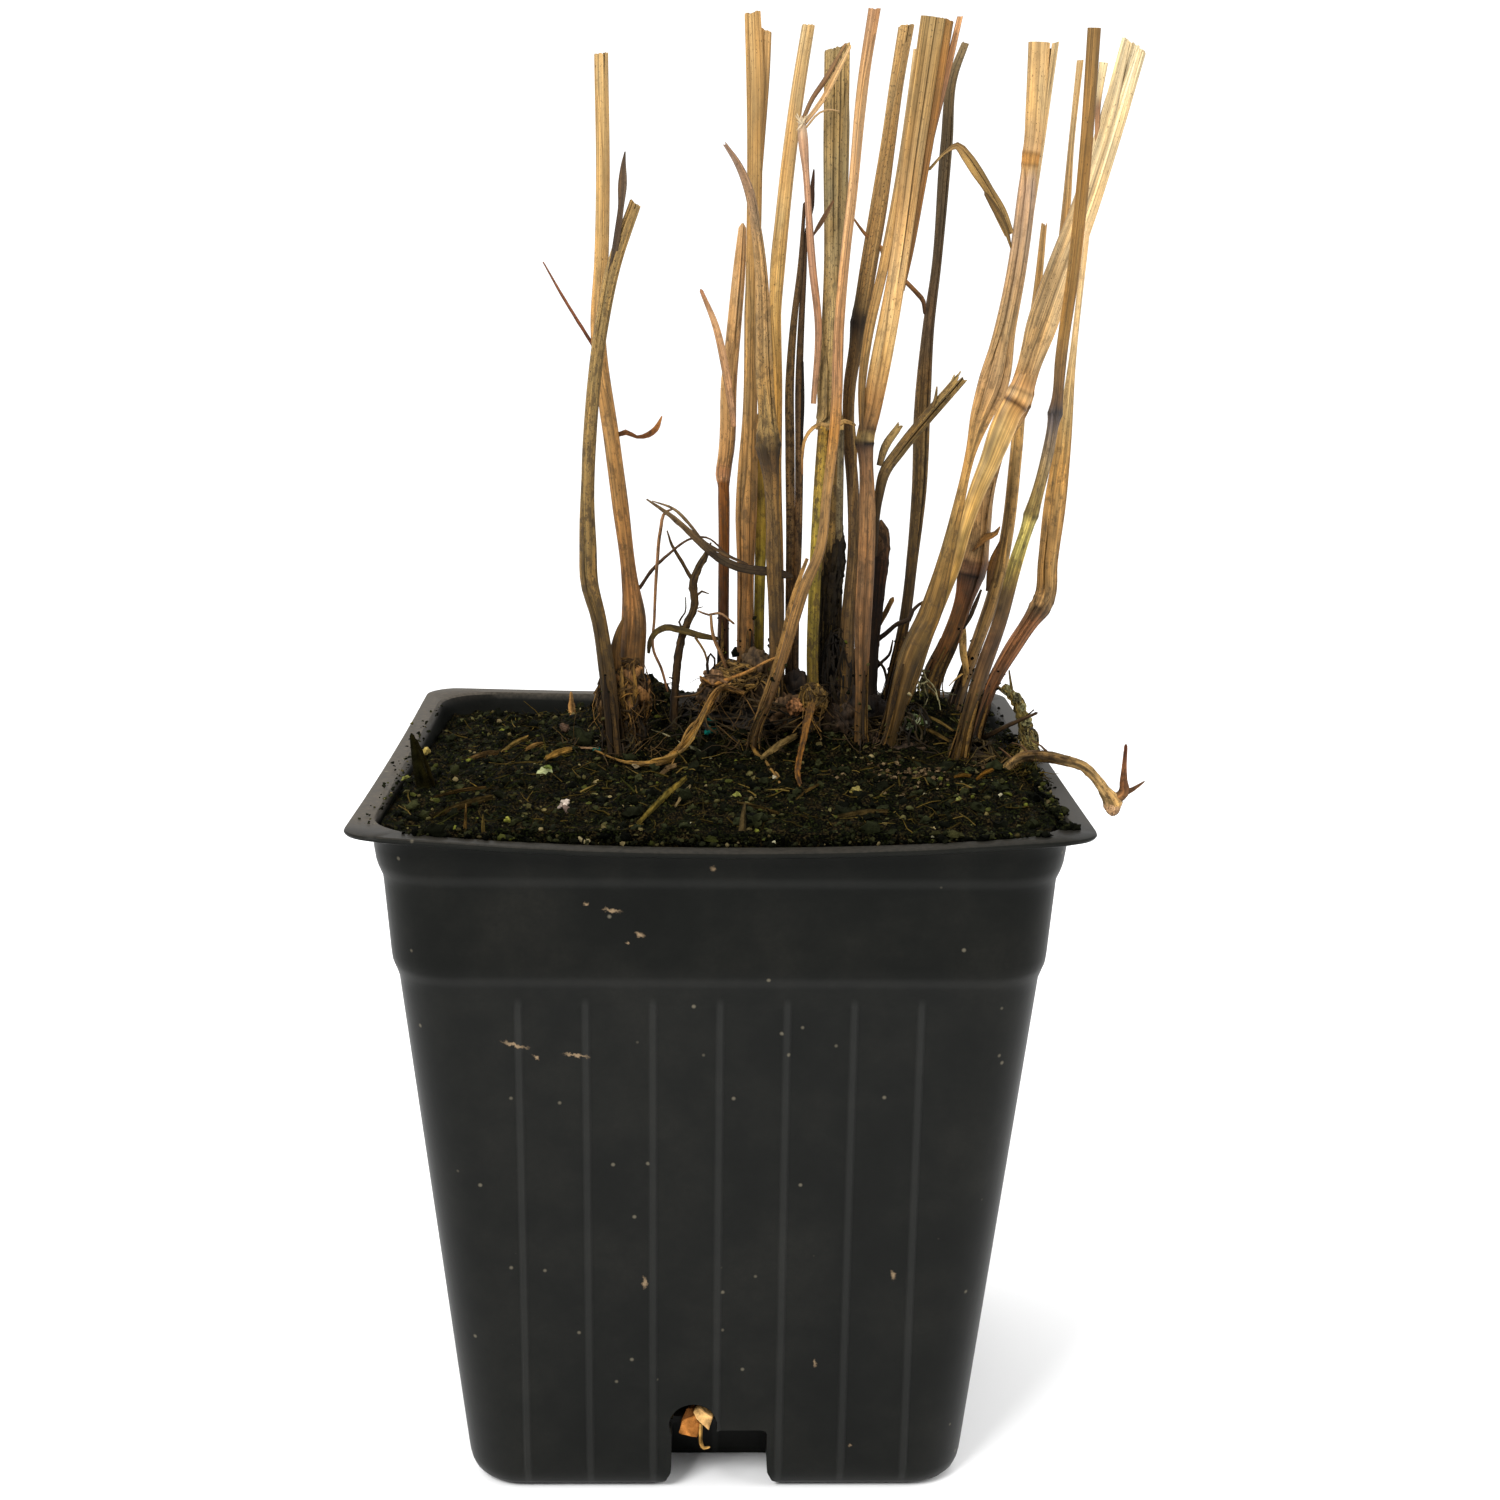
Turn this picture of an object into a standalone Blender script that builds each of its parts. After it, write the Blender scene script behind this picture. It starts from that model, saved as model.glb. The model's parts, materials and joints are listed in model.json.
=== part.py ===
# Potted switchgrass: a dormant clump, cut back level, in a square nursery pot.
# The pot stands on z = 0 with the middle of its foot at the origin. Its front faces -Y.
# All the lists and constants are in millimetres, and MM turns them into metres.

import math

import bmesh
import bpy
from mathutils import Matrix, Vector

MM = 0.001

# Pot: a 4.5 inch square nursery pot.
POT_HEIGHT = 117.0
LIP_HALF = 57.0          # half the width across the lip
LIP_THICK = 1.0
FOOT_HALF = 38.8         # half the width of the flat foot
FOOT_WALL_HALF = 41.9    # the wall just above the rounded foot
FOOT_WALL_Z = 5.2
SHOULDER_HALF = 50.4     # the wall just below the lower band
SHOULDER_Z = 89.7
WALL = 1.0
FLOOR = 1.2
GAP = 0.4                # clearance between pieces that touch on the real plant
CORNER_STEPS = 3
SIDE_POINTS = (-0.5, 0.0, 0.5)

# The lip sags between its corners, most of all at the front.
LIP_SAG = {"front": 2.3, "right": 0.2, "back": 0.6, "left": 0.8}
LIP_SAG_REACH = 0.93     # share of the half width over which a side sags

# Outside of the pot from the foot up: height, half width, corner radius, share of the sag.
POT_OUTSIDE = (
    (0.0, FOOT_HALF, 6.5, 0),
    (0.7, 40.3, 7.9, 0),
    (2.4, 41.4, 8.9, 0),
    (FOOT_WALL_Z, FOOT_WALL_HALF, 9.4, 0),
    (SHOULDER_Z, SHOULDER_HALF, 9.6, 0),
    (92.6, 51.1, 9.9, 0),
    (94.2, 51.5, 10.1, 0),
    (107.4, 52.5, 10.4, 0),
    (110.4, 53.4, 10.6, 0.25),
    (114.6, 53.9, 10.6, 0.6),
    (POT_HEIGHT - LIP_THICK, 56.5, 6.4, 1.0),
    (POT_HEIGHT - 0.4, LIP_HALF, 6.0, 1.0),
    (POT_HEIGHT, 56.6, 6.2, 1.0),
)
# Inside of the pot from the floor up. The last ring stands above the lip, so that the inside is open.
POT_INSIDE = (
    (FLOOR, 39.2, 6.9, 0),
    (FOOT_WALL_Z, FOOT_WALL_HALF - WALL, 8.4, 0),
    (SHOULDER_Z, SHOULDER_HALF - WALL, 8.6, 0),
    (94.2, 50.5, 9.1, 0),
    (107.4, 51.5, 9.4, 0),
    (110.4, 52.3, 9.6, 0.2),
    (115.6, 52.8, 9.8, 0.6),
    (118.4, 54.0, 10.6, 0.6),
)

# Upright ribs on each side.
RIB_PITCH = 10.4
RIB_COUNT = 7
RIB_WIDTH = 1.3
RIB_CREST = 0.6          # width of a rib's crest as a share of its foot
RIB_PROUD = 0.3
RIB_BURIED = 0.5
RIB_FOOT_Z = 3.0
RIB_TOP_Z = 89.4

# Notch at the foot of each side, and the round drain hole at its upper left corner.
NOTCH_LEFT = -7.4
NOTCH_RIGHT = 8.5
NOTCH_TOP = 11.5
NOTCH_DEPTH = 12.0
NOTCH_FLARE = 3.2
NOTCH_CUT = 30.0         # length of the block that cuts a notch
DRAIN_X = -3.8
DRAIN_Z = 12.5
DRAIN_RADIUS = 4.0
DRAIN_SIDES = 16
DRAIN_REACH = 3.0        # how far the cut runs to either side of the wall's face

# Soil: a body that follows the inside of the pot, as heights and corner radii from the floor up.
SOIL_INSIDE = (
    (FLOOR + 0.5, 6.7),
    (FOOT_WALL_Z, 8.2),
    (SHOULDER_Z, 8.4),
    (94.2, 8.9),
    (107.4, 9.2),
)
SOIL_TOP_Z = 108.0       # the surface is as wide as the pot is here
# Its surface is level near the walls, with the heap that carries the crown.
SOIL_FRONT = 116.0       # height of the soil behind the front lip, halfway to the middle
SOIL_BACK = 114.2
SOIL_TURN = 14.0         # how gently the front's height turns into the back's
SOIL_HALF = 52.0
SOIL_EDGE_DROP = 2.2     # how much lower the soil lies along the back wall
SOIL_FRONT_KEPT = 0.75   # share of that drop that the front doesn't have
HEAP_CENTRE = (12.0, 16.0)
HEAP_REACH = (36.0, 17.0)
HEAP_HEIGHT = 9.0
SOIL_LUMPS = (           # middle x, middle y, reach, height
    (-15.0, 20.0, 9.0, 6.0),
    (38.0, 17.0, 9.0, 4.0),
    (-30.0, -12.0, 13.0, 1.2),
    (2.0, -26.0, 15.0, 0.9),
    (34.0, -22.0, 12.0, 0.8),
)
SOIL_RINGS = (1.0, 0.92, 0.82, 0.71, 0.6, 0.5, 0.4, 0.31, 0.22, 0.13, 0.05)

# Crown: the middle of each lump, its three half axes and how finely it is divided.
CROWN_LUMPS = (
    ((8.0, 10.5, 122.0), (14.0, 8.0, 5.6), 3),
    ((3.0, 5.0, 129.0), (3.4, 2.6, 3.4), 2),
)
# Its knots are two waves over the lump: height as a share of the size, direction and start.
CROWN_WAVES = (
    (0.07, Vector((5.0, 2.0, 0.0)), 0.0),
    (0.06, Vector((0.0, 4.0, -3.0)), 1.0),
)
CROWN_LEFT = -8.0        # stems between these two x values and behind this y stand in the crown
CROWN_RIGHT = 24.0
CROWN_FRONT = 2.0

# The stems were measured against an upright sheet through the plant at y = SHEET_Y, as it is seen from
# VIEW_POINT. A route lists x, z and width on that sheet from the foot up. on_depth slides each point
# along its line of sight, from the foot's own depth to the top's, and the widths go with it.
VIEW_POINT = Vector((-3.8, -371.6, 202.1))
SHEET_Y = 5.0

# Name: finish, depth at the foot, depth at the top, thickness as a share of the width, sides, route.
STEMS = {
    "culm_left_tall": ("straw", 2, 12, 0.9, 8, (
        (-14.4, 111, 2.8), (-15.2, 124, 4.0), (-15.4, 132, 4.6), (-15.0, 140, 4.2), (-15.6, 146, 2.8),
        (-17.3, 160, 2.7), (-18.6, 170, 2.6), (-21.0, 190, 2.5), (-20.4, 200, 2.4), (-20.1, 212, 2.3),
        (-20.3, 233.5, 2.3))),
    "culm_left_spotted": ("grey_straw", -2, -5, 0.9, 6, (
        (-17.9, 110, 2.4), (-18.6, 120, 2.7), (-19.6, 130, 2.7), (-21.1, 140, 2.5), (-22.6, 146, 2.9),
        (-22.8, 152, 2.8), (-22.9, 160, 2.3), (-22.5, 170, 2.2), (-20.3, 190, 2.2), (-18.2, 200, 2.3),
        (-14.7, 209.8, 2.0))),
    "culm_mid_flat": ("straw", 9, 11, 0.6, 8, (
        (4.6, 117, 2.8), (4.5, 130, 3.0), (4.4, 150, 2.9), (4.4, 158, 3.5), (4.6, 166, 3.2),
        (4.8, 173, 2.5), (5.0, 195, 2.4), (5.15, 213, 2.5), (5.2, 222, 2.9), (5.4, 231, 3.8),
        (5.1, 240, 3.4))),
    "culm_mid_red": ("red_brown", 12.5, 13, 0.9, 6, (
        (0.9, 119, 1.9), (0.6, 140, 1.9), (0.5, 160, 2.0), (0.35, 164.5, 2.6), (0.9, 169, 2.6),
        (1.2, 180, 2.6), (2.0, 190, 2.4), (2.8, 200, 2.0), (3.2, 206, 1.3))),
    "sheath_strip_yellow": ("yellow_green", 12, 12, 0.5, 6, (
        (6.9, 119, 1.7), (6.8, 140, 1.8), (6.8, 160, 1.8), (6.2, 170, 1.3), (5.9, 175, 0.7))),
    "culm_mid_broken": ("grey_straw", 4.8, 0, 0.9, 8, (
        (9.6, 118, 2.2), (9.8, 140, 2.5), (9.3, 150, 2.5), (8.9, 160, 2.1), (8.4, 166, 2.5),
        (8.0, 169.8, 3.0), (7.8, 174, 2.3), (7.1, 190, 2.0), (6.6, 198, 1.9), (5.5, 206, 1.7),
        (3.9, 213, 1.5), (0.2, 219.4, 0.8))),
    "culm_golden": ("straw", 10, 16, 0.9, 6, (
        (10.5, 119, 1.8), (10.0, 150, 1.8), (9.6, 165, 1.5), (9.4, 180, 1.6), (8.9, 192, 2.0),
        (9.2, 200, 2.5), (9.8, 207, 2.4), (11.1, 220, 2.3), (12.4, 230, 2.2), (13.7, 238.5, 2.1))),
    "culm_dark_rolled": ("dark_straw", 8, 8, 0.5, 6, (
        (12.8, 119, 2.2), (12.5, 140, 2.3), (12.6, 155, 2.7), (12.4, 170, 3.0), (12.2, 180, 3.0),
        (12.6, 190, 2.4), (13.4, 200, 1.8), (13.7, 210, 0.7))),
    "culm_grey_flat": ("grey_straw", 3, 9, 0.5, 8, (
        (16.8, 113, 1.8), (16.5, 124, 2.9), (16.5, 127.5, 3.4), (15.6, 132, 2.4), (15.4, 140, 2.2),
        (16.0, 150, 2.8), (16.5, 160, 3.4), (17.4, 169, 3.8), (18.5, 173.2, 4.9), (18.5, 180, 4.0),
        (18.8, 200, 3.6), (18.6, 220, 4.1), (18.5, 235, 4.1))),
    "culm_thin_pink": ("pink_straw", -3.5, -6, 0.9, 6, (
        (6.2, 111, 1.4), (6.4, 119, 1.6), (9.0, 126, 1.8), (11.5, 134, 1.9), (13.3, 141, 1.9),
        (14.8, 146, 1.9), (16.9, 151, 1.8), (18.2, 162, 1.6), (19.4, 174, 1.8), (19.7, 190, 1.6),
        (20.6, 203, 1.5), (21.3, 210, 1.5), (22.9, 230, 1.8), (24.5, 241.2, 2.0))),
    "culm_tan_noded": ("grey_straw", 4.5, 18, 0.9, 8, (
        (22.0, 110, 2.2), (22.2, 130, 2.8), (22.3, 140, 2.3), (23.0, 153, 2.0), (22.6, 163, 2.0),
        (21.7, 172, 1.9), (21.7, 180, 2.0), (23.0, 189.5, 2.8), (23.5, 193, 2.8), (24.5, 200, 2.8),
        (26.0, 210, 2.8), (27.3, 220, 2.4), (28.5, 230, 2.3), (29.8, 238.6, 2.5))),
    "culm_wide_ribbed": ("straw", 0, 4, 0.45, 8, (
        (24.8, 108, 1.6), (24.7, 118, 1.7), (24.9, 127, 2.0), (24.9, 137, 2.7), (25.2, 160, 2.7),
        (24.6, 170, 2.6), (24.6, 171.5, 3.1), (25.4, 175, 3.2), (26.1, 181, 4.2), (26.3, 188, 5.8),
        (28.7, 200, 4.2), (31.7, 220, 4.0), (34.6, 240, 5.0))),
    "culm_dark_bent": ("dark_straw", 14, 17, 0.9, 6, (
        (28.8, 119, 1.6), (30.3, 130, 1.6), (32.2, 140, 1.9), (33.2, 150, 1.9), (34.1, 162, 2.4),
        (34.3, 178, 2.6), (34.9, 190, 1.9), (35.9, 200, 1.6), (37.0, 220, 2.0), (37.8, 231, 1.5),
        (39.6, 236, 1.2))),
    "culm_split_bulged": ("straw", 0, 6, 0.5, 8, (
        (28.6, 104, 1.9), (29.6, 116, 2.3), (31.1, 124, 3.4), (32.4, 130, 4.5), (34.1, 135, 4.8),
        (36.4, 140, 4.8), (39.2, 150, 3.8), (41.0, 158, 2.8), (43.3, 170, 2.4), (44.3, 175, 3.6),
        (46.0, 180, 5.2), (48.5, 190, 3.6), (50.0, 200, 3.1), (51.2, 210, 3.4), (51.9, 218, 3.7),
        (52.5, 236, 4.8))),
    "culm_pale_straw": ("pale_straw", 20, 13, 0.45, 8, (
        (36.6, 119, 2.8), (37.6, 130, 3.0), (39.7, 135, 3.2), (42.9, 145, 3.6), (43.7, 148.8, 4.9),
        (44.5, 153, 3.9), (45.6, 165, 3.8), (47.4, 171, 3.6), (50.6, 177.4, 4.2), (51.0, 179.3, 4.4),
        (52.0, 183, 3.9), (54.0, 190, 5.2), (57.2, 200, 4.9), (60.6, 210, 4.4), (63.5, 220, 4.2),
        (67.5, 236, 4.4))),
    "culm_straight": ("straw", 20, 28, 0.9, 6, (
        (40.5, 119, 2.0), (42.2, 127, 2.2), (44.7, 135, 2.2), (48.0, 146, 2.4), (49.5, 155, 2.2),
        (50.5, 168, 2.1), (51.2, 180, 1.8), (53.0, 195, 1.4), (53.8, 207, 1.0))),
    "culm_round_brown": ("grey_straw", -2, -8, 0.95, 8, (
        (42.0, 105, 1.7), (42.4, 115, 1.9), (43.3, 120, 2.2), (45.8, 130, 2.7), (48.9, 140, 2.5),
        (51.2, 150, 2.4), (53.6, 158.5, 2.5), (56.0, 169, 2.0), (57.0, 175.5, 2.2), (57.6, 185, 2.0),
        (59.1, 200, 2.1), (60.3, 220, 2.1), (60.8, 238.7, 2.2))),
    "culm_pale_kinked": ("pale_straw", 3.5, 8, 0.6, 8, (
        (42.8, 108, 1.6), (44.8, 118, 1.9), (48.6, 130, 2.3), (51.3, 135, 2.7), (54.6, 140, 3.0),
        (56.3, 143, 3.6), (56.8, 150, 3.6), (57.6, 160, 3.9), (58.6, 171, 2.7), (59.5, 184, 1.3),
        (61.0, 206, 1.1))),
    "culm_short_thin": ("straw", 20, 20, 0.7, 6, (
        (54.4, 187, 0.9), (56.0, 195, 1.2), (57.3, 208, 1.5), (57.8, 220, 1.0), (58.7, 233.6, 1.1))),
    "stub_decayed": ("dark_root", 9, 9, 0.8, 6, (
        (18.7, 116, 2.8), (18.4, 130, 3.0), (18.5, 140, 3.3), (19.3, 147, 3.9), (19.8, 152, 3.5),
        (20.2, 157.5, 1.2))),
    "stub_dark_round": ("dark_root", 8.5, 8.5, 0.9, 6, (
        (26.8, 115, 1.9), (27.0, 137, 1.9), (27.6, 146, 2.3), (27.9, 153, 2.7), (27.7, 156.4, 1.7))),
    "stub_broken_side": ("grey_straw", 4.9, 4.9, 0.9, 6, (
        (26.6, 151, 0.9), (27.1, 161, 1.5), (28.2, 165.8, 1.9), (30.4, 169, 2.0), (40.4, 181.2, 2.0))),
    "leaf_pink_left": ("pink_straw", 8.4, 8.4, 0.35, 4, (
        (2.1, 173, 0.8), (1.4, 178, 1.2), (0.4, 183.5, 1.3), (-1.2, 190, 1.1), (-3.6, 195.6, 0.6))),
    "leaf_forked": ("pink_straw", 4.2, 4.2, 0.4, 6, (
        (15.6, 177, 0.9), (16.2, 190, 1.2), (15.0, 200, 1.3), (13.7, 215, 1.1), (12.9, 223, 1.6),
        (15.0, 226.7, 1.5), (17.5, 230.7, 1.8), (20.3, 235.4, 0.9))),
    "leaf_pink_right": ("pink_straw", 6.6, 6.6, 0.4, 4, (
        (33.0, 212, 0.7), (34.2, 220, 1.1), (36.4, 230, 1.2), (38.6, 240.2, 0.9))),
    "leaf_folded_dry": ("straw", 5.2, 5.2, 0.4, 6, (
        (48.0, 205.4, 1.6), (46.3, 209, 2.1), (44.2, 212.7, 1.6), (42.0, 215.8, 1.9),
        (40.2, 218.2, 1.7), (38.7, 219.7, 1.2), (37.3, 219.0, 0.6), (34.3, 215.9, 0.6))),
    "root_dark_forked": ("dark_root", 6, 6, 0.9, 6, (
        (-8.0, 115, 1.3), (-7.7, 128, 1.4), (-6.5, 137, 1.3), (-4.4, 142.5, 1.3), (-4.7, 146, 1.4),
        (-2.3, 151.5, 0.8))),
    "twig_mossy": ("moss_bark", 3.4, 5, 0.9, 6, (
        (49.9, 128.2, 0.9), (51.9, 126.2, 1.5), (53.4, 123.2, 1.6), (54.6, 119.4, 1.5),
        (55.2, 118.4, 1.1))),
    "twig_dark": ("dark_root", 7, -1, 0.9, 6, (
        (42.8, 116.2, 0.9), (49.3, 120.3, 0.9), (55.9, 123.4, 0.6))),
}

# Roots and the runner, which come forward or sideways: finish, sides, and x, y, z and width of each point.
ROOTS = {
    "root_arching": ("straw", 6, (
        (4.2, 1.2, 127.4, 1.0), (0.6, 0.4, 128.6, 1.5), (-2.5, -1.5, 124.4, 1.5),
        (-5.9, -6.0, 120.2, 1.5), (-10.7, -12.0, 118.0, 1.4), (-15.5, -11.0, 117.8, 1.2),
        (-21.5, -3.5, 118.2, 0.8))),
    "root_orange": ("orange_root", 6, (
        (16.2, 0.2, 126.4, 1.3), (15.0, -3.0, 123.4, 1.5), (14.1, -9.0, 120.0, 1.3),
        (13.5, -16.0, 117.8, 1.1), (13.8, -21.5, 113.6, 0.9))),
    "runner": ("pale_root", 8, (
        (46.5, -4.0, 111.5, 1.8), (49.8, -6.2, 116.2, 2.0), (52.2, -7.8, 118.4, 2.0),
        (55.0, -9.7, 119.0, 2.0), (58.5, -12.0, 118.8, 1.9), (61.5, -12.0, 117.8, 1.8),
        (63.8, -12.0, 115.7, 1.7), (65.4, -12.0, 113.6, 2.0), (66.6, -12.0, 111.9, 3.0),
        (67.1, -12.0, 110.7, 2.6), (67.3, -12.0, 110.1, 1.2))),
}
RUNNER_BRANCHES = (
    ((67.0, -12.0, 112.0, 1.6), (68.7, -12.0, 113.2, 1.9), (68.5, -12.0, 117.0, 1.1),
     (68.6, -12.0, 121.4, 0.7)),
    ((68.3, -12.0, 113.0, 1.6), (70.2, -12.0, 113.9, 0.9), (72.0, -12.0, 115.2, 0.4)),
)

ROOT_THICKNESS = 0.9     # thickness of a root as a share of its width

# Wood chip in the front drain hole.
CHIP_SIZE = (4.4, 1.6, 2.6)
CHIP_EDGE = 0.4          # width of its worn edges
CHIP_CENTRE = (-3.4, -41.4, 13.2)
CHIP_TURN = math.radians(-32)
CHIP_POCKET_RADIUS = 3.5
CHIP_POCKET_BACK = -38.6
CHIP_POCKET_FRONT = 1.0  # how far the pocket runs out past the wall's face

SOCKET_TOP = 136.0       # sockets in the soil and the crown are cut up to this height
STANDING_BELOW = 128.0   # a stem whose foot is lower than this stands in the soil

# Finish: colour as red, green and blue in linear light, and roughness.
FINISHES = {
    "black_plastic": ((0.021, 0.021, 0.022), 0.42),
    "peat": ((0.012, 0.009, 0.006), 0.95),
    "crown_bark": ((0.06, 0.035, 0.018), 0.9),
    "straw": ((0.52, 0.34, 0.15), 0.6),
    "pale_straw": ((0.70, 0.50, 0.27), 0.6),
    "grey_straw": ((0.33, 0.23, 0.12), 0.7),
    "dark_straw": ((0.12, 0.08, 0.05), 0.75),
    "pink_straw": ((0.50, 0.29, 0.17), 0.6),
    "red_brown": ((0.25, 0.09, 0.04), 0.5),
    "yellow_green": ((0.48, 0.40, 0.11), 0.6),
    "dark_root": ((0.05, 0.03, 0.018), 0.85),
    "orange_root": ((0.42, 0.2, 0.07), 0.7),
    "pale_root": ((0.48, 0.31, 0.17), 0.65),
    "moss_bark": ((0.2, 0.17, 0.09), 0.9),
    "wood_chip": ((0.62, 0.36, 0.14), 0.8),
}


def clear_scene():
    for obj in list(bpy.data.objects):
        bpy.data.objects.remove(obj, do_unlink=True)


def finish(name):
    """The Principled material of one finish, made once."""
    mat = bpy.data.materials.get(name)
    if mat is None:
        colour, roughness = FINISHES[name]
        mat = bpy.data.materials.new(name)
        mat.use_nodes = True
        shader = mat.node_tree.nodes["Principled BSDF"]
        shader.inputs["Base Color"].default_value = (*colour, 1.0)
        shader.inputs["Roughness"].default_value = roughness
        shader.inputs["Metallic"].default_value = 0.0
    return mat


def add_object(name, bm, finish_name, smooth_angle=math.radians(35)):
    """Close off a bmesh as one named object with one finish."""
    bmesh.ops.recalc_face_normals(bm, faces=bm.faces)
    mesh = bpy.data.meshes.new(name)
    bm.to_mesh(mesh)
    bm.free()
    mesh.shade_smooth()
    mesh.set_sharp_from_angle(angle=smooth_angle)
    mesh.materials.append(finish(finish_name))
    obj = bpy.data.objects.new(name, mesh)
    bpy.context.collection.objects.link(obj)
    return obj


def as_cutter(obj):
    obj.hide_render = True
    obj.display_type = "WIRE"
    return obj


def boolean(obj, operation, other):
    """A live Boolean on obj. Its tool is kept as a wire guide."""
    as_cutter(other)
    step = obj.modifiers.new(operation.lower(), "BOOLEAN")
    step.operation = operation
    step.solver = "EXACT"
    step.object = other


def stacked(rings):
    """A closed body through rings of points in millimetres: the first ring is filled and extruded."""
    bm = bmesh.new()
    face = bm.faces.new([bm.verts.new(Vector(point) * MM) for point in rings[0]])
    for ring in rings[1:]:
        grown = bmesh.ops.extrude_face_region(bm, geom=[face, *face.edges])["geom"]
        face = next(item for item in grown if isinstance(item, bmesh.types.BMFace))
        for vert, point in zip(face.verts, ring):
            vert.co = Vector(point) * MM
    return bm


def square_outline(half, radius):
    """Points of a rounded square, and the side that each point lies on."""
    sides = (("back", 0), ("left", 90), ("front", 180), ("right", 270))
    points = []
    for side, turn in sides:
        turn = math.radians(turn)
        flat = half - radius
        local = [(-share * flat, half) for share in SIDE_POINTS]
        for step in range(CORNER_STEPS + 1):
            angle = math.radians(90 + 90 * step / CORNER_STEPS)
            local.append((-flat + radius * math.cos(angle), flat + radius * math.sin(angle)))
        for x, y in local:
            px = x * math.cos(turn) - y * math.sin(turn)
            py = x * math.sin(turn) + y * math.cos(turn)
            points.append((px, py, side))
    return points


def square_ring(height, half, radius, sag_share=0.0):
    """A rounded square at one height, let down between its corners by its share of the lip's sag."""
    ring = []
    for x, y, side in square_outline(half, radius):
        along = min(abs(x), abs(y)) / half
        sag = LIP_SAG[side] * sag_share * max(0.0, 1.0 - (along / LIP_SAG_REACH) ** 2)
        ring.append((x, y, height - sag))
    return ring


def wall_half(height):
    """Half width of the pot's flat wall at a height between the foot and the shoulder."""
    share = (height - FOOT_WALL_Z) / (SHOULDER_Z - FOOT_WALL_Z)
    return FOOT_WALL_HALF + (SHOULDER_HALF - FOOT_WALL_HALF) * share


def four_ways(bm):
    """Copy what is in bm to the other three sides of the pot."""
    source = list(bm.verts) + list(bm.edges) + list(bm.faces)
    for quarter in range(1, 4):
        copy = bmesh.ops.duplicate(bm, geom=source)["geom"]
        verts = [item for item in copy if isinstance(item, bmesh.types.BMVert)]
        turn = math.radians(90 * quarter)
        bmesh.ops.rotate(bm, verts=verts, matrix=Matrix.Rotation(turn, 3, "Z"), cent=(0, 0, 0))
    return bm


def ribs():
    """All the upright ribs, leaning with the wall and sunk a little into it."""
    bm = bmesh.new()
    for index in range(RIB_COUNT):
        x = (index - (RIB_COUNT - 1) / 2) * RIB_PITCH
        verts = bmesh.ops.create_cube(bm, size=1.0)["verts"]
        for vert in verts:
            z = RIB_TOP_Z if vert.co.z > 0 else RIB_FOOT_Z
            proud = RIB_PROUD if vert.co.y < 0 else -RIB_BURIED
            width = RIB_WIDTH if vert.co.y > 0 else RIB_WIDTH * RIB_CREST
            vert.co = Vector((x + vert.co.x * width, -(wall_half(z) + proud), z)) * MM
    return add_object("rib_shapes", four_ways(bm), "black_plastic")


def notches(grow):
    """The four foot notches as blocks, each face moved outwards by grow."""
    bm = bmesh.new()
    left = NOTCH_LEFT - grow
    right = NOTCH_RIGHT + grow
    top = NOTCH_TOP + grow
    flare = NOTCH_FLARE
    outline = (
        (left - flare, -1.0), (left - flare * 0.3, flare * 0.3), (left, flare), (left, top),
        (right, top), (right, flare), (right + flare * 0.3, flare * 0.3), (right + flare, -1.0))
    inner = -(FOOT_WALL_HALF - NOTCH_DEPTH - grow)
    face = bm.faces.new([bm.verts.new(Vector((x, inner, z)) * MM) for x, z in outline])
    grown = bmesh.ops.extrude_face_region(bm, geom=[face])["geom"]
    verts = [item for item in grown if isinstance(item, bmesh.types.BMVert)]
    bmesh.ops.translate(bm, verts=verts, vec=Vector((0, -NOTCH_CUT, 0)) * MM)
    return add_object("notch_shapes", four_ways(bm), "black_plastic")


def rod_along_y(centre, radius, front, back):
    """A round rod from front to back, around an x and z centre."""
    bm = bmesh.new()
    bmesh.ops.create_cone(
        bm, cap_ends=True, segments=DRAIN_SIDES,
        radius1=radius * MM, radius2=radius * MM, depth=(back - front) * MM)
    upright_to_level = Matrix.Rotation(math.radians(90), 3, "X")
    bmesh.ops.rotate(bm, verts=list(bm.verts), matrix=upright_to_level, cent=(0, 0, 0))
    middle = Vector((centre[0], (front + back) / 2, centre[1])) * MM
    bmesh.ops.translate(bm, verts=list(bm.verts), vec=middle)
    return bm


def drain_holes():
    """Four short rods that cut the round drain holes through the walls."""
    wall = -wall_half(DRAIN_Z)
    rod = rod_along_y((DRAIN_X, DRAIN_Z), DRAIN_RADIUS, wall - DRAIN_REACH, wall + DRAIN_REACH)
    return add_object("drain_shapes", four_ways(rod), "black_plastic")


def make_pot():
    """The thin-walled pot: outside with ribs, less the notches, the inside and the drain holes."""
    pot = add_object("pot", stacked([square_ring(*row) for row in POT_OUTSIDE]), "black_plastic")
    inside = add_object("inside_shape", stacked([square_ring(*row) for row in POT_INSIDE]), "black_plastic")
    boolean(inside, "DIFFERENCE", notches(WALL))
    boolean(pot, "UNION", ribs())
    boolean(pot, "DIFFERENCE", notches(0.0))
    boolean(pot, "DIFFERENCE", inside)
    boolean(pot, "DIFFERENCE", drain_holes())
    return pot


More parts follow.
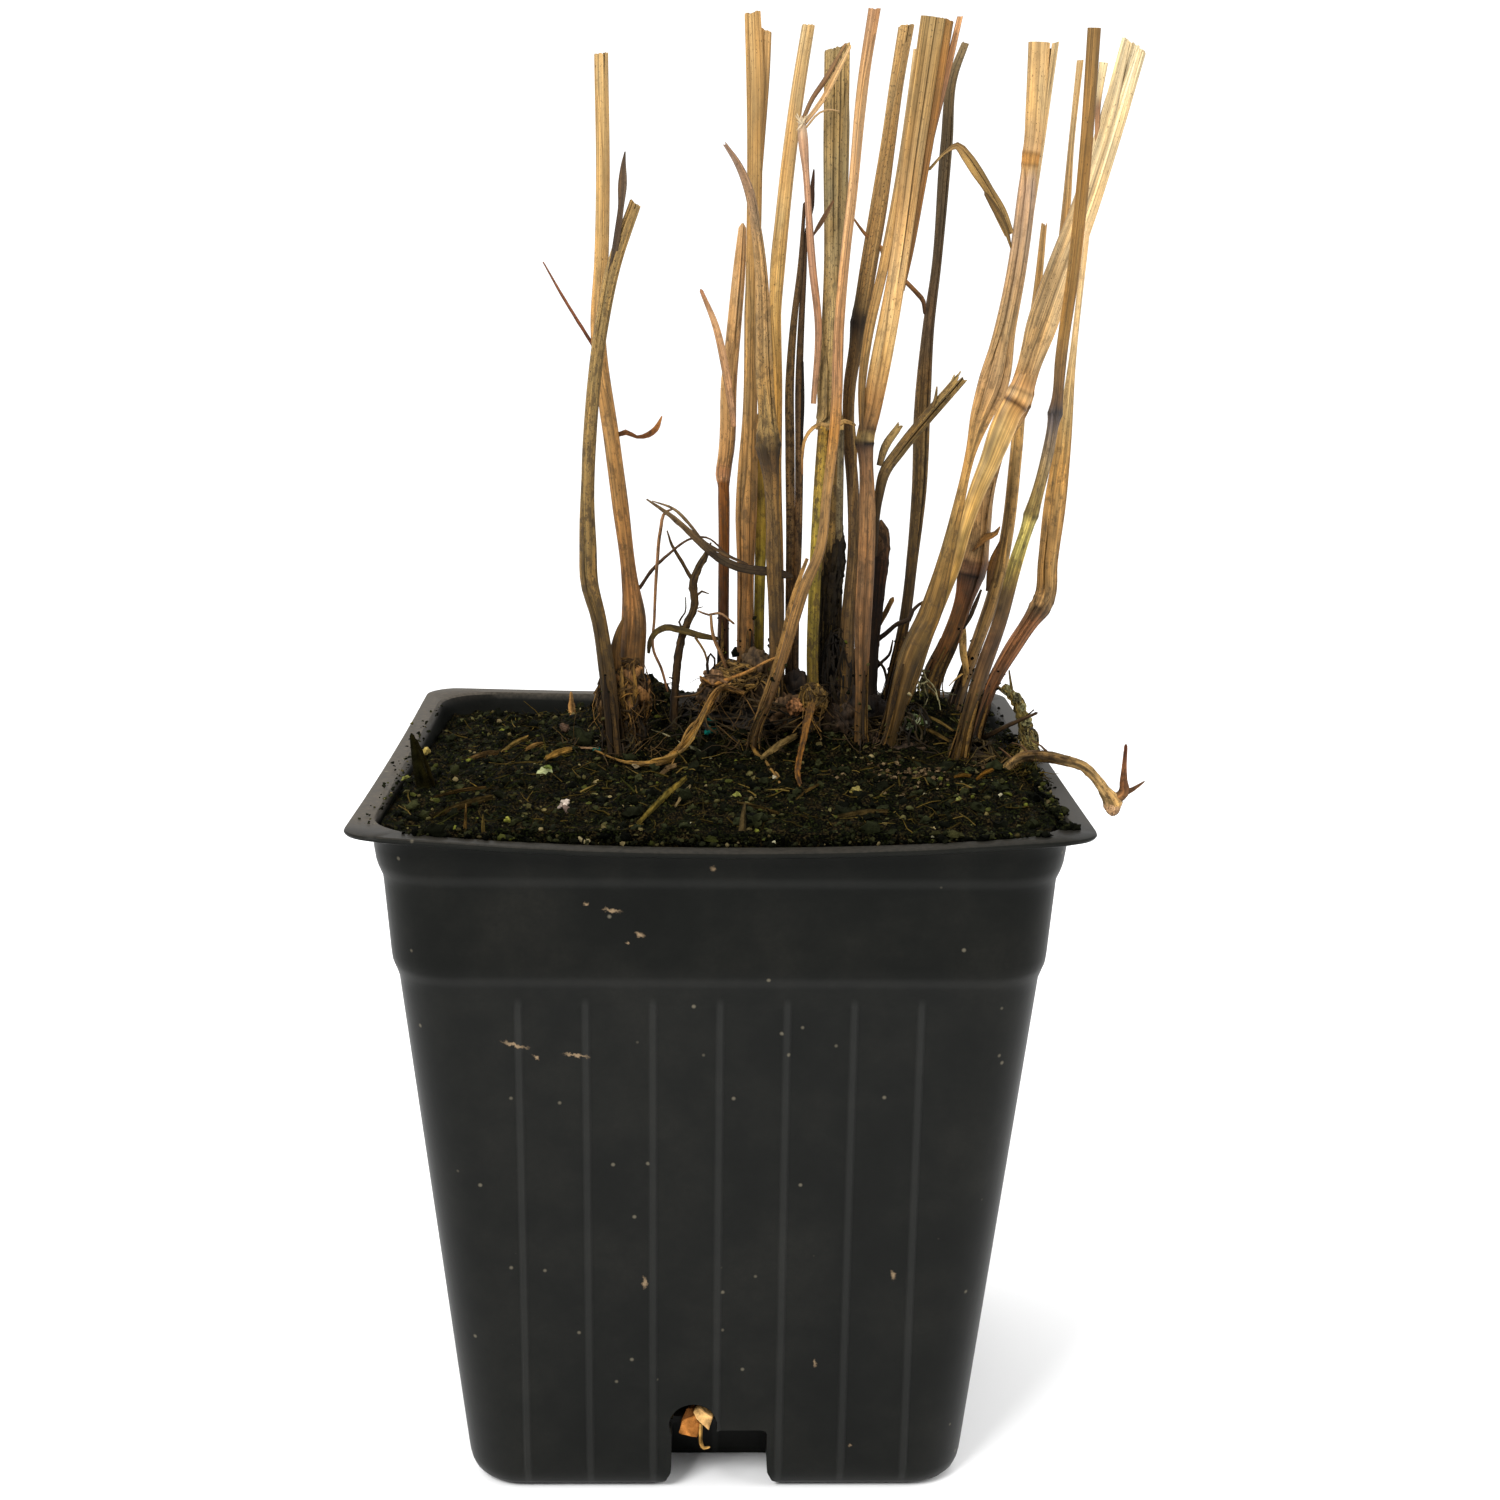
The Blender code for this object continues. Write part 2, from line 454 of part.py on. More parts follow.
def soil_height(x, y):
    """Height of the soil's surface: a level bed, lower along the walls, with the heap and its lumps."""
    front = 0.5 - 0.5 * math.tanh(y / SOIL_TURN)
    height = SOIL_BACK + (SOIL_FRONT - SOIL_BACK) * front
    edge = max(abs(x), abs(y)) / SOIL_HALF
    height -= SOIL_EDGE_DROP * (1.0 - SOIL_FRONT_KEPT * front) * edge ** 6
    cx, cy = HEAP_CENTRE
    rx, ry = HEAP_REACH
    height += HEAP_HEIGHT * math.exp(-((x - cx) / rx) ** 2 - ((y - cy) / ry) ** 2)
    for lx, ly, reach, rise in SOIL_LUMPS:
        height += rise * math.exp(-((x - lx) ** 2 + (y - ly) ** 2) / reach ** 2)
    return height


def inside_half(height):
    """Half width of the pot's inside at a height."""
    for low, high in zip(POT_INSIDE, POT_INSIDE[1:]):
        if height <= high[0]:
            share = (height - low[0]) / (high[0] - low[0])
            return low[1] + (high[1] - low[1]) * share
    return POT_INSIDE[-1][1]


def make_soil():
    """The peat: a body that follows the pot's inside, closed by rings that climb the heap."""
    rings = []
    for height, radius in SOIL_INSIDE:
        rings.append(square_ring(height, inside_half(height) - GAP, radius))
    top_half = inside_half(SOIL_TOP_Z) - GAP
    for share in SOIL_RINGS:
        outline = square_outline(top_half * share, SOIL_INSIDE[-1][1] * share)
        rings.append([(x, y, soil_height(x, y)) for x, y, side in outline])
    middle = soil_height(0.0, 0.0)
    rings[-1] = [(x, y, middle) for x, y, height in rings[-1]]
    return add_object("soil", stacked(rings), "peat")


def make_lump(centre, axes, detail, grow):
    """One knotted lump of the crown."""
    bm = bmesh.new()
    verts = bmesh.ops.create_icosphere(bm, subdivisions=detail, radius=1.0)["verts"]
    for vert in verts:
        knot = 1.0 + sum(rise * math.sin(way.dot(vert.co) + start) for rise, way, start in CROWN_WAVES)
        size = Vector([axis + grow for axis in axes])
        vert.co = (Vector(centre) + vert.co * size * knot) * MM
    return bm


def make_crown(grow=0.0):
    """The crown's lumps joined in one body. Grown by the clearance, it is its own pocket in the soil."""
    parts = []
    for number, (centre, axes, detail) in enumerate(CROWN_LUMPS):
        name = ("crown" if grow == 0.0 else "crown_pocket") + ("" if number == 0 else "_knot")
        parts.append(add_object(name, make_lump(centre, axes, detail, grow), "crown_bark"))
    for knot in parts[1:]:
        boolean(parts[0], "UNION", knot)
    return parts[0]


def on_depth(route, foot_depth, top_depth):
    """Points in space of a route: each slides along its line of sight to its own depth."""
    lengths = [0.0]
    for low, high in zip(route, route[1:]):
        lengths.append(lengths[-1] + math.dist(low[:2], high[:2]))
    points = []
    for (x, z, width), length in zip(route, lengths):
        depth = foot_depth + (top_depth - foot_depth) * length / lengths[-1]
        share = (depth - VIEW_POINT.y) / (SHEET_Y - VIEW_POINT.y)
        px = VIEW_POINT.x + (x - VIEW_POINT.x) * share
        pz = VIEW_POINT.z + (z - VIEW_POINT.z) * share
        points.append((px, depth, pz, width * share))
    return points


def swept(points, thickness, sides, grow=0.0):
    """A closed stem through points that hold x, y, z and width, flattened towards the front."""
    places = [Vector(point[:3]) for point in points]
    rings = []
    for index, (place, point) in enumerate(zip(places, points)):
        before = places[max(index - 1, 0)]
        after = places[min(index + 1, len(places) - 1)]
        along = (after - before).normalized()
        across = along.cross(Vector((0.0, 1.0, 0.0))).normalized()
        through = across.cross(along)
        half = point[3] / 2 + grow
        deep = point[3] / 2 * thickness + grow
        shift = along * grow * (-1 if index == 0 else 1 if index == len(places) - 1 else 0)
        ring = []
        for side in range(sides):
            angle = 2 * math.pi * (side + 0.5) / sides
            ring.append(place + shift + across * half * math.cos(angle) + through * deep * math.sin(angle))
        rings.append(ring)
    return stacked(rings)


def add_sockets(points, thickness, sides, bodies):
    """Cut the stem's lower end, grown by the clearance, out of what it stands in."""
    low = [point for point in points if point[2] < SOCKET_TOP]
    if len(low) < len(points):
        low.append(points[len(low)])
    socket = add_object("socket", swept(low, thickness, sides, GAP), "peat")
    for body in bodies:
        boolean(body, "DIFFERENCE", socket)


def make_plant(soil, crown):
    """Every culm, leaf, stub and root, with its socket where it stands in the soil or the crown."""
    for name, (finish_name, foot, top, thickness, sides, route) in STEMS.items():
        points = on_depth(route, foot, top)
        add_object(name, swept(points, thickness, sides), finish_name)
        if points[0][2] < STANDING_BELOW:
            in_crown = CROWN_LEFT < points[0][0] < CROWN_RIGHT and points[0][1] > CROWN_FRONT
            add_sockets(points, thickness, sides, [soil, crown] if in_crown else [soil])
    for name, (finish_name, sides, points) in ROOTS.items():
        root = add_object(name, swept(points, ROOT_THICKNESS, sides), finish_name)
        if name == "runner":
            for branch in RUNNER_BRANCHES:
                shoot = add_object("runner_branch", swept(branch, ROOT_THICKNESS, sides), finish_name)
                boolean(root, "UNION", shoot)
        add_sockets(points, ROOT_THICKNESS, sides, [soil])


def make_chip(soil):
    """The wood chip in the front drain hole, and its pocket in the soil."""
    front = -wall_half(DRAIN_Z) - CHIP_POCKET_FRONT
    pocket = rod_along_y((DRAIN_X, DRAIN_Z), CHIP_POCKET_RADIUS, front, CHIP_POCKET_BACK)
    boolean(soil, "DIFFERENCE", add_object("chip_pocket", pocket, "peat"))
    bm = bmesh.new()
    verts = bmesh.ops.create_cube(bm, size=1.0)["verts"]
    bmesh.ops.scale(bm, verts=verts, vec=Vector(CHIP_SIZE) * MM)
    bmesh.ops.bevel(
        bm, geom=list(bm.edges), offset=CHIP_EDGE * MM, segments=1, profile=0.5, affect="EDGES", material=-1)
    bmesh.ops.rotate(bm, verts=list(bm.verts), matrix=Matrix.Rotation(CHIP_TURN, 3, "Y"), cent=(0, 0, 0))
    bmesh.ops.translate(bm, verts=list(bm.verts), vec=Vector(CHIP_CENTRE) * MM)
    add_object("drain_chip", bm, "wood_chip")


def main():
    clear_scene()
    make_pot()
    soil = make_soil()
    crown = make_crown()
    boolean(soil, "DIFFERENCE", notches(WALL + GAP))
    boolean(soil, "DIFFERENCE", make_crown(GAP))
    make_plant(soil, crown)
    make_chip(soil)


main()
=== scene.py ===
# %% [markdown]
# # A cut back switchgrass in its nursery pot
# The plant is a dormant clump of switchgrass: dead hollow culms, cut off level, still wrapped in the
# rolled sheaths of last year's leaves. It stands in near-black peat in a thin square pot of black plastic.
# We dress a finished model. The frame gives every solid in its right place, so each piece made here is
# drawn at the same place and size, and then says which solid it stands for.

# %% Load the frame
import json
import math
import random

import bmesh
import bpy
from mathutils import Matrix, Vector, noise

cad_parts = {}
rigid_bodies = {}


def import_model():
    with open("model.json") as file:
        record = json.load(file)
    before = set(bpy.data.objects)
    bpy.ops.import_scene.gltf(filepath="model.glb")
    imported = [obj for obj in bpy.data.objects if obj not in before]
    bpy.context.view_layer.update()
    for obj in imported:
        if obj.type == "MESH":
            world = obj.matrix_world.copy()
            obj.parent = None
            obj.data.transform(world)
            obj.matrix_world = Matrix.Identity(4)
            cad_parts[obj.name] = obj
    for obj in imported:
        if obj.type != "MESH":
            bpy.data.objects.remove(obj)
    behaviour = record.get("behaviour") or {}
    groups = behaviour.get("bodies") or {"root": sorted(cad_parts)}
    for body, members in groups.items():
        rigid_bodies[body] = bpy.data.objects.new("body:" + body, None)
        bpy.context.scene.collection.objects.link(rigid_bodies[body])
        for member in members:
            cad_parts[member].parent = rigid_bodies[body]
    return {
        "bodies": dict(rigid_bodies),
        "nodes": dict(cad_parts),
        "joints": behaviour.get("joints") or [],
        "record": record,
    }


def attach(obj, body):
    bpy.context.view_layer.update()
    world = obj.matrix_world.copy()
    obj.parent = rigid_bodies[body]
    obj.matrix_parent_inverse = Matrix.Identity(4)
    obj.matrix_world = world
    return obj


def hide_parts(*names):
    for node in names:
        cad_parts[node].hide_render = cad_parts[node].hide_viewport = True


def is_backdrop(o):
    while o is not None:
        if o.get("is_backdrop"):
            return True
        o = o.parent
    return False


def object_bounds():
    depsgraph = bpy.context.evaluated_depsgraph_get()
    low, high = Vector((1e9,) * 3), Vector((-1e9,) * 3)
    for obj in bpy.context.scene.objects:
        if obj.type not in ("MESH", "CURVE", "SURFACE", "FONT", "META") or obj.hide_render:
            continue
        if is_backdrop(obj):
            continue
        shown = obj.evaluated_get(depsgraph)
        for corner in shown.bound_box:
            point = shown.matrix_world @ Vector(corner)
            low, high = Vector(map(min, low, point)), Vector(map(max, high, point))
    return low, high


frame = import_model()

MM = 0.001
cad_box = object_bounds()
print("solids:", len(frame["nodes"]))
print("box in mm:", [round((high - low) / MM, 1) for low, high in zip(*cad_box)])

# %% [markdown]
# The camera comes first. The pot's eight corners fix it: it stands 372 mm in front of the pot's middle, 202 mm
# up, and looks 12.8 degrees down. The lens sees 37.8 degrees, which is 52.6 mm on a 36 mm wide sensor.

# %% Camera
VIEW_POINT = Vector((-3.8, -371.62, 202.1))
YAW = math.radians(-1.413)
PITCH = math.radians(12.811)
ROLL = math.radians(0.668)
LENS = 52.57

camera_data = bpy.data.cameras.new("camera")
camera_data.sensor_width = 36.0
camera_data.lens = LENS
camera_data.clip_start = 0.01
camera = bpy.data.objects.new("camera", camera_data)
turn = Matrix.Rotation(YAW, 4, "Z") @ Matrix.Rotation(math.radians(90) - PITCH, 4, "X")
camera.matrix_world = Matrix.Translation(VIEW_POINT * MM) @ turn @ Matrix.Rotation(ROLL, 4, "Z")
bpy.context.scene.collection.objects.link(camera)
bpy.context.scene.camera = camera
print("camera at", [round(value, 1) for value in VIEW_POINT], "mm")

# %% [markdown]
# Colours are picked as sRGB hex values, as a paint program shows them. Blender's shaders work in linear
# light, so one function turns the one into the other. A second small function adds a shader node, sets its
# fields or sockets and links its inputs, which keeps the materials below short and readable. The many
# measures and colours of the plant stand in text tables, and one function reads them.

# %% Colour and node helpers
def to_linear(code):
    """The linear red, green and blue of an sRGB hex colour."""
    parts = [int(code[place:place + 2], 16) / 255 for place in (1, 3, 5)]
    return Vector([part / 12.92 if part <= 0.04045 else ((part + 0.055) / 1.055) ** 2.4 for part in parts])


def rows(table):
    """The rows of a table. In text, commas part the rows, and blanks part the numbers and colours."""
    if not isinstance(table, str):
        return table
    return [[item if item[0] == "#" else float(item) for item in row.split()]
            for row in table.split(",") if row]


def link(tree, node, sources):
    """Link the inputs of a node. A source that is a node stands for its first output in use."""
    for key, source in sources.items():
        if isinstance(source, bpy.types.Node):
            source = next(output for output in source.outputs if output.enabled)
        tree.links.new(source, node.inputs[key])


def add(tree, kind, settings=None, sources=None):
    """Add one shader node. A setting is a field of the node, or else the name or number of a socket."""
    node = tree.nodes.new("ShaderNode" + kind)
    for key, value in (settings or {}).items():
        if isinstance(key, str) and hasattr(node, key):
            setattr(node, key, value)
        else:
            node.inputs[key].default_value = (*to_linear(value), 1.0) if isinstance(value, str) else value
    link(tree, node, sources or {})
    return node


def new_material(name):
    """A material with its node tree and its Principled shader."""
    material = bpy.data.materials.new(name)
    material.use_nodes = True
    return material, material.node_tree, material.node_tree.nodes["Principled BSDF"]


# Inputs of a Mix node for colours, and its two kinds: one colour over another, and one times another.
MIX_A, MIX_B = 6, 7
OVER = {"data_type": "RGBA"}
TIMES = {"data_type": "RGBA", "blend_type": "MULTIPLY", 0: 1.0}
print("mid grey in linear light:", round(to_linear("#808080")[0], 3))

# %% [markdown]
# The photograph was taken on white, with broad soft light. A white floor and a pale surround give that,
# and one wide lamp from the upper left gives the culms their bright side. The surround is darker towards
# the camera than behind the plant, as in a room with a white backdrop, which keeps the black plastic black
# on its face and lets it shine along its edges.

# %% Floor and light
floor_bm = bmesh.new()
bmesh.ops.create_grid(floor_bm, x_segments=1, y_segments=1, size=3.0)
floor_mesh = bpy.data.meshes.new("floor")
floor_bm.to_mesh(floor_mesh)
floor_bm.free()
floor = bpy.data.objects.new("floor", floor_mesh)
floor.location.z = -0.0002
bpy.context.scene.collection.objects.link(floor)
floor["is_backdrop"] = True
# White matt paper: bright and without gloss.
paper, tree, shader = new_material("white_paper_floor")
shader.inputs["Base Color"].default_value = (0.9, 0.9, 0.9, 1.0)
shader.inputs["Roughness"].default_value = 0.9
shader.inputs["Specular IOR Level"].default_value = 0.1
floor_mesh.materials.append(paper)


def lamp(name, place, size, power):
    """A square area lamp that looks at the pot's lip. Its place and size are in millimetres."""
    data = bpy.data.lights.new(name, "AREA")
    data.size = size * MM
    data.energy = power
    item = bpy.data.objects.new(name, data)
    way = (Vector((0, 0, 120)) - Vector(place)).normalized()
    turned = way.to_track_quat("-Z", "Y").to_matrix().to_4x4()
    item.matrix_world = Matrix.Translation(Vector(place) * MM) @ turned
    bpy.context.scene.collection.objects.link(item)


lamp("key_lamp", (-500, -800, 900), 420, 15.0)
lamp("fill_lamp", (800, -500, 600), 600, 4.0)

world = bpy.data.worlds.new("white_surround")
world.use_nodes = True
bpy.context.scene.world = world
tree = world.node_tree
toward = add(tree, "SeparateXYZ", {}, {"Vector": add(tree, "TexCoord").outputs["Generated"]})
behind = add(tree, "MapRange", {"From Min": -0.75, "From Max": 0.35, "To Min": 0.16, "To Max": 1.25},
             {"Value": toward.outputs["Y"]})
above = add(tree, "MapRange", {"From Min": 0.15, "From Max": 0.9, "To Max": 0.7},
            {"Value": toward.outputs["Z"]})
bright = add(tree, "Math", {"operation": "ADD"}, {0: behind, 1: above})
link(tree, tree.nodes["Background"], {"Strength": bright})
tree.nodes["Background"].inputs["Color"].default_value = (1.0, 1.0, 1.0, 1.0)
bpy.context.scene.view_settings.view_transform = "Standard"
print("lamps:", len(bpy.data.lights))

# %% [markdown]
# Every piece ends the same way: its faces are turned outwards, it is brought from millimetres to metres,
# smoothed up to a sharp angle, given its finish, and set to ride on the part's only body.

# %% Finish a piece
made = {}


def finish_piece(bm, name, material, covers=(), smooth=40):
    """Turn a bmesh in millimetres into a piece of the part, standing for the solids it covers."""
    bmesh.ops.recalc_face_normals(bm, faces=bm.faces)
    mesh = bpy.data.meshes.new(name)
    bm.to_mesh(mesh)
    bm.free()
    mesh.transform(Matrix.Scale(MM, 4))
    mesh.shade_smooth()
    mesh.set_sharp_from_angle(angle=math.radians(smooth))
    mesh.materials.append(material)
    piece = bpy.data.objects.new(name, mesh)
    bpy.context.scene.collection.objects.link(piece)
    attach(piece, "root")
    if covers:
        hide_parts(*covers)
    mesh.calc_loop_triangles()
    made[name] = len(mesh.loop_triangles)
    print(name, made[name], "triangles")


# %% [markdown]
# ## Finishes of the plant
# Dead switchgrass is a bundle of straight fibres under a thin waxy skin. The eye sees three things: fine
# lengthwise ribs about a quarter of a millimetre apart, broader pale and dark veins, and small dark
# specks of mould where the weather got in. The slow change from dark foot to pale top differs from culm to
# culm, so it is stored on each piece as a colour called Tone. The ribs follow the stem through a UV map
# called Grain, which is in millimetres: across the stem and along it.

# %% Straw and bark
def plant_skin(name, fibre, fleck, fleck_colour, rough, relief):
    """A fibrous skin over the piece's own Tone. fibre is the spacing of its ribs in millimetres, and fleck
    tells how much mould it has, from -1 to 1."""
    material, tree, shader = new_material(name)
    colour = add(tree, "Attribute", {"attribute_name": "Tone"})
    grain = add(tree, "UVMap", {"uv_map": "Grain"})
    # Waves a millimetre across and along the stem, detail and roughness: ribs, veins, slow patches, specks,
    # and blots a few millimetres long.
    noises = []
    for across, along, detail, roughness in (
            (1 / fibre, 0.03, 3.0, 0.6), (0.32 / fibre, 0.012, 2.0, 0.5), (0.25, 0.07, 3.0, 0.5),
            (3.4, 1.7, 2.0, 0.7), (0.75, 0.4, 5.0, 0.72)):
        way = add(tree, "Mapping", {"Scale": (across, along, 1.0)}, {"Vector": grain})
        noises.append(add(tree, "TexNoise", {"Scale": 1.0, "Detail": detail, "Roughness": roughness},
                          {"Vector": way}))
    fine, vein, patch, speck, blot = noises
    # Seams between the ribs: thin dark lines where the slow noise crosses its middle.
    middle = add(tree, "Math", {"operation": "SUBTRACT", 1: 0.5}, {0: vein})
    seam = add(tree, "Math", {"operation": "ABSOLUTE"}, {0: middle})
    for source, low, high, dark, light in (
            (fine, 0.35, 0.65, 0.58, 1.3), (vein, 0.34, 0.66, 0.84, 1.14), (patch, 0.3, 0.7, 0.86, 1.14),
            (seam, 0.0, 0.03, 0.62, 1.0)):
        shade = add(tree, "MapRange", {"From Min": low, "From Max": high, "To Min": dark, "To Max": light},
                    {"Value": source})
        colour = add(tree, "Mix", TIMES, {MIX_A: colour, MIX_B: shade})
    spots = add(tree, "MapRange", {"interpolation_type": "SMOOTHSTEP", "From Min": 0.66 - 0.12 * fleck,
                                   "From Max": 0.73 - 0.1 * fleck, "To Max": 0.85}, {"Value": speck})
    spread = add(tree, "MapRange", {"From Min": 0.62 - 0.2 * fleck, "From Max": 0.4, "To Min": 1.0,
                                    "To Max": 0.35 + 0.5 * fleck}, {"Value": patch})
    amount = add(tree, "Math", {"operation": "MULTIPLY"}, {0: spots, 1: spread})
    # Blots of mould come where the stem stays damp, so they fade out towards its top.
    blots = add(tree, "MapRange", {"interpolation_type": "SMOOTHSTEP", "From Min": 0.52 - 0.04 * fleck,
                                   "From Max": 0.62 - 0.03 * fleck, "To Max": 0.4 + 0.4 * fleck},
                {"Value": blot})
    place = add(tree, "SeparateXYZ", {}, {"Vector": add(tree, "TexCoord").outputs["Object"]})
    damp = add(tree, "MapRange", {"From Min": 220 * MM, "From Max": 165 * MM, "To Min": 0.25},
               {"Value": place.outputs["Z"]})
    blots = add(tree, "Math", {"operation": "MULTIPLY"}, {0: blots, 1: damp})
    amount = add(tree, "Math", {"operation": "MAXIMUM"}, {0: amount, 1: blots})
    stained = add(tree, "Mix", OVER | {MIX_B: fleck_colour}, {0: amount, MIX_A: colour})
    wax = add(tree, "MapRange", {"To Min": rough - 0.12, "To Max": rough + 0.15}, {"Value": vein})
    height = add(tree, "Math", {"operation": "ADD"}, {0: fine, 1: vein})
    bump = add(tree, "Bump", {"Strength": relief, "Distance": 0.12 * MM}, {"Height": height})
    link(tree, shader, {"Base Color": stained, "Roughness": wax, "Normal": bump})
    shader.inputs["Specular IOR Level"].default_value = 0.16
    return material


# Dry sheath: waxy, smooth along the ribs, with few specks.
dry_straw = plant_skin("dry_switchgrass_sheath", 0.21, 0.42, "#3a2d1c", 0.5, 0.55)
# Bare stem that its sheath kept clean: waxy, and almost without specks.
clean_straw = plant_skin("clean_switchgrass_stem", 0.3, -0.7, "#3a2d1c", 0.42, 0.4)
# Weathered sheath: the wax is gone, and mould sits between the ribs.
grey_straw = plant_skin("weathered_switchgrass_sheath", 0.2, 0.85, "#33281b", 0.66, 0.7)
# Rotted sheath and stem base: soft, dull and stained.
rotted_straw = plant_skin("rotted_switchgrass_sheath", 0.35, 0.9, "#140e09", 0.8, 0.9)
# Root and runner skin: wrinkled bark with soil in the creases.
root_skin = plant_skin("grass_root_skin", 0.5, 0.6, "#1d140c", 0.75, 1.0)
print("nodes in a plant finish:", len(root_skin.node_tree.nodes))

# %% [markdown]
# Peat is cut from bogs: half rotted moss and wood, wet and almost black, with a dull sparkle where water
# sits on it. Grains and crumbs carry their own Tone. Two sizes of noise, 2.4 mm clods and 0.4 mm grains,
# stand for its texture: some clods are olive with moss, others brown. Wet spots are smoother than the rest.

# %% Peat and debris
def crumbly(name, grain, clod_size, rough_low, rough_high, own_tone, relief):
    """A crumbly skin in object space. grain and clod_size are the sizes of its lumps in millimetres."""
    material, tree, shader = new_material(name)
    place = add(tree, "TexCoord").outputs["Object"]
    fine = add(tree, "TexNoise", {"Scale": 1 / (grain * MM), "Detail": 4.0, "Roughness": 0.65},
               {"Vector": place})
    clod = add(tree, "TexNoise", {"Scale": 1 / (clod_size * MM), "Detail": 3.0}, {"Vector": place})
    if own_tone:
        colour = add(tree, "Attribute", {"attribute_name": "Tone"})
    else:
        kind = add(tree, "MapRange", {"From Min": 0.42, "From Max": 0.58}, {"Value": clod})
        rotted = add(tree, "Mix", OVER | {MIX_A: "#2d3216", MIX_B: "#3a301b"}, {0: kind})
        # Where the fine grain is low, which the bump also sets deeper, the colour goes to near black: painted shade
        # in the hollows between grains, over the peat's own dark colour.
        grain_top_lit = add(tree, "MapRange", {"From Min": 0.48, "From Max": 0.72}, {"Value": fine})
        colour = add(tree, "Mix", OVER | {MIX_A: "#030302"}, {0: grain_top_lit, MIX_B: rotted})
    shade = add(tree, "MapRange", {"From Min": 0.3, "From Max": 0.7, "To Min": 0.45, "To Max": 1.35},
                {"Value": clod})
    mixed = add(tree, "Mix", TIMES, {MIX_A: colour, MIX_B: shade})
    wet = add(tree, "MapRange", {"From Min": 0.35, "From Max": 0.6, "To Min": rough_low,
                                 "To Max": rough_high}, {"Value": fine})
    bump = add(tree, "Bump", {"Strength": relief, "Distance": 0.6 * MM}, {"Height": fine})
    link(tree, shader, {"Base Color": mixed, "Roughness": wet, "Normal": bump})
    shader.inputs["Specular IOR Level"].default_value = 0.012
    return material


peat = crumbly("moist_black_peat", 0.4, 2.4, 0.45, 0.95, False, 1.0)
# Crumbs, moss and bark bits: like the peat, each in its own colour.
debris = crumbly("peat_debris", 0.35, 1.1, 0.6, 0.95, True, 0.7)
# Pine bark and wood, broken small: straight grain, dull.
chip_wood = crumbly("broken_wood_chip", 0.3, 1.3, 0.55, 0.8, True, 0.7)
print("nodes in the peat's finish:", len(peat.node_tree.nodes))

# %% [markdown]
# ## The pot's plastic
# Nursery pots are vacuum formed or blown from recycled polypropylene, coloured with carbon black. New, it
# has a soft satin shine. This one has been out in a bed: grey dust lies on the lip and in a haze over the
# walls, water left pale spots, and a few dry scrapes show on the front. The dust is a slow noise, thicker
# where the face looks up. Each scrape is a short ellipse around its own point.

# %% Black plastic
# Scrapes on the front wall: x, z, half length, half width in millimetres, turn in degrees.
SCRAPES = rows("""-16.6 104.3 1.3 0.22 -8, -12.4 100.4 0.6 0.3 -20, -20.6 105.4 0.4 0.2 10,
    -31.8 81.7 1.7 0.22 -16, -22.4 80 1.7 0.22 -6, -1.3 111.4 0.35 0.4 0, -11.7 39.5 0.25 0.8 8,
    28.4 41 0.3 0.75 12, 16.1 24.5 0.25 0.7 10, 22.3 8.7 0.3 0.3 0, -28.6 79.6 0.5 0.15 -30,
    -14.2 99 0.3 0.2 0""")

# Grit bends the scrapes' edges by up to this many millimetres either way.
GRIT_SHIFT = 0.8
SHOULDERS = (92.3, 108.9)

plastic, tree, shader = new_material("carbon_black_polypropylene")
place = add(tree, "TexCoord").outputs["Object"]
facing = add(tree, "SeparateXYZ", {}, {"Vector": add(tree, "NewGeometry").outputs["Normal"]})
haze = add(tree, "TexNoise", {"Scale": 1 / (14 * MM), "Detail": 5.0, "Roughness": 0.6}, {"Vector": place})
grit = add(tree, "TexNoise", {"Scale": 1 / (0.8 * MM), "Detail": 3.0, "Roughness": 0.7}, {"Vector": place})
bend = add(tree, "VectorMath", {"operation": "SCALE", "Scale": 2 * GRIT_SHIFT * MM},
           {0: grit.outputs["Color"]})
bent = add(tree, "VectorMath", {"operation": "ADD"}, {0: place, 1: bend})
marks = None
for x, z, half_length, half_width, turn_deg in SCRAPES:
    around = add(tree, "Mapping", {
        "vector_type": "TEXTURE",
        "Location": ((x + GRIT_SHIFT) * MM, -48 * MM, (z + GRIT_SHIFT) * MM),
        "Rotation": (0.0, math.radians(-turn_deg), 0.0),
        "Scale": (half_length * MM, 10 * MM, half_width * MM)}, {"Vector": bent})
    far = add(tree, "VectorMath", {"operation": "LENGTH"}, {0: around})
    inside = add(tree, "MapRange", {"From Min": 1.5, "From Max": 0.4}, {"Value": far})
    marks = inside if marks is None else add(tree, "Math", {"operation": "MAXIMUM"}, {0: marks, 1: inside})
# Dust: a thin haze all over, and most of it on faces that look up.
axis = add(tree, "SeparateXYZ", {}, {"Vector": place})
lies = add(tree, "MapRange", {"From Min": 0.25, "From Max": 0.95, "To Max": 0.56},
           {"Value": facing.outputs["Z"]})
# Rain washed the right side, where the runner hangs over it.
washed = add(tree, "MapRange", {"From Min": 30 * MM, "From Max": 54 * MM, "To Min": 1.0, "To Max": 0.35},
             {"Value": axis.outputs["X"]})
lies = add(tree, "Math", {"operation": "MULTIPLY"}, {0: lies, 1: washed})
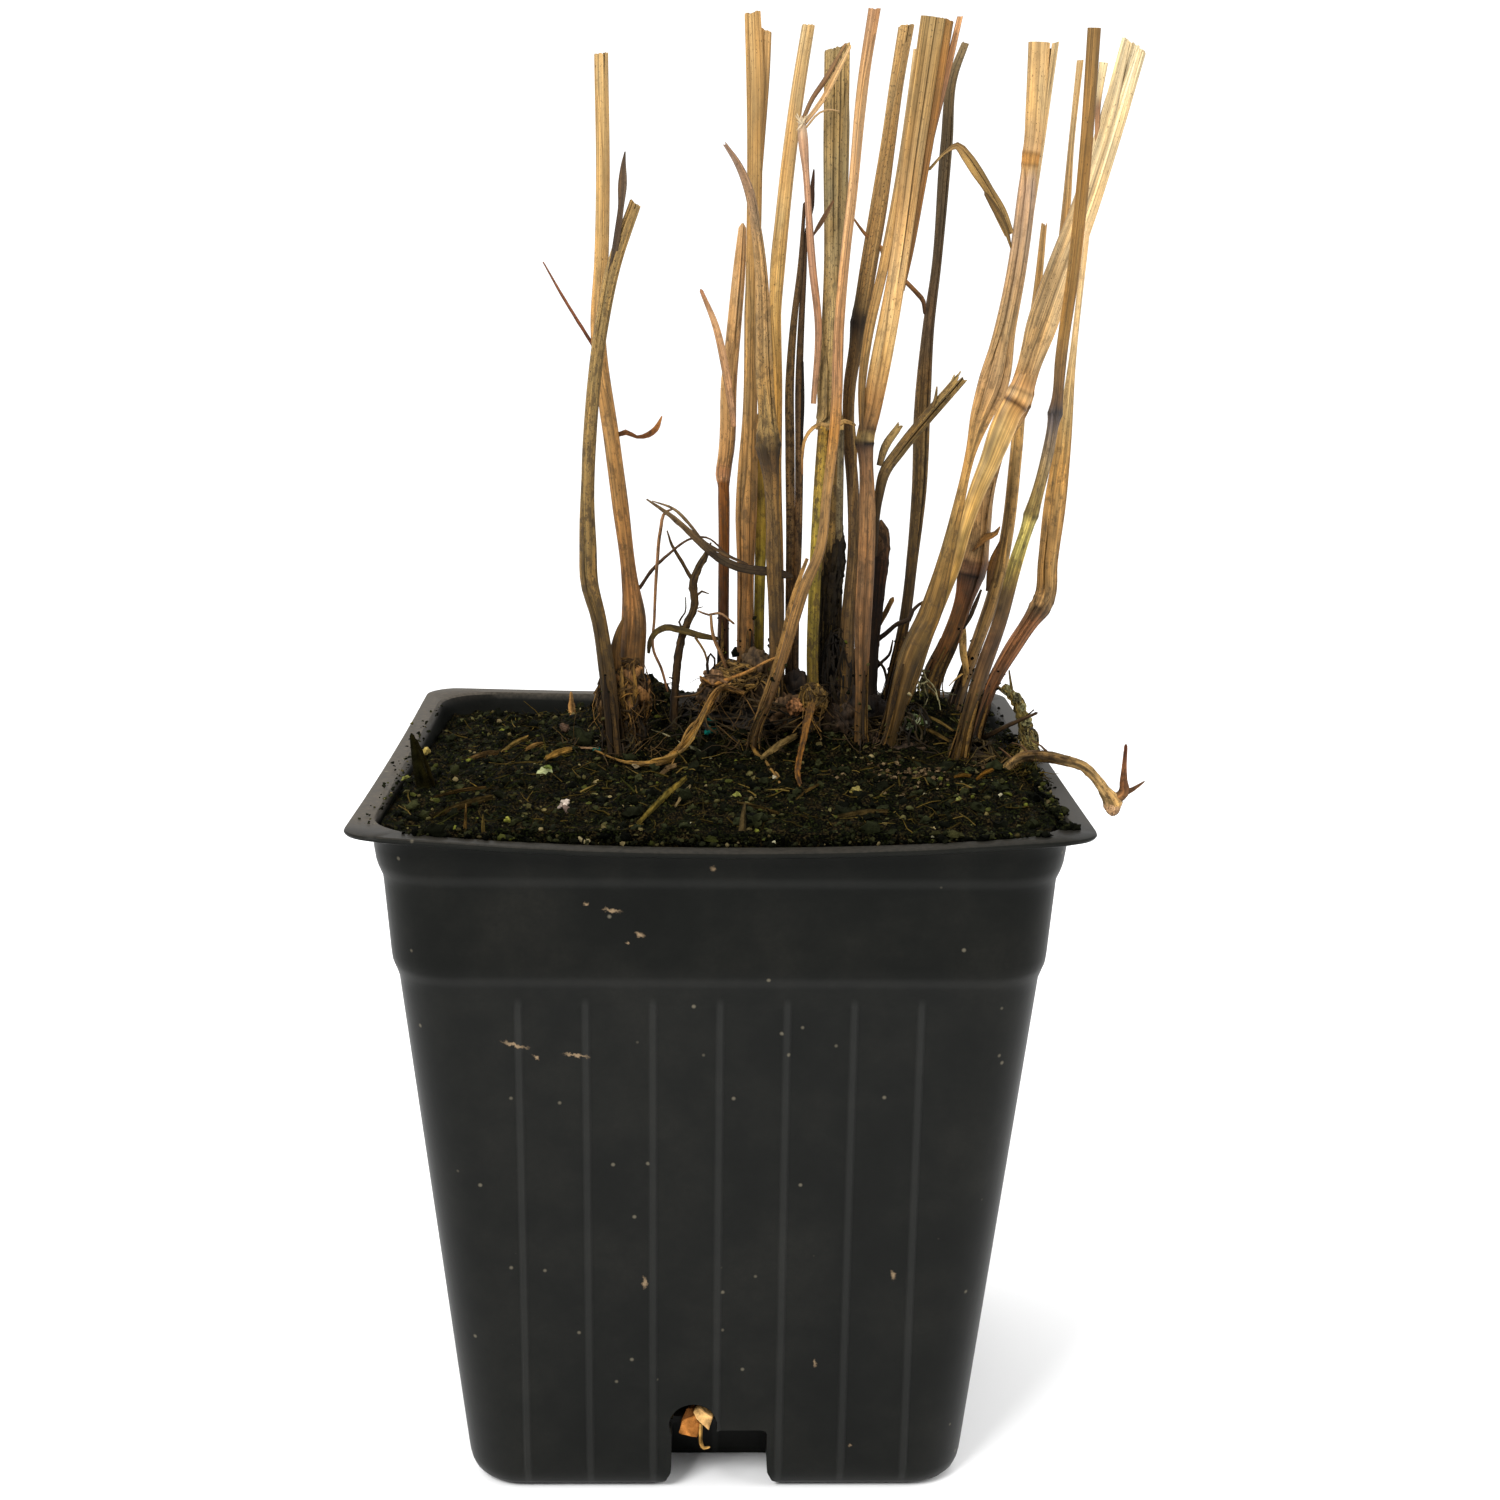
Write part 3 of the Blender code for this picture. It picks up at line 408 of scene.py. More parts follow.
# Hands have wiped the front of the lip.
wiped = add(tree, "MapRange", {"From Min": -53 * MM, "From Max": -46 * MM, "To Min": 0.22, "To Max": 0.85},
            {"Value": axis.outputs["Y"]})
lies = add(tree, "Math", {"operation": "MULTIPLY"}, {0: lies, 1: wiped})
thin = add(tree, "MapRange", {"From Min": 0.45, "From Max": 0.8, "To Max": 0.03}, {"Value": haze})
dusty = add(tree, "Math", {"operation": "MAXIMUM"}, {0: lies, 1: thin})
gritty = add(tree, "MapRange", {"From Min": 0.25, "From Max": 0.75, "To Min": 0.25, "To Max": 1.25},
             {"Value": grit})
dust = add(tree, "Math", {"operation": "MULTIPLY"}, {0: dusty, 1: gritty})
drop = add(tree, "TexVoronoi", {"Scale": 1 / (5.5 * MM), "Randomness": 1.0}, {"Vector": place})
spots = add(tree, "MapRange", {"From Min": 0.075, "From Max": 0.03, "To Max": 0.45},
            {"Value": drop.outputs["Distance"]})
# Pale lines along the crests of the ribs, every 10.4 mm across each wall, between foot and shoulder: painted
# highlights where the crests catch the light.
sideways = add(tree, "Math", {"operation": "ABSOLUTE"}, {0: facing.outputs["X"]})
on_side = add(tree, "Math", {"operation": "GREATER_THAN", 1: 0.7}, {0: sideways})
run = add(tree, "Mix", {}, {0: on_side, 2: axis.outputs["X"], 3: axis.outputs["Y"]})
off_rib = add(tree, "Math", {"operation": "PINGPONG", 1: 5.2 * MM}, {0: run})
crest_highlight = add(tree, "MapRange",
            {"interpolation_type": "SMOOTHSTEP", "From Min": 0.8 * MM, "From Max": 0.2 * MM,
             "To Max": 0.05}, {"Value": off_rib})
below = add(tree, "MapRange", {"From Min": 89.8 * MM, "From Max": 88.5 * MM}, {"Value": axis.outputs["Z"]})
far_out = add(tree, "Math", {"operation": "ABSOLUTE"}, {0: run})
among = add(tree, "Math", {"operation": "LESS_THAN", 1: 34 * MM}, {0: far_out})
painted_highlights = add(tree, "Math", {"operation": "MULTIPLY"}, {0: crest_highlight, 1: below})
painted_highlights = add(tree, "Math", {"operation": "MULTIPLY"}, {0: painted_highlights, 1: among})
# Pale lines along the two shoulders too: painted highlights on the shoulder steps.
for shoulder in SHOULDERS:
    off = add(tree, "Math", {"operation": "SUBTRACT", 1: shoulder * MM}, {0: axis.outputs["Z"]})
    near = add(tree, "Math", {"operation": "ABSOLUTE"}, {0: off})
    shoulder_highlight = add(tree, "MapRange",
               {"interpolation_type": "SMOOTHSTEP", "From Min": 1.3 * MM, "From Max": 0.1 * MM,
                "To Max": 0.035}, {"Value": near})
    painted_highlights = add(tree, "Math", {"operation": "MAXIMUM"}, {0: painted_highlights, 1: shoulder_highlight})
clean_black = add(tree, "MapRange", {"From Min": 0.3, "From Max": 0.7, "To Min": 0.8, "To Max": 1.2},
                  {"Value": haze})
body = add(tree, "Mix", TIMES | {MIX_A: "#111210"}, {MIX_B: clean_black})
# The pale grey of the crest and shoulder lines is painted highlight.
highlighted = add(tree, "Mix", OVER | {MIX_B: "#6e6e6c"}, {0: painted_highlights, MIX_A: body})
dusted = add(tree, "Mix", OVER | {MIX_B: "#6b6256"}, {0: dust, MIX_A: highlighted})
spotted = add(tree, "Mix", OVER | {MIX_B: "#77705f"}, {0: spots, MIX_A: dusted})
scraped = add(tree, "Mix", OVER | {MIX_B: "#7d6a52"}, {0: marks, MIX_A: spotted})
dull = add(tree, "MapRange", {"To Min": 0.4, "To Max": 0.8}, {"Value": dust})
# The upper band, from 91 mm up to the lip, shines less so that it reads darker: painted shade of the lip's
# overhang.
under_lip_shade = add(tree, "MapRange", {"From Min": 91 * MM, "From Max": 95 * MM, "To Min": 0.082, "To Max": 0.045},
            {"Value": axis.outputs["Z"]})
skin = add(tree, "Bump", {"Strength": 0.12, "Distance": 0.1 * MM}, {"Height": grit})
link(tree, shader, {"Base Color": scraped, "Roughness": dull, "Specular IOR Level": under_lip_shade, "Normal": skin})
print("scrapes:", len(SCRAPES))

# %% [markdown]
# ## The pot
# The pot is drawn once more, finer than its solid: rings of a rounded square are extruded from the foot up,
# with the ribs already in the outline, and the lip lets its sides sag. The notches, the inside and the drain
# holes are then cut out with the same Boolean steps that a mould maker would think in: a block for the
# outside, less a block for the inside.

# %% Pot outline
LIP_SAG = {"front": 2.3, "right": 0.2, "back": 0.6, "left": 0.8}
LIP_SAG_REACH = 0.93
WALL = 1.0
FOOT_WALL = (5.2, 41.9)        # height and half width of the wall just above the rounded foot
SHOULDER = (89.7, 50.4)        # and just below the band
RIB_PITCH = 10.4
RIB_COUNT = 7
RIB_FOOT_HALF = 0.75
RIB_CREST_HALF = 0.35
RIB_PROUD = 0.3
CORNER_STEPS = 9

# Outside: height, half width, corner radius, share of the sag, share of the ribs.
POT_OUTSIDE = rows("""0 38.8 6.5 0 0, 0.15 39.5 7.2 0 0, 0.6 40.25 7.9 0 0, 1.4 40.95 8.5 0 0,
    2.6 41.45 8.9 0 0, 3.4 41.65 9.1 0 1, 5.2 41.9 9.4 0 1, 6.2 42 9.4 0 1, 47 46.1 9.5 0 1,
    87.9 50.22 9.6 0 1, 88.6 50.29 9.6 0 1, 89.7 50.4 9.6 0 0, 90.7 50.5 9.6 0 0, 91.6 50.75 9.7 0 0,
    92.6 51.1 9.9 0 0, 93.5 51.4 10 0 0, 94.6 51.55 10.1 0 0, 95.4 51.61 10.1 0 0, 105.8 52.37 10.4 0 0,
    106.6 52.42 10.4 0 0, 107.5 52.52 10.4 0.05 0, 108.3 52.8 10.5 0.1 0, 109.3 53.15 10.6 0.2 0,
    110.4 53.4 10.6 0.3 0, 112.5 53.65 10.6 0.5 0, 114.3 53.8 10.6 0.75 0, 115.2 54.1 10.2 0.9 0,
    115.75 54.9 8.6 1 0, 116 56.5 6.4 1 0, 116.2 56.85 6.1 1 0, 116.55 57 6 1 0, 116.85 56.88 6.1 1 0,
    117 56.6 6.2 1 0""")
# Inside, from the floor up. The last ring is above the lip.
POT_INSIDE = rows("""1.2 39.2 6.9 0 0, 2.6 40.3 7.8 0 0, 5.2 40.9 8.4 0 0, 47 45.1 8.5 0 0,
    89.7 49.4 8.6 0 0, 92.6 50.1 8.9 0 0, 94.6 50.55 9.1 0 0, 106.6 51.42 9.4 0 0, 108.3 51.8 9.5 0.1 0,
    110.4 52.3 9.6 0.3 0, 114.3 52.75 9.8 0.75 0, 115.6 52.95 9.9 0.95 0, 116.5 53.3 10.1 1 0,
    116.95 53.9 10.4 1 0, 118.2 55 10.8 1 0""")


def pot_outline(height, half, radius, sag_share, rib_share):
    """Points of one ring: ribs and flats along each side, an arc at each corner, let down by the sag."""
    flat = half - radius
    side = [(flat, 0.0)]
    for number in range(RIB_COUNT):
        middle = ((RIB_COUNT - 1) / 2 - number) * RIB_PITCH
        side += [(middle + RIB_FOOT_HALF, 0.0), (middle + RIB_CREST_HALF, RIB_PROUD * rib_share),
                 (middle - RIB_CREST_HALF, RIB_PROUD * rib_share), (middle - RIB_FOOT_HALF, 0.0)]
    ring = []
    for name, degrees in (("back", 0), ("left", 90), ("front", 180), ("right", 270)):
        local = [(x, half + out) for x, out in side]
        for step in range(CORNER_STEPS):
            angle = math.radians(90 + 90 * step / CORNER_STEPS)
            local.append((-flat + radius * math.cos(angle), flat + radius * math.sin(angle)))
        for x, y in local:
            along = min(abs(x), abs(y)) / half
            sag = LIP_SAG[name] * sag_share * max(0.0, 1.0 - (along / LIP_SAG_REACH) ** 2)
            ring.append(Matrix.Rotation(math.radians(degrees), 3, "Z") @ Vector((x, y, height - sag)))
    return ring


print("points in a ring:", len(pot_outline(*POT_OUTSIDE[0])))

# %% Extrude rings
def extrude_face(bm, face):
    """Extrude a face in place. Returns the new one."""
    grown = bmesh.ops.extrude_face_region(bm, geom=[face, *face.edges])["geom"]
    return next(item for item in grown if isinstance(item, bmesh.types.BMFace))


def stack(table, name):
    """A solid for a Boolean step: the first ring is filled, and that face extruded from ring to ring."""
    bm = bmesh.new()
    rings = [pot_outline(*row) for row in table]
    face = bm.faces.new([bm.verts.new(point) for point in rings[0]])
    for ring in rings[1:]:
        face = extrude_face(bm, face)
        for vert, point in zip(face.verts, ring):
            vert.co = point
    return as_object(bm, name)


def as_object(bm, name):
    """A helper object in millimetres, for a Boolean step."""
    bmesh.ops.recalc_face_normals(bm, faces=bm.faces)
    mesh = bpy.data.meshes.new(name)
    bm.to_mesh(mesh)
    bm.free()
    item = bpy.data.objects.new(name, mesh)
    bpy.context.scene.collection.objects.link(item)
    return item


def four_ways(bm):
    """Copy what is in bm to the other three sides of the pot."""
    source = list(bm.verts) + list(bm.edges) + list(bm.faces)
    for quarter in range(1, 4):
        copy = bmesh.ops.duplicate(bm, geom=source)["geom"]
        verts = [item for item in copy if isinstance(item, bmesh.types.BMVert)]
        turned = Matrix.Rotation(math.radians(90 * quarter), 3, "Z")
        bmesh.ops.rotate(bm, verts=verts, matrix=turned, cent=(0, 0, 0))
    return bm


print("rings of the pot's outside:", len(POT_OUTSIDE))

# %% [markdown]
# The notch at the foot of each side lets water run out under the pot. It is a pocket, pressed into the wall
# 12 mm deep, with its own roof and back, so the same block, one wall thicker, is kept out of the inside.

# %% Notches and drain holes
NOTCH_LEFT, NOTCH_RIGHT, NOTCH_TOP, NOTCH_BACK, NOTCH_FLARE = -7.4, 8.5, 11.5, 29.9, 3.2
NOTCH_REACH = 30               # how far a block runs outwards, well past the wall
DRAIN_X, DRAIN_Z, DRAIN_RADIUS, DRAIN_DEPTH = -3.8, 12.5, 4.0, 6


def notch_blocks(grow):
    """The four notch pockets as solid blocks with rounded roof corners, each face moved out by grow."""
    bm = bmesh.new()
    left, right, top, flare = NOTCH_LEFT - grow, NOTCH_RIGHT + grow, NOTCH_TOP + grow, NOTCH_FLARE
    half = ((flare, -1.0), (flare * 0.75, 0.15), (flare * 0.3, flare * 0.35), (0.1, flare),
            (0.0, flare * 1.4), (0.0, top - 0.9), (-0.3, top - 0.25), (-1.0, top))
    outline = [(left - out, z) for out, z in half] + [(right + out, z) for out, z in half[::-1]]
    face = bm.faces.new([bm.verts.new((x, -(NOTCH_BACK - grow), z)) for x, z in outline])
    grown = bmesh.ops.extrude_face_region(bm, geom=[face])["geom"]
    verts = [item for item in grown if isinstance(item, bmesh.types.BMVert)]
    bmesh.ops.translate(bm, verts=verts, vec=(0, -NOTCH_REACH, 0))
    return as_object(four_ways(bm), "notch_blocks")


def drain_rods():
    """Four short rods for the round drain holes."""
    (low, low_half), (high, high_half) = FOOT_WALL, SHOULDER
    wall = low_half + (high_half - low_half) * (DRAIN_Z - low) / (high - low)
    bm = bmesh.new()
    bmesh.ops.create_cone(bm, cap_ends=True, segments=36, radius1=DRAIN_RADIUS, radius2=DRAIN_RADIUS,
                          depth=DRAIN_DEPTH)
    upright = Matrix.Rotation(math.radians(90), 3, "X")
    bmesh.ops.rotate(bm, verts=list(bm.verts), matrix=upright, cent=(0, 0, 0))
    bmesh.ops.translate(bm, verts=list(bm.verts), vec=(DRAIN_X, -wall, DRAIN_Z))
    return as_object(four_ways(bm), "drain_rods")


def cut(item, tool):
    """A live Boolean difference."""
    step = item.modifiers.new("cut", "BOOLEAN")
    step.operation = "DIFFERENCE"
    step.solver = "EXACT"
    step.object = tool


# %% Cut the pot
outside, inside = stack(POT_OUTSIDE, "pot_outside"), stack(POT_INSIDE, "pot_inside")
kept_blocks, blocks, rods = notch_blocks(WALL), notch_blocks(0.0), drain_rods()
cut(inside, kept_blocks)
for tool in (blocks, inside, rods):
    cut(outside, tool)
bm = bmesh.new()
bm.from_object(outside, bpy.context.evaluated_depsgraph_get())
for helper in (outside, inside, kept_blocks, blocks, rods):
    bpy.data.objects.remove(helper)
bmesh.ops.remove_doubles(bm, verts=list(bm.verts), dist=0.001)
bmesh.ops.triangulate(bm, faces=[face for face in bm.faces if len(face.verts) > 4])
finish_piece(bm, "nursery_pot", plastic, ["pot"], smooth=32)

# %% [markdown]
# ## The peat
# Peat settles level, a few millimetres under the lip, and is heaped around the clump. A fine grid is shaped
# to that height, pulled in at the pot's round corners, and broken up by noise of three sizes: 8 mm waves,
# 2.5 mm clods and 1 mm grains. Its rim is extruded down, so that it is a closed slab.

# %% Soil surface
SOIL_FRONT, SOIL_BACK, SOIL_TURN, SOIL_HALF = 116.0, 114.2, 14.0, 52.0
SOIL_EDGE_DROP, SOIL_FRONT_KEPT = 2.2, 0.75
HEAP_CENTRE, HEAP_REACH, HEAP_HEIGHT = (12.0, 16.0), (36.0, 17.0), 9.0
SOIL_LUMPS = ((-15.0, 20.0, 9.0, 6.0), (38.0, 17.0, 9.0, 4.0), (-30.0, -12.0, 13.0, 1.2),
              (2.0, -26.0, 15.0, 0.9), (34.0, -22.0, 12.0, 0.8))
CRUST_HALF, CRUST_CORNER, CRUST_CELLS, CRUST_FOOT = 52.4, 9.4, 230, 106.0
CRUST_RIM, RIM_DROP, RIM_DRAFT = 52.2, 0.8, 0.979
# The noises of the broken surface: height, size in millimetres, and a shift of each pattern.
SOIL_NOISE = ((0.9, 8, (0, 0, 0)), (0.85, 2.5, (7, 3, 1)), (0.6, 1.1, (2, 9, 4)))
CLOD_RISE, CLOD_SIZE = 1.1, 2.8


def soil_height(x, y):
    """Height of the peat before it is broken up."""
    front = 0.5 - 0.5 * math.tanh(y / SOIL_TURN)
    height = SOIL_BACK + (SOIL_FRONT - SOIL_BACK) * front
    edge = max(abs(x), abs(y)) / SOIL_HALF
    height -= SOIL_EDGE_DROP * (1.0 - SOIL_FRONT_KEPT * front) * edge ** 6
    heap_x, heap_y = (x - HEAP_CENTRE[0]) / HEAP_REACH[0], (y - HEAP_CENTRE[1]) / HEAP_REACH[1]
    height += HEAP_HEIGHT * math.exp(-heap_x ** 2 - heap_y ** 2)
    for lump_x, lump_y, reach, rise in SOIL_LUMPS:
        height += rise * math.exp(-((x - lump_x) ** 2 + (y - lump_y) ** 2) / reach ** 2)
    return height


def soil_top(x, y):
    """Height of the broken surface. It stays smooth near the lip."""
    place = Vector((x, y, 0.0))
    rough = sum(rise * noise.noise(place / wave + Vector(shift)) for rise, wave, shift in SOIL_NOISE)
    clod = noise.voronoi(place / CLOD_SIZE)[0][0]
    return soil_height(x, y) + max(0.05, 0.6 + rough + CLOD_RISE * (0.45 - clod))


bm = bmesh.new()
bmesh.ops.create_grid(bm, x_segments=CRUST_CELLS, y_segments=CRUST_CELLS, size=CRUST_HALF)
for vert in bm.verts:
    x, y = vert.co.xy
    corner = CRUST_HALF - CRUST_CORNER
    over = Vector((max(abs(x) - corner, 0.0), max(abs(y) - corner, 0.0)))
    if over.length > CRUST_CORNER:
        over *= CRUST_CORNER / over.length
        x = math.copysign(corner + over.x, x)
        y = math.copysign(corner + over.y, y)
    vert.co = (x, y, soil_top(x, y) - (RIM_DROP if max(abs(x), abs(y)) > CRUST_RIM else 0.0))
rim = [edge for edge in bm.edges if edge.is_boundary]
grown = bmesh.ops.extrude_edge_only(bm, edges=rim)["geom"]
for item in grown:
    if isinstance(item, bmesh.types.BMVert):
        item.co = (item.co.x * RIM_DRAFT, item.co.y * RIM_DRAFT, CRUST_FOOT)
foot_edges = [item for item in grown if isinstance(item, bmesh.types.BMEdge) and item.is_boundary]
bmesh.ops.edgeloop_fill(bm, edges=foot_edges)
finish_piece(bm, "peat_surface", peat, smooth=80)
frame["nodes"]["soil"].data.materials.clear()
frame["nodes"]["soil"].data.materials.append(peat)

# %% [markdown]
# ## Stems
# Each culm was read against an upright sheet through the plant, seen from the camera: x, z and width in
# millimetres from the foot up. A point then slides along its line of sight to its own depth, so the stems
# stand in front of and behind each other and still line up with the photograph. A smooth curve runs
# through the points.

# %% Routes
SHEET_Y = 5.0


def on_depth(route, foot_depth, top_depth):
    """Points in space of a sheet route: x, y, z and width, from the foot's depth to the top's."""
    route = rows(route)
    lengths = [0.0]
    for low, high in zip(route, route[1:]):
        lengths.append(lengths[-1] + math.dist(low[:2], high[:2]))
    points = []
    for (x, z, width), length in zip(route, lengths):
        depth = foot_depth + (top_depth - foot_depth) * length / lengths[-1]
        share = (depth - VIEW_POINT.y) / (SHEET_Y - VIEW_POINT.y)
        points.append((VIEW_POINT.x + (x - VIEW_POINT.x) * share, depth,
                       VIEW_POINT.z + (z - VIEW_POINT.z) * share, width * share))
    return points


def sheet_z(point):
    """The height at which a point shows on the sheet."""
    return VIEW_POINT.z + (point.z - VIEW_POINT.z) * (SHEET_Y - VIEW_POINT.y) / (point.y - VIEW_POINT.y)


def smooth_route(points, step):
    """Points about a step apart on a smooth curve through the given ones, each x, y, z and width."""
    points = [Vector(point) for point in points]
    gaps = [max((high - low).xyz.length, 1e-6) for low, high in zip(points, points[1:])]
    slopes = [(high - low) / gap for low, high, gap in zip(points, points[1:], gaps)]
    ways = [slopes[0]]
    for before, after, gap_before, gap_after in zip(slopes, slopes[1:], gaps, gaps[1:]):
        ways.append((before * gap_after + after * gap_before) / (gap_before + gap_after))
    ways.append(slopes[-1])
    curve = []
    for low, high, way_low, way_high, gap in zip(points, points[1:], ways, ways[1:], gaps):
        count = max(1, round(gap / step))
        for number in range(count):
            t = number / count
            curve.append(low * (2 * t ** 3 - 3 * t ** 2 + 1) + way_low * gap * (t ** 3 - 2 * t ** 2 + t)
                         + high * (3 * t ** 2 - 2 * t ** 3) + way_high * gap * (t ** 3 - t ** 2))
    return curve + [points[-1]]


print("a route of 30 mm has", len(smooth_route([(0, 0, 0, 1), (0, 0, 30, 1)], 1.5)), "points")

# %% [markdown]
# One function sweeps every stem, leaf, root and twig. It fills a small ring and extrudes that face along
# the curve. The ring has ribs, and it can have grooves: a culm splits along its length, and the rolled edge
# of a sheath runs down it. The sunken sides of the ribs and the grooves are darker, as painted shade. At a
# node the ring swells. A cut top is hollow, as the real culm is, and darker inside as painted shade; a torn
# one has teeth, and a leaf ends in a point.

# %% Sweep a stem
# Painted shade at a stem's foot: the heights where it starts and ends, and how dark it gets.
FOOT_SHADE_LOW, FOOT_SHADE_HIGH, FOOT_SHADE_DARK = 112.0, 205.0, 0.62
DRY_TINT = (0.765, 0.715, 0.625)
NODE_RINGS = (-0.9, -0.45, -0.2, 0.0, 0.25, 0.55, 0.95)
# At a node, the half height of the dark ring, partly the node's own colour and partly painted shade under its
# swelling, and of the painted highlight above it, with its rise and its share.
DARK_RING, NODE_HIGHLIGHT_HALF, NODE_HIGHLIGHT_RISE, NODE_HIGHLIGHT_SHARE = 0.32, 0.35, 0.8, 0.5
ENOUGH_SIDES = 12              # from here up a ring has its sides times SIDE_GAIN
SIDE_GAIN = 1.6
GROOVE_START = 6.0             # millimetres in which a groove reaches its depth
# The inner rings of a cut top get darker, down to a quarter deep inside: painted shade in the hollow.
HOLLOW = ((0.72, 0.0, 0.9), (0.64, 2.6, 0.25))    # a cut's inner rings: size, drop and brightness
WRAPPED_LENGTH, WRAPPED_LAYERS, FOOT_BELOW = 40, 4, 124
SEED_SHIFT = 13.7              # millimetres between the grain of one seed and the next
feet = []


def split_at(curve, heights):
    """Put extra points on a curve at the given heights on the sheet."""
    for height in heights:
        for index, (low, high) in enumerate(zip(curve, curve[1:])):
            bottom, top = sheet_z(low), sheet_z(high)
            if bottom + 0.05 < height < top - 0.05:
                curve.insert(index + 1, low.lerp(high, (height - bottom) / (top - bottom)))
                break
    return curve


def tone_at(tones, z):
    """The linear colour at a height in a list of heights and hex colours, or one colour for all."""
    if isinstance(tones, Vector):
        return tones
    if z <= tones[0][0]:
        return to_linear(tones[0][1])
    for (low, dark), (high, light) in zip(tones, tones[1:]):
        if z <= high:
            return to_linear(dark).lerp(to_linear(light), (z - low) / (high - low))
    return to_linear(tones[-1][1])


def begin():
    """An empty bmesh with the layers that the finishes read."""
    bm = bmesh.new()
    bm.verts.layers.float_color.new("Tone")
    bm.loops.layers.uv.new("Grain")
    return bm


def absorb(whole, bm):
    """Move a small bmesh into the whole one."""
    mesh = bpy.data.meshes.new("small")
    bm.to_mesh(mesh)
    bm.free()
    whole.from_mesh(mesh)
    bpy.data.meshes.remove(mesh)


def strand(whole, points, tones, thick=0.9, sides=20, step=1.0, ribs=0.0, grooves="", nodes="", tip="hollow",
           slant=0.0, turn=0.0, curl=0.0, bark=0.0, foot_shade=1.0, shade=1.0, wrapped=True, seed=0):
    """Sweep a ring through points. Points, tones, grooves and nodes may each be a table in text.

    A tone is a height and a colour, and one colour alone serves for all. A groove is its place across from
    -1 to 1, its depth, its lowest z and its highest z. A node is its height, swelling, reach and darkness.
    slant raises the cut towards the right. turn faces a blade aside, in degrees. curl bends it to a gutter,
    bark roughens it, and foot_shade is how strongly painted shade darkens its foot near the peat. A long
    wrapped culm gets sheath layers, and its foot is kept in feet."""
    points, tones, grooves, nodes = rows(points), rows(tones), rows(grooves), rows(nodes)
    bm = begin()
    rng = random.Random(seed)
    if bark or isinstance(tones, Vector):
        foot_shade = 0.0
    is_culm = sides >= 18 and not bark
    if sides >= ENOUGH_SIDES:
        sides = 2 * round(SIDE_GAIN / 2 * sides)
    ring_heights = [node[0] + offset for node in nodes for offset in NODE_RINGS]
    curve = split_at(smooth_route(points, step), ring_heights)
    tone_layer = bm.verts.layers.float_color["Tone"]
    grain = bm.loops.layers.uv["Grain"]
    tint = shade * (1.0 + rng.uniform(-0.05, 0.05))
    # Thin blades and sheath layers darken towards both edges: partly a darker edge, partly painted shade along the
    # step where a layer lies on the culm.
    edge = 0.4 if thick < 0.55 and not is_culm else 0.0
    facing, sine = math.cos(math.radians(turn)), math.sin(math.radians(turn))
    rings, colours, lengths, frames, length = [], [], [], [], 0.0
    across = None
    for index, point in enumerate(curve):
        along = (curve[min(index + 1, len(curve) - 1)] - curve[max(index - 1, 0)]).xyz.normalized()
        if across is None:
            across = Vector((0.0, 1.0, 0.0)).cross(along)
            if across.length < 0.2:
                across = Vector((1.0, 0.0, 0.0))
        across = (across - along * across.dot(along)).normalized()
        front = across.cross(along)
        if index:
            length += (point - curve[index - 1]).xyz.length
        right = across * facing + front * sine
        out = front * facing - across * sine
        half = point.w / 2
        height = sheet_z(point)
        collar = 1.0
        for node_z, swell, reach, deep in nodes:
            half *= 1.0 + swell * math.exp(-((height - node_z) / reach) ** 2)
            # Dark ring: partly the node's colour, partly painted shade under the swelling. Pale ring just above:
            # painted highlight on its top.
            collar *= 1.0 - deep * math.exp(-((height - node_z) / DARK_RING) ** 2)
            pale = math.exp(-((height - node_z - NODE_HIGHLIGHT_RISE) / NODE_HIGHLIGHT_HALF) ** 2)
            collar *= 1.0 + NODE_HIGHLIGHT_SHARE * deep * pale
        frames.append((point.xyz, right, out * thick, half))
        # The foot is darkened towards the peat: painted shade low in the clump. Its blue is lowered there too.
        above_foot = min(1.0, max(0.0, (point.z - FOOT_SHADE_LOW) / (FOOT_SHADE_HIGH - FOOT_SHADE_LOW)))
        foot_shaded = 1.0 - foot_shade * FOOT_SHADE_DARK * (1.0 - above_foot) ** 1.5
        base = tone_at(tones, height) * Vector(DRY_TINT) * tint * foot_shaded
        base.z *= 1.0 - 0.3 * (1.0 - above_foot)
        ring, shades = [], []
        for side in range(sides):
            angle = 2 * math.pi * side / sides
            # The sunken side of each rib is darkened below: painted shade in the creases.
            rib = ribs * math.cos(side * math.pi)
            reach = 1.0 + rib
            dark = 1.0 - 1.5 * max(0.0, -rib) - edge * abs(math.cos(angle)) ** 8
            # A groove's floor is darkened: painted shade in the groove.
            for place, depth, z_low, z_high in grooves:
                if side == round(math.acos(place) * sides / (2 * math.pi)) and z_low < height < z_high:
                    fade = min(1.0, (height - z_low) / GROOVE_START)
                    reach -= depth * fade
                    dark -= 0.85 * fade * min(1.0, depth * 3.0)
            if bark:
                reach += bark * noise.noise(Vector((side * 0.9, length * 0.7, seed)))
            x = math.cos(angle) * half * reach
            y = math.sin(angle) * half * thick * reach + curl * half * math.cos(angle) ** 2
            ring.append(point.xyz + right * x + out * y)
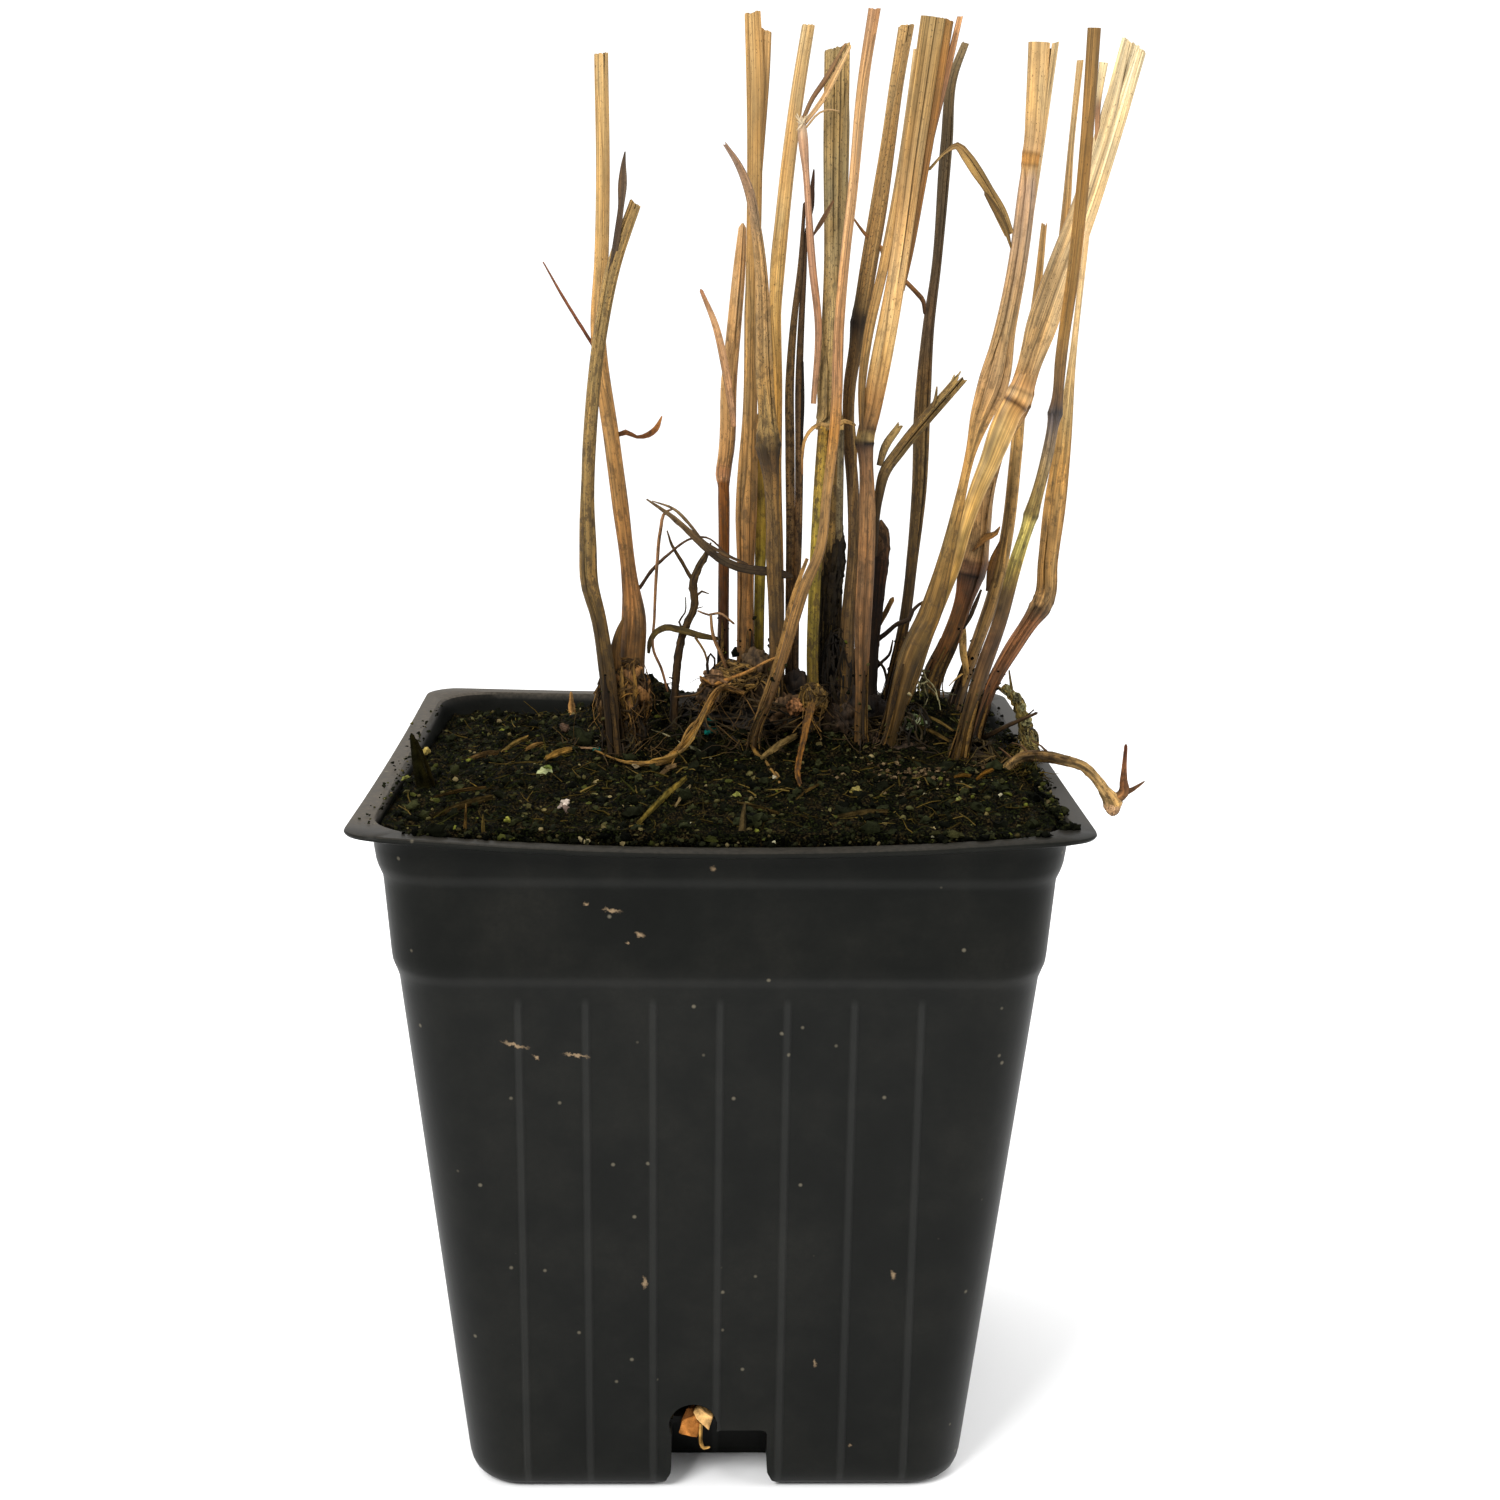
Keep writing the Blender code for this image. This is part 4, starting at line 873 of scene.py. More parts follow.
            # Mould and rot: slow patches and small flecks, stronger towards the foot.
            patch = noise.noise(Vector((math.cos(angle) + seed, math.sin(angle), length * 0.15)))
            fleck = noise.noise(Vector((1.6 * math.cos(angle), 1.6 * math.sin(angle) + seed, length * 0.55)))
            mould = 1.0 + (0.6 * patch + 0.8 * fleck) * (1.15 - above_foot)
            stain = Vector((1.0 + 0.12 * patch, 1.0, 1.0 - 0.2 * patch))
            shades.append(base * stain * max(0.08, dark * collar * max(0.35, mould)))
        rings.append(ring)
        colours.append(shades)
        lengths.append(length)
    top, middle = rings[-1], curve[-1].xyz
    if slant or tip == "torn":
        tooth = 1.0 if tip == "torn" else 0.12
        teeth = [rng.uniform(-tooth, tooth) * curve[-1].w * 0.5 for side in range(sides)]
        for side in range(sides):
            lift = slant * (top[side] - middle).dot(across) + teeth[side] + 0.4 * teeth[side - 1]
            top[side] = top[side] + along * lift
    if tip in ("hollow", "torn"):
        # Inside the hollow the tone is dimmed: painted shade.
        for scale, drop, bright in HOLLOW:
            rings.append([middle.lerp(point, scale) - along * drop for point in top])
            colours.append([tone * bright for tone in colours[-1]])
            lengths.append(length + drop + 0.5)
    elif tip == "point":
        rings.append([middle.lerp(point, 0.25) + along * curve[-1].w * 0.6 for point in top])
        colours.append(colours[-1])
        lengths.append(length + curve[-1].w)
    around = math.pi * sum(point.w for point in curve) / len(curve)
    shift = SEED_SHIFT * seed
    column = {}
    face = bm.faces.new([bm.verts.new(point) for point in rings[0]])
    for number, (ring, shades, run) in enumerate(zip(rings, colours, lengths)):
        if number:
            face = extrude_face(bm, face)
        for side, (vert, point, tone) in enumerate(zip(face.verts, ring, shades)):
            vert.co = point
            vert[tone_layer] = (*tone, 1.0)
            column[vert] = (side, run)
    for side_face in {item for vert in column for item in vert.link_faces}:
        found = [column[loop.vert][0] for loop in side_face.loops]
        wraps = max(found) - min(found) > sides / 2
        for loop in side_face.loops:
            side, run = column[loop.vert]
            side = sides if wraps and side == 0 else side
            loop[grain].uv = (shift + side / sides * around, shift + run)
    absorb(whole, bm)
    if is_culm and length > WRAPPED_LENGTH and wrapped:
        if curve[0].z < FOOT_BELOW:
            feet.append(frames)
        for number in range(WRAPPED_LAYERS):
            sheath_layer(whole, frames, tones, rng, seed * 10 + number)


# %% [markdown]
# The leaf sheaths are wrapped round the culm one over another. Each layer is a thin strip that lies on the
# culm's face, turned the way the culm's skin faces there, and narrows at both ends. The edges of the layers
# are the long dark lines on every culm.

# %% Sheath layers
def sheath_layer(whole, frames, tones, rng, seed):
    """A thin strip over part of a culm, from its middle, right, outward and half width at each step."""
    angle = math.radians(rng.uniform(20, 160))
    low = rng.uniform(0.0, 0.6)
    high = min(1.0, low + rng.uniform(0.25, 0.55))
    share = rng.uniform(0.45, 0.85)
    first = int(low * len(frames))
    picked = frames[first:max(int(high * len(frames)), first + 4):2]
    points = []
    for number, (middle, right, out, half) in enumerate(picked):
        place = number / max(1, len(picked) - 1)
        taper = min(1.0, 0.25 + 3.0 * place, 0.35 + 4.0 * (1.0 - place))
        lift = 0.97 + 0.05 * place
        spot = middle + (right * math.cos(angle) + out * math.sin(angle)) * half * lift
        points.append((*spot, 2 * half * share * taper))
    strand(whole, points, tones, thick=0.16, sides=10, step=1.6, tip="point", turn=math.degrees(angle) - 90,
           curl=-0.3 * share, shade=rng.uniform(0.8, 1.12), wrapped=False, seed=seed)


def stem(whole, route, foot_depth, top_depth, tones, **settings):
    """Sweep a route that was read on the sheet, from the foot's depth to the top's."""
    strand(whole, on_depth(route, foot_depth, top_depth), tones, **settings)


print("a culm gets", WRAPPED_LAYERS, "sheath layers")

# %% [markdown]
# ## The culms of the left pair
# The taller culm has split, and its right edge stands off as a thin dark strip. The other leans across it,
# and is so weathered that it is grey with dark spots. Both rise from one bulbous base.

# %% Left pair
bm = begin()
stem(bm, """-14.4 111 2.8, -15.2 124 4, -15.4 132 4.6, -15 140 4.2, -15.6 146 2.8, -17.3 160 2.7,
    -18.6 170 2.6, -21 190 2.5, -20.4 200 2.4, -20.1 212 2.3, -20.3 233.5 2.3""", 2, 12,
    """111 #3d2c1c, 124 #6a4c2c, 134 #8a6540, 145 #a9784c, 165 #b88c5a, 185 #b88f5c, 205 #c29f69,
    233 #caa974""", sides=24, ribs=0.02, grooves="0.5 0.4 196 240, -0.8 0.15 185 240", slant=0.1,
    seed=1)
# Its lowest sheath has split off and bulges to the left.
stem(bm, """-16.7 140 0.3, -17.6 137.4 1.1, -18.2 134 1.8, -18.1 130 2.3, -17.6 126 2.4,
    -16.8 118 1.8""", -0.2, 1.4,
    "118 #2b2014, 126 #5c4428, 132 #7a5a36, 140 #8f6c44", thick=0.6, sides=18, ribs=0.04, tip="point",
    wrapped=False, seed=75)
finish_piece(bm, "left_tall_culm", dry_straw, ["culm_left_tall"])

bm = begin()
stem(bm, """-17.9 110 2.4, -18.6 120 2.7, -19.6 130 2.7, -21.1 140 2.5, -22.6 146 2.9,
    -22.8 152 2.8, -22.9 160 2.3, -22.5 170 2.2, -20.3 190 2.2, -18.2 200 2.3, -14.7 209.8 2""", -2, -5,
    "110 #2a2016, 124 #57432c, 138 #7f6542, 150 #927851, 170 #9a8055, 190 #8e774e, 210 #a88b5a",
    sides=24, ribs=0.03, grooves="0.3 0.3 186 212, -0.6 0.2 175 212", slant=-0.3, seed=2)
# The dry tip of its last leaf stands up beside it.
stem(bm, """-19.3 196 0.8, -18.5 200 1, -17.5 206 1.1, -17.1 209 1, -16.8 213 1.5,
    -16.6 216.5 0.7, -16.4 218 0.25""", -5.2, -6.6,
    "196 #4d4234, 206 #4a3c30, 214 #6d5a48, 218 #5a4a3c", thick=0.35, sides=10, curl=0.5, tip="point",
    seed=3)
finish_piece(bm, "left_spotted_culm", grey_straw, ["culm_left_spotted"])

# %% [markdown]
# ## The middle group
# Here the culms stand close. Each is its own piece, read one by one: a flat sheath, a slim culm whose lower
# half is a bare red-brown stem under a pink node, a living yellow-green strip, a spotted one with a leaning
# broken tip, a golden one, and a dead one rolled up into two dark strips.

# %% Middle group
bm = begin()
stem(bm, """4.6 117 2.8, 4.5 130 3, 4.4 150 2.9, 4.4 158 3.5, 4.6 166 3.2, 4.8 173 2.5,
    5 195 2.4, 5.15 213 2.5, 5.1 222 2.6, 5 231 2.9, 4.5 240.3 2.6""", 9, 11,
    "117 #5d4228, 132 #93683f, 148 #b48458, 163 #be925f, 190 #bb9661, 215 #b89560, 241 #c29e69",
    thick=0.6, sides=24, ribs=0.025, grooves="0.2 0.2 150 200, -0.7 0.2 205 242", slant=0.15, seed=4)
stem(bm, "5.9 214 0.9, 6.2 222 1.4, 6.5 231 1.9, 6.7 237.6 1.9", 11.6, 12,
    "214 #b8925e, 238 #c9a36e", thick=0.35, sides=12, ribs=0.03, slant=-0.4, seed=5)
finish_piece(bm, "flat_culm", dry_straw, ["culm_mid_flat"])

bm = begin()
stem(bm, """0.9 119 1.9, 0.6 140 1.9, 0.5 160 2, 0.4 163.6 2.1, 0.35 164.6 2.5, 0.5 166 2.5,
    0.9 169 2.6, 1.2 180 2.6, 2 190 2.4, 2.8 200 2, 3.2 206 1.3""", 12.5, 13,
    """119 #2c1c14, 138 #4d2c1a, 152 #83501f, 163.4 #8f5a2a, 164.2 #c49676, 165.4 #b98462, 167 #bb8f62,
    180 #d2a876, 206 #d8ae7c""", sides=20, ribs=0.02, nodes="163.7 0.04 0.4 0.4",
    grooves="0.4 0.25 166 206", tip="point", seed=6)
finish_piece(bm, "red_brown_culm", dry_straw, ["culm_mid_red"])

bm = begin()
stem(bm, "6.9 119 1.7, 6.8 140 1.8, 6.8 160 1.8, 6.2 170 1.3, 5.9 175 0.7", 12, 12,
    "119 #6b5a2a, 135 #b39d3e, 150 #c7b04c, 165 #cba954, 175 #c99e5a", thick=0.5, sides=12, ribs=0.02,
    tip="point", seed=7)
finish_piece(bm, "yellow_green_strip", dry_straw, ["sheath_strip_yellow"])

bm = begin()
stem(bm, """9.6 118 2.2, 9.8 140 2.5, 9.3 150 2.5, 8.9 160 2.2, 8.6 165 2.7, 8.3 167.4 3.2,
    8.1 169.8 4, 7.9 171.4 3.9, 7.8 174 3.2, 7.2 182 2.9, 6.9 190 2.5, 6.5 198 2.1, 5.5 206 1.7,
    3.9 213 1.5, 2.2 216.6 1.1, 0.2 219.4 0.6""", 4.8, 0,
    """118 #3f3022, 133 #6b5238, 150 #8f7049, 162 #9d7b50, 166 #6a5238, 168.4 #453626, 170.5 #6f5a3a,
    173 #a98b5b, 190 #c09c6c, 203 #c4a070, 213 #a88a70, 219 #a88a76""", sides=22, ribs=0.03,
    grooves="0.6 0.35 172 212, -0.2 0.2 178 208", nodes="170 0.06 0.4 0.6, 171.6 0.04 0.3 0.3",
    tip="torn", seed=8)
finish_piece(bm, "broken_culm", grey_straw, ["culm_mid_broken"])

bm = begin()
stem(bm, """10.5 119 1.8, 10 150 1.8, 9.6 165 1.5, 9.4 180 1.6, 8.9 192 2, 9.2 200 2.5,
    9.8 207 2.4, 11.1 220 2.3, 12.4 230 2.2, 13.7 238.5 2.1""", 10, 16,
    "119 #6a4828, 145 #b88848, 180 #cea25e, 200 #dab576, 220 #d6b078, 238 #dcbc88", sides=20, ribs=0.02,
    slant=0.1, seed=9)
finish_piece(bm, "golden_culm", dry_straw, ["culm_golden"])

bm = begin()
stem(bm, """12.2 119 1.2, 12 140 1.3, 12 155 1.5, 11.7 170 1.6, 11.5 180 1.5, 12 190 1.2,
    13 200 0.9, 13.5 210 0.5""", 8, 8,
    "119 #2f241a, 140 #6b523a, 160 #8d6f50, 180 #7d6444, 200 #5a4630, 210 #4a3626", thick=0.9, sides=14,
    ribs=0.03, tip="point", seed=10)
stem(bm, """13.5 119 1.1, 13.2 140 1.2, 13.4 155 1.3, 13.3 170 1.4, 13.1 180 1.3, 13.3 190 1.1,
    13.7 200 0.8, 13.9 206 0.4""", 8.4, 8.2,
    "119 #33261b, 140 #7a5d44, 160 #937356, 180 #5c4833, 206 #3d2d1f", thick=0.8, sides=14, ribs=0.03,
    tip="point", seed=11)
stem(bm, "13.7 170 0.4, 13.8 177 0.6, 13.7 184 0.3", 7.6, 7.6,
    "170 #1d150e, 184 #1d150e", thick=0.5, sides=8, tip="point", seed=12)
finish_piece(bm, "dark_rolled_culm", rotted_straw, ["culm_dark_rolled"])

# %% [markdown]
# ## Centre right
# The flat grey sheath is the widest ribbon of the middle. Halfway up it has a collar, where the leaf once
# bent away, and under that it is a bundle of strips: yellow-green, tan, dark and grey.

# %% Centre right
bm = begin()
stem(bm, """18.5 172.6 4.6, 18.5 173.6 4.7, 18.5 175 4.1, 18.5 180 4, 18.8 200 3.6, 18.6 220 4.1,
    18.5 235 4.1""", 5.9, 9,
    """172 #a88c58, 173.4 #cdb284, 175 #a08457, 185 #b29666, 198 #a89064, 212 #9b8860, 228 #ae9464,
    235 #b99f6e""", thick=0.4, sides=32, ribs=0.03, grooves="""0.35 0.25 176 240, -0.25 0.25 200 240,
    0.7 0.2 176 240""", nodes="174.6 0.03 0.3 0.5", slant=0.35, seed=13)
stem(bm, """16.8 113 1.2, 16.6 124 2, 16.2 132 2, 16.3 142 2.1, 16.6 155 2, 17 166 1.9,
    17.3 172.8 1.7""", 3.0, 5.4,
    "113 #7a5a30, 124 #a8863f, 134 #9c8840, 150 #aa9846, 163 #b09648, 173 #ba9446", thick=0.6, sides=14,
    ribs=0.03, tip="point", seed=14)
stem(bm, """17.4 116 1.2, 17.8 127 1.8, 18.2 140 2.4, 18.5 155 2.8, 18.7 166 2.6,
    18.8 172.8 2.4""", 12.6, 6.2,
    "116 #3a2b1b, 135 #6b5230, 155 #9c7f50, 168 #7d623c, 173 #6a5232", thick=0.6, sides=14, ribs=0.04,
    tip="point", seed=15)
stem(bm, """20.5 120 0.9, 20.5 130 1.3, 20.4 140 1.6, 20.2 152 1.8, 20.1 165 1.8,
    20.1 172.8 1.7""", 12.4, 6.2,
    "128 #2c2218, 145 #7d6c54, 160 #8d7f68, 173 #8a7a5e", thick=0.5, sides=14, ribs=0.04, tip="point",
    seed=16)
finish_piece(bm, "grey_flat_culm", grey_straw, ["culm_grey_flat"])

bm = begin()
stem(bm, """6.2 111 0.7, 6.4 119 1, 9 126 1.3, 11.5 134 1.6, 13.3 141 1.9, 14.8 146 1.9,
    16.9 151 1.8, 18.2 162 1.6, 19.4 174 1.8, 19.7 190 1.6, 20.6 203 1.5, 21.3 210 1.5, 22.9 230 1.8,
    24.5 241.2 2""", -3.5, -6,
    """111 #4a3424, 126 #86654a, 140 #a37e56, 150 #b78e60, 162 #c79c6c, 172 #c08a4a, 182 #c08f68,
    205 #cda276, 228 #cda679, 237 #b8906a, 241 #ab825e""", sides=18, ribs=0.02, slant=0.1, seed=17)
# Below its last node it goes on as a root over the peat.
strand(bm, """5.6 -2 119 0.7, 6.2 -5.6 118.4 0.6, 7.7 -10.5 118 0.55, 9 -17.5 117.4 0.5,
    9.9 -23.6 117.1 0.4, 10.6 -27.5 116.6 0.2""",
    "108 #7d6038, 120 #86683c", sides=8, tip="point", bark=0.25, seed=73)
finish_piece(bm, "thin_pink_culm", dry_straw, ["culm_thin_pink"])

bm = begin()
stem(bm, """22 110 2.2, 22.2 130 2.8, 22.3 140 2.3, 23 153 2, 22.6 163 2, 21.7 172 1.9,
    21.7 180 2, 22.8 187.5 2.5, 23.1 190.6 2.9, 23.5 193 2.8, 24.5 200 2.8, 26 210 2.8, 27.3 220 2.4,
    28.5 230 2.3, 29.8 238.6 2.5""", 4.5, 18,
    """110 #3c2d1e, 130 #6a5238, 148 #8a6c4b, 165 #7c6246, 178 #8c6e46, 184 #7d6443, 188 #5d4c36,
    189.8 #31271f, 191.4 #3a2f24, 193.4 #75603f, 198 #9a7a4c, 215 #b8945f, 238 #c4a26e""", sides=22,
    ribs=0.03, grooves="0.35 0.25 194 240", nodes="190.6 0.05 0.5 0.5, 192.4 0.03 0.4 0.3",
    slant=0.35, seed=18)
finish_piece(bm, "tan_noded_culm", grey_straw, ["culm_tan_noded"])

bm = begin()
stem(bm, """24.8 108 1.6, 24.7 118 1.7, 24.9 127 2, 24.9 137 2.7, 25.2 160 2.7, 24.7 168.6 2.6,
    24.5 170.6 3.1, 24.7 172 3, 25.4 175 3, 26.4 181 3.4, 27.6 188 3.4, 29.2 198 3.1, 31.7 220 3.6,
    34.2 240 4""", 0, 4,
    """108 #553b1e, 120 #805c34, 130 #825f44, 145 #9c7456, 160 #a47c5a, 168.4 #80614c, 170.4 #30251f,
    171.6 #a38b5e, 173 #75583a, 178 #b98c5a, 186 #dcb67e, 198 #d6b07c, 210 #c09c6a, 225 #ad8f60,
    240 #aa8d5d""", thick=0.5, sides=28, ribs=0.035, grooves="0.3 0.25 195 245, -0.4 0.2 205 245",
    nodes="170.3 0.06 0.4 0.7, 173 0.02 0.3 0.35", seed=19)
# The brown fold along its right edge and the pale older layer on its left.
stem(bm, "30.4 196 0.5, 31.5 202 0.8, 33 212 1.1, 34.8 225 1.5, 36.6 239.6 1.9", 2.8, 4.4,
    "200 #7d5a34, 225 #8a6336, 240 #9c7340", thick=0.4, sides=12, ribs=0.03, slant=-0.2, seed=20)
stem(bm, """23.9 172.5 0.8, 23.8 180 1.3, 24.6 188 1.6, 27 200 1.7, 29.2 213 1.6, 30.8 226 1.4,
    31.6 235 1.1""", 1.2, 4.8,
    "172 #6b5236, 182 #a3804f, 195 #b9935e, 215 #c9a570, 235 #e3c798", thick=0.4, sides=14, ribs=0.03,
    slant=0.1, seed=21)
finish_piece(bm, "wide_ribbed_culm", dry_straw, ["culm_wide_ribbed"])

bm = begin()
stem(bm, """28.8 119 1.6, 30.3 130 1.6, 32.2 140 1.9, 33.2 150 1.9, 34.1 162 2.4, 34.3 178 2.6,
    34.9 190 1.9, 35.9 200 1.6, 37 220 2, 37.8 231 1.5, 39.6 236 1.2""", 14, 17,
    """119 #241b13, 134 #574330, 150 #7d6444, 166 #92764e, 180 #866a44, 190 #6d5844, 205 #655642,
    222 #695c46, 231 #78684c, 236 #8f7c5c""", sides=20, ribs=0.03, grooves="0.5 0.25 150 225",
    slant=0.2, seed=22)
finish_piece(bm, "dark_bent_culm", grey_straw, ["culm_dark_bent"])

# %% [markdown]
# ## The right-hand group
# These lean out over the rim. The split sheath bulges below its node and opens above it into a broad flap
# and a narrow grey strip, with a dark cleft between. The pale straw is the thickest culm: bleached and
# striped above, a dark bare stem below.

# %% Right group
bm = begin()
stem(bm, """28.6 104 1.9, 29.6 116 2.3, 31.1 124 3.2, 32.4 130 3.9, 34 135 4.1, 36.2 140 4,
    38.9 150 2.7, 40.6 158 2, 43 170 2, 44.3 175 3.6, 46 180 5, 48 190 3.4, 49.6 200 3, 50.6 210 2.9,
    51 216.6 2.7, 51.1 218 2.9, 51.3 219.6 2.9, 51.6 226 3.2, 51.8 236.3 3.5""", 0, 6,
    """104 #453219, 116 #765a34, 130 #7d623e, 140 #947446, 155 #b48f58, 170 #bf9762, 180 #c8a074,
    190 #b8986e, 203 #c4a482, 214 #caaa8e, 216.2 #c4a070, 217 #b8884c, 218.4 #c08e50, 219.2 #c39e70,
    226 #cbac7b, 236 #ceae7e""", thick=0.5, sides=28, ribs=0.035, grooves="""0.2 0.3 116 160,
    -0.5 0.2 170 214, 0.5 0.2 170 214""", nodes="216.7 0.05 0.4 0.3, 218.6 0.03 0.3 0.3", seed=23)
stem(bm, "51.6 208 0.6, 52.6 218 1, 53.5 227 1.1, 54.5 236.3 1.1", 5.0, 6.2,
    "210 #b49a76, 225 #cdb184, 236 #d9be90", thick=0.7, sides=12, ribs=0.03, slant=0.4, seed=24)
# Its inner face shows in the cleft, coloured dark brown as painted shade of the cleft.
stem(bm, "51.9 214 0.5, 52.7 226 0.9, 53.2 235.4 1.3", 6.0, 6.9,
    "217 #3f2d1b, 235 #5a432a", thick=0.3, sides=8, seed=25)
finish_piece(bm, "split_bulged_culm", dry_straw, ["culm_split_bulged"])

bm = begin()
stem(bm, """36.6 119 2.8, 37.6 130 3, 39.7 135 3.2, 42.7 144.4 3.5, 43.3 147 4.4, 43.8 149.4 4.9,
    44.5 153 3.9, 45.6 165 3.8, 47.4 171 3.6, 50.3 176.4 4.1, 50.8 178.4 4.5, 51.4 180.8 4, 52 183 3.9,
    54 190 5, 57.2 200 4.9, 60.6 210 4.4, 63.5 220 4.2, 67.5 236 4.4""", 20, 13,
    """119 #3c2a1c, 130 #6f4a2c, 140 #8f623c, 145 #79503a, 147.6 #4b3832, 149.6 #8a6450, 151.5 #a5815c,
    157 #c09a72, 166 #cca57a, 174 #dcb480, 177.2 #bd9168, 178.6 #e6c090, 180.6 #c89a68, 185 #e4c090,
    200 #e8c898, 220 #f0d6a8, 236 #f6e2ba""", thick=0.5, sides=32, ribs=0.03, grooves="""0.45 0.22 183 240,
    0.7 0.16 185 240, -0.2 0.12 195 240""", slant=-0.3, nodes="""147.9 0.05 0.5 0.7, 150.2 0.04 0.4 0.35,
    177.3 0.05 0.4 0.6, 179.4 0.04 0.4 0.35""", seed=26)
finish_piece(bm, "pale_straw_culm", dry_straw, ["culm_pale_straw"])

# Below that node its bare stem has left the sheath, and runs straight down beside the split one.
bm = begin()
stem(bm, """29.2 112 1.6, 29.9 117 1.8, 31 122 2, 32.6 126 2.2, 34.1 130 2.2, 35.6 135 2,
    37.6 140.8 1.9, 38.8 144 1.9, 40.9 150 2, 42.1 155.7 2.4, 44.3 162.9 3, 46 167.2 3.5, 48 172.9 4.3,
    49.3 176.2 4.3, 50.4 178.2 4.5, 51.2 180.4 3.9, 52.4 184 3, 53.2 187 1.6""", 2.8, 17.0,
    """112 #5a4424, 125 #84683c, 140 #a8854e, 150 #c9a264, 160 #e6bd7c, 172 #efc98c, 176.6 #e0b47c,
    177.4 #b08458, 178.6 #e6c090, 180.6 #c89a68, 184 #dcb684""", thick=0.6, sides=20, ribs=0.012,
    nodes="177.3 0.05 0.4 0.6, 179.4 0.04 0.4 0.35", tip="point", wrapped=False, seed=74)
finish_piece(bm, "bare_golden_stem", clean_straw)

bm = begin()
stem(bm, """40.5 119 2, 42.2 127 2.2, 44.7 135 2.2, 48 146 2.4, 49.5 155 2.2, 50.5 168 2.1,
    51.2 180 1.8, 53 195 1.4, 53.8 207 1""", 20, 28,
    "119 #5a4028, 135 #a5825a, 150 #bb9766, 168 #c39e6a, 185 #caa66e, 207 #b8925e", sides=18,
    ribs=0.025, tip="torn", seed=27)
stem(bm, "46.6 145 0.9, 47.3 150 1.6, 48.4 153.6 0.5", 22.0, 22.6,
    "146 #8a6440, 154 #c08a4c", thick=0.3, sides=8, tip="point", seed=28)
finish_piece(bm, "straight_culm", dry_straw, ["culm_straight"])

bm = begin()
stem(bm, """42 105 1.7, 42.4 115 1.9, 43.3 120 2.2, 45.8 130 2.7, 48.9 140 2.5, 51.2 150 2.4,
    53.2 157 2.3, 53.6 158.5 2.6, 54.1 160.4 2.3, 56 169 2, 56.8 174.4 2.1, 57 175.8 2.5, 57.2 177.4 2.1,
    57.6 185 2, 59.1 200 2.1, 60.3 220 2.1, 60.8 238.7 2.2""", -2, -8,
    """105 #7a5228, 115 #8a6a3e, 124 #6e5538, 136 #6b5040, 145 #6a5438, 149 #a39055, 153 #cdbf72,
    157 #dccb80, 158.6 #8d7a4a, 161 #a88e58, 170 #94806c, 174.6 #6a6064, 176 #46434a, 178 #7a5f48,
    190 #a07c48, 207 #a88048, 225 #957343, 239 #83663c""", sides=24, ribs=0.02,
    grooves="-0.5 0.15 150 175", nodes="158.2 0.05 0.4 0.5, 175.6 0.06 0.5 0.5", seed=29)
finish_piece(bm, "round_brown_culm", dry_straw, ["culm_round_brown"])

bm = begin()
stem(bm, """42.8 108 1.6, 44.8 118 1.9, 48.6 130 2.3, 51.3 135 2.7, 54.4 140 2.9, 55.8 142.2 3.6,
    56.5 144 3.6, 56.8 150 3.4, 57.6 160 3.7, 58.6 171 2.7, 59.5 184 1.3, 61 206 1.1""", 3.5, 8,
    """108 #4c3526, 120 #76543f, 132 #a87050, 139.5 #b47c5a, 141.6 #7d6450, 143 #b08e6c, 146 #b58f62,
    157 #c69a64, 167 #cb9d60, 174 #ccaa76, 190 #e6c698, 206 #eacca0""", thick=0.6, sides=26, ribs=0.035,
    grooves="-0.35 0.5 144 172, 0.55 0.2 144 180", nodes="142 0.04 0.4 0.6, 143.6 0.04 0.4 0.3",
    tip="point", seed=30)
finish_piece(bm, "pale_kinked_culm", dry_straw, ["culm_pale_kinked"])

bm = begin()
# Its foot wraps the node of the pale straw and is hidden behind it.
stem(bm, "50.6 177.5 1.6, 51.6 180 1.2, 53 184 0.8, 54.4 188 0.7", 16.8, 20,
    "177 #a88a5c, 188 #c49d68", thick=0.5, sides=12, ribs=0.03, tip="point", seed=71)
stem(bm, "54.4 187 0.9, 56 195 1.2, 57.3 208 1.5, 57.8 220 1, 58.7 233.6 1.1", 20, 20,
    "187 #c49d68, 208 #caa878, 234 #dcbd8c", thick=0.7, sides=12, ribs=0.03, slant=0.2, seed=31)
stem(bm, "62.6 214 0.5, 62 223 0.8, 62 227 1, 62.6 233.3 1.5", 14.0, 12.6,
    "223 #b58f6e, 226.5 #8a6c58, 228.5 #e0c698, 233 #f0ddb4", thick=0.5, sides=12, seed=32)
finish_piece(bm, "short_thin_culm", dry_straw, ["culm_short_thin"])

# %% [markdown]
# Three more helpers. A knot of bark is a ball, drawn out and roughened by noise of three sizes. Fibres are
# short, and many of them lie over such a ball. A hair keeps a heading, is pushed aside at every step, and
# runs on along the peat when it meets it.

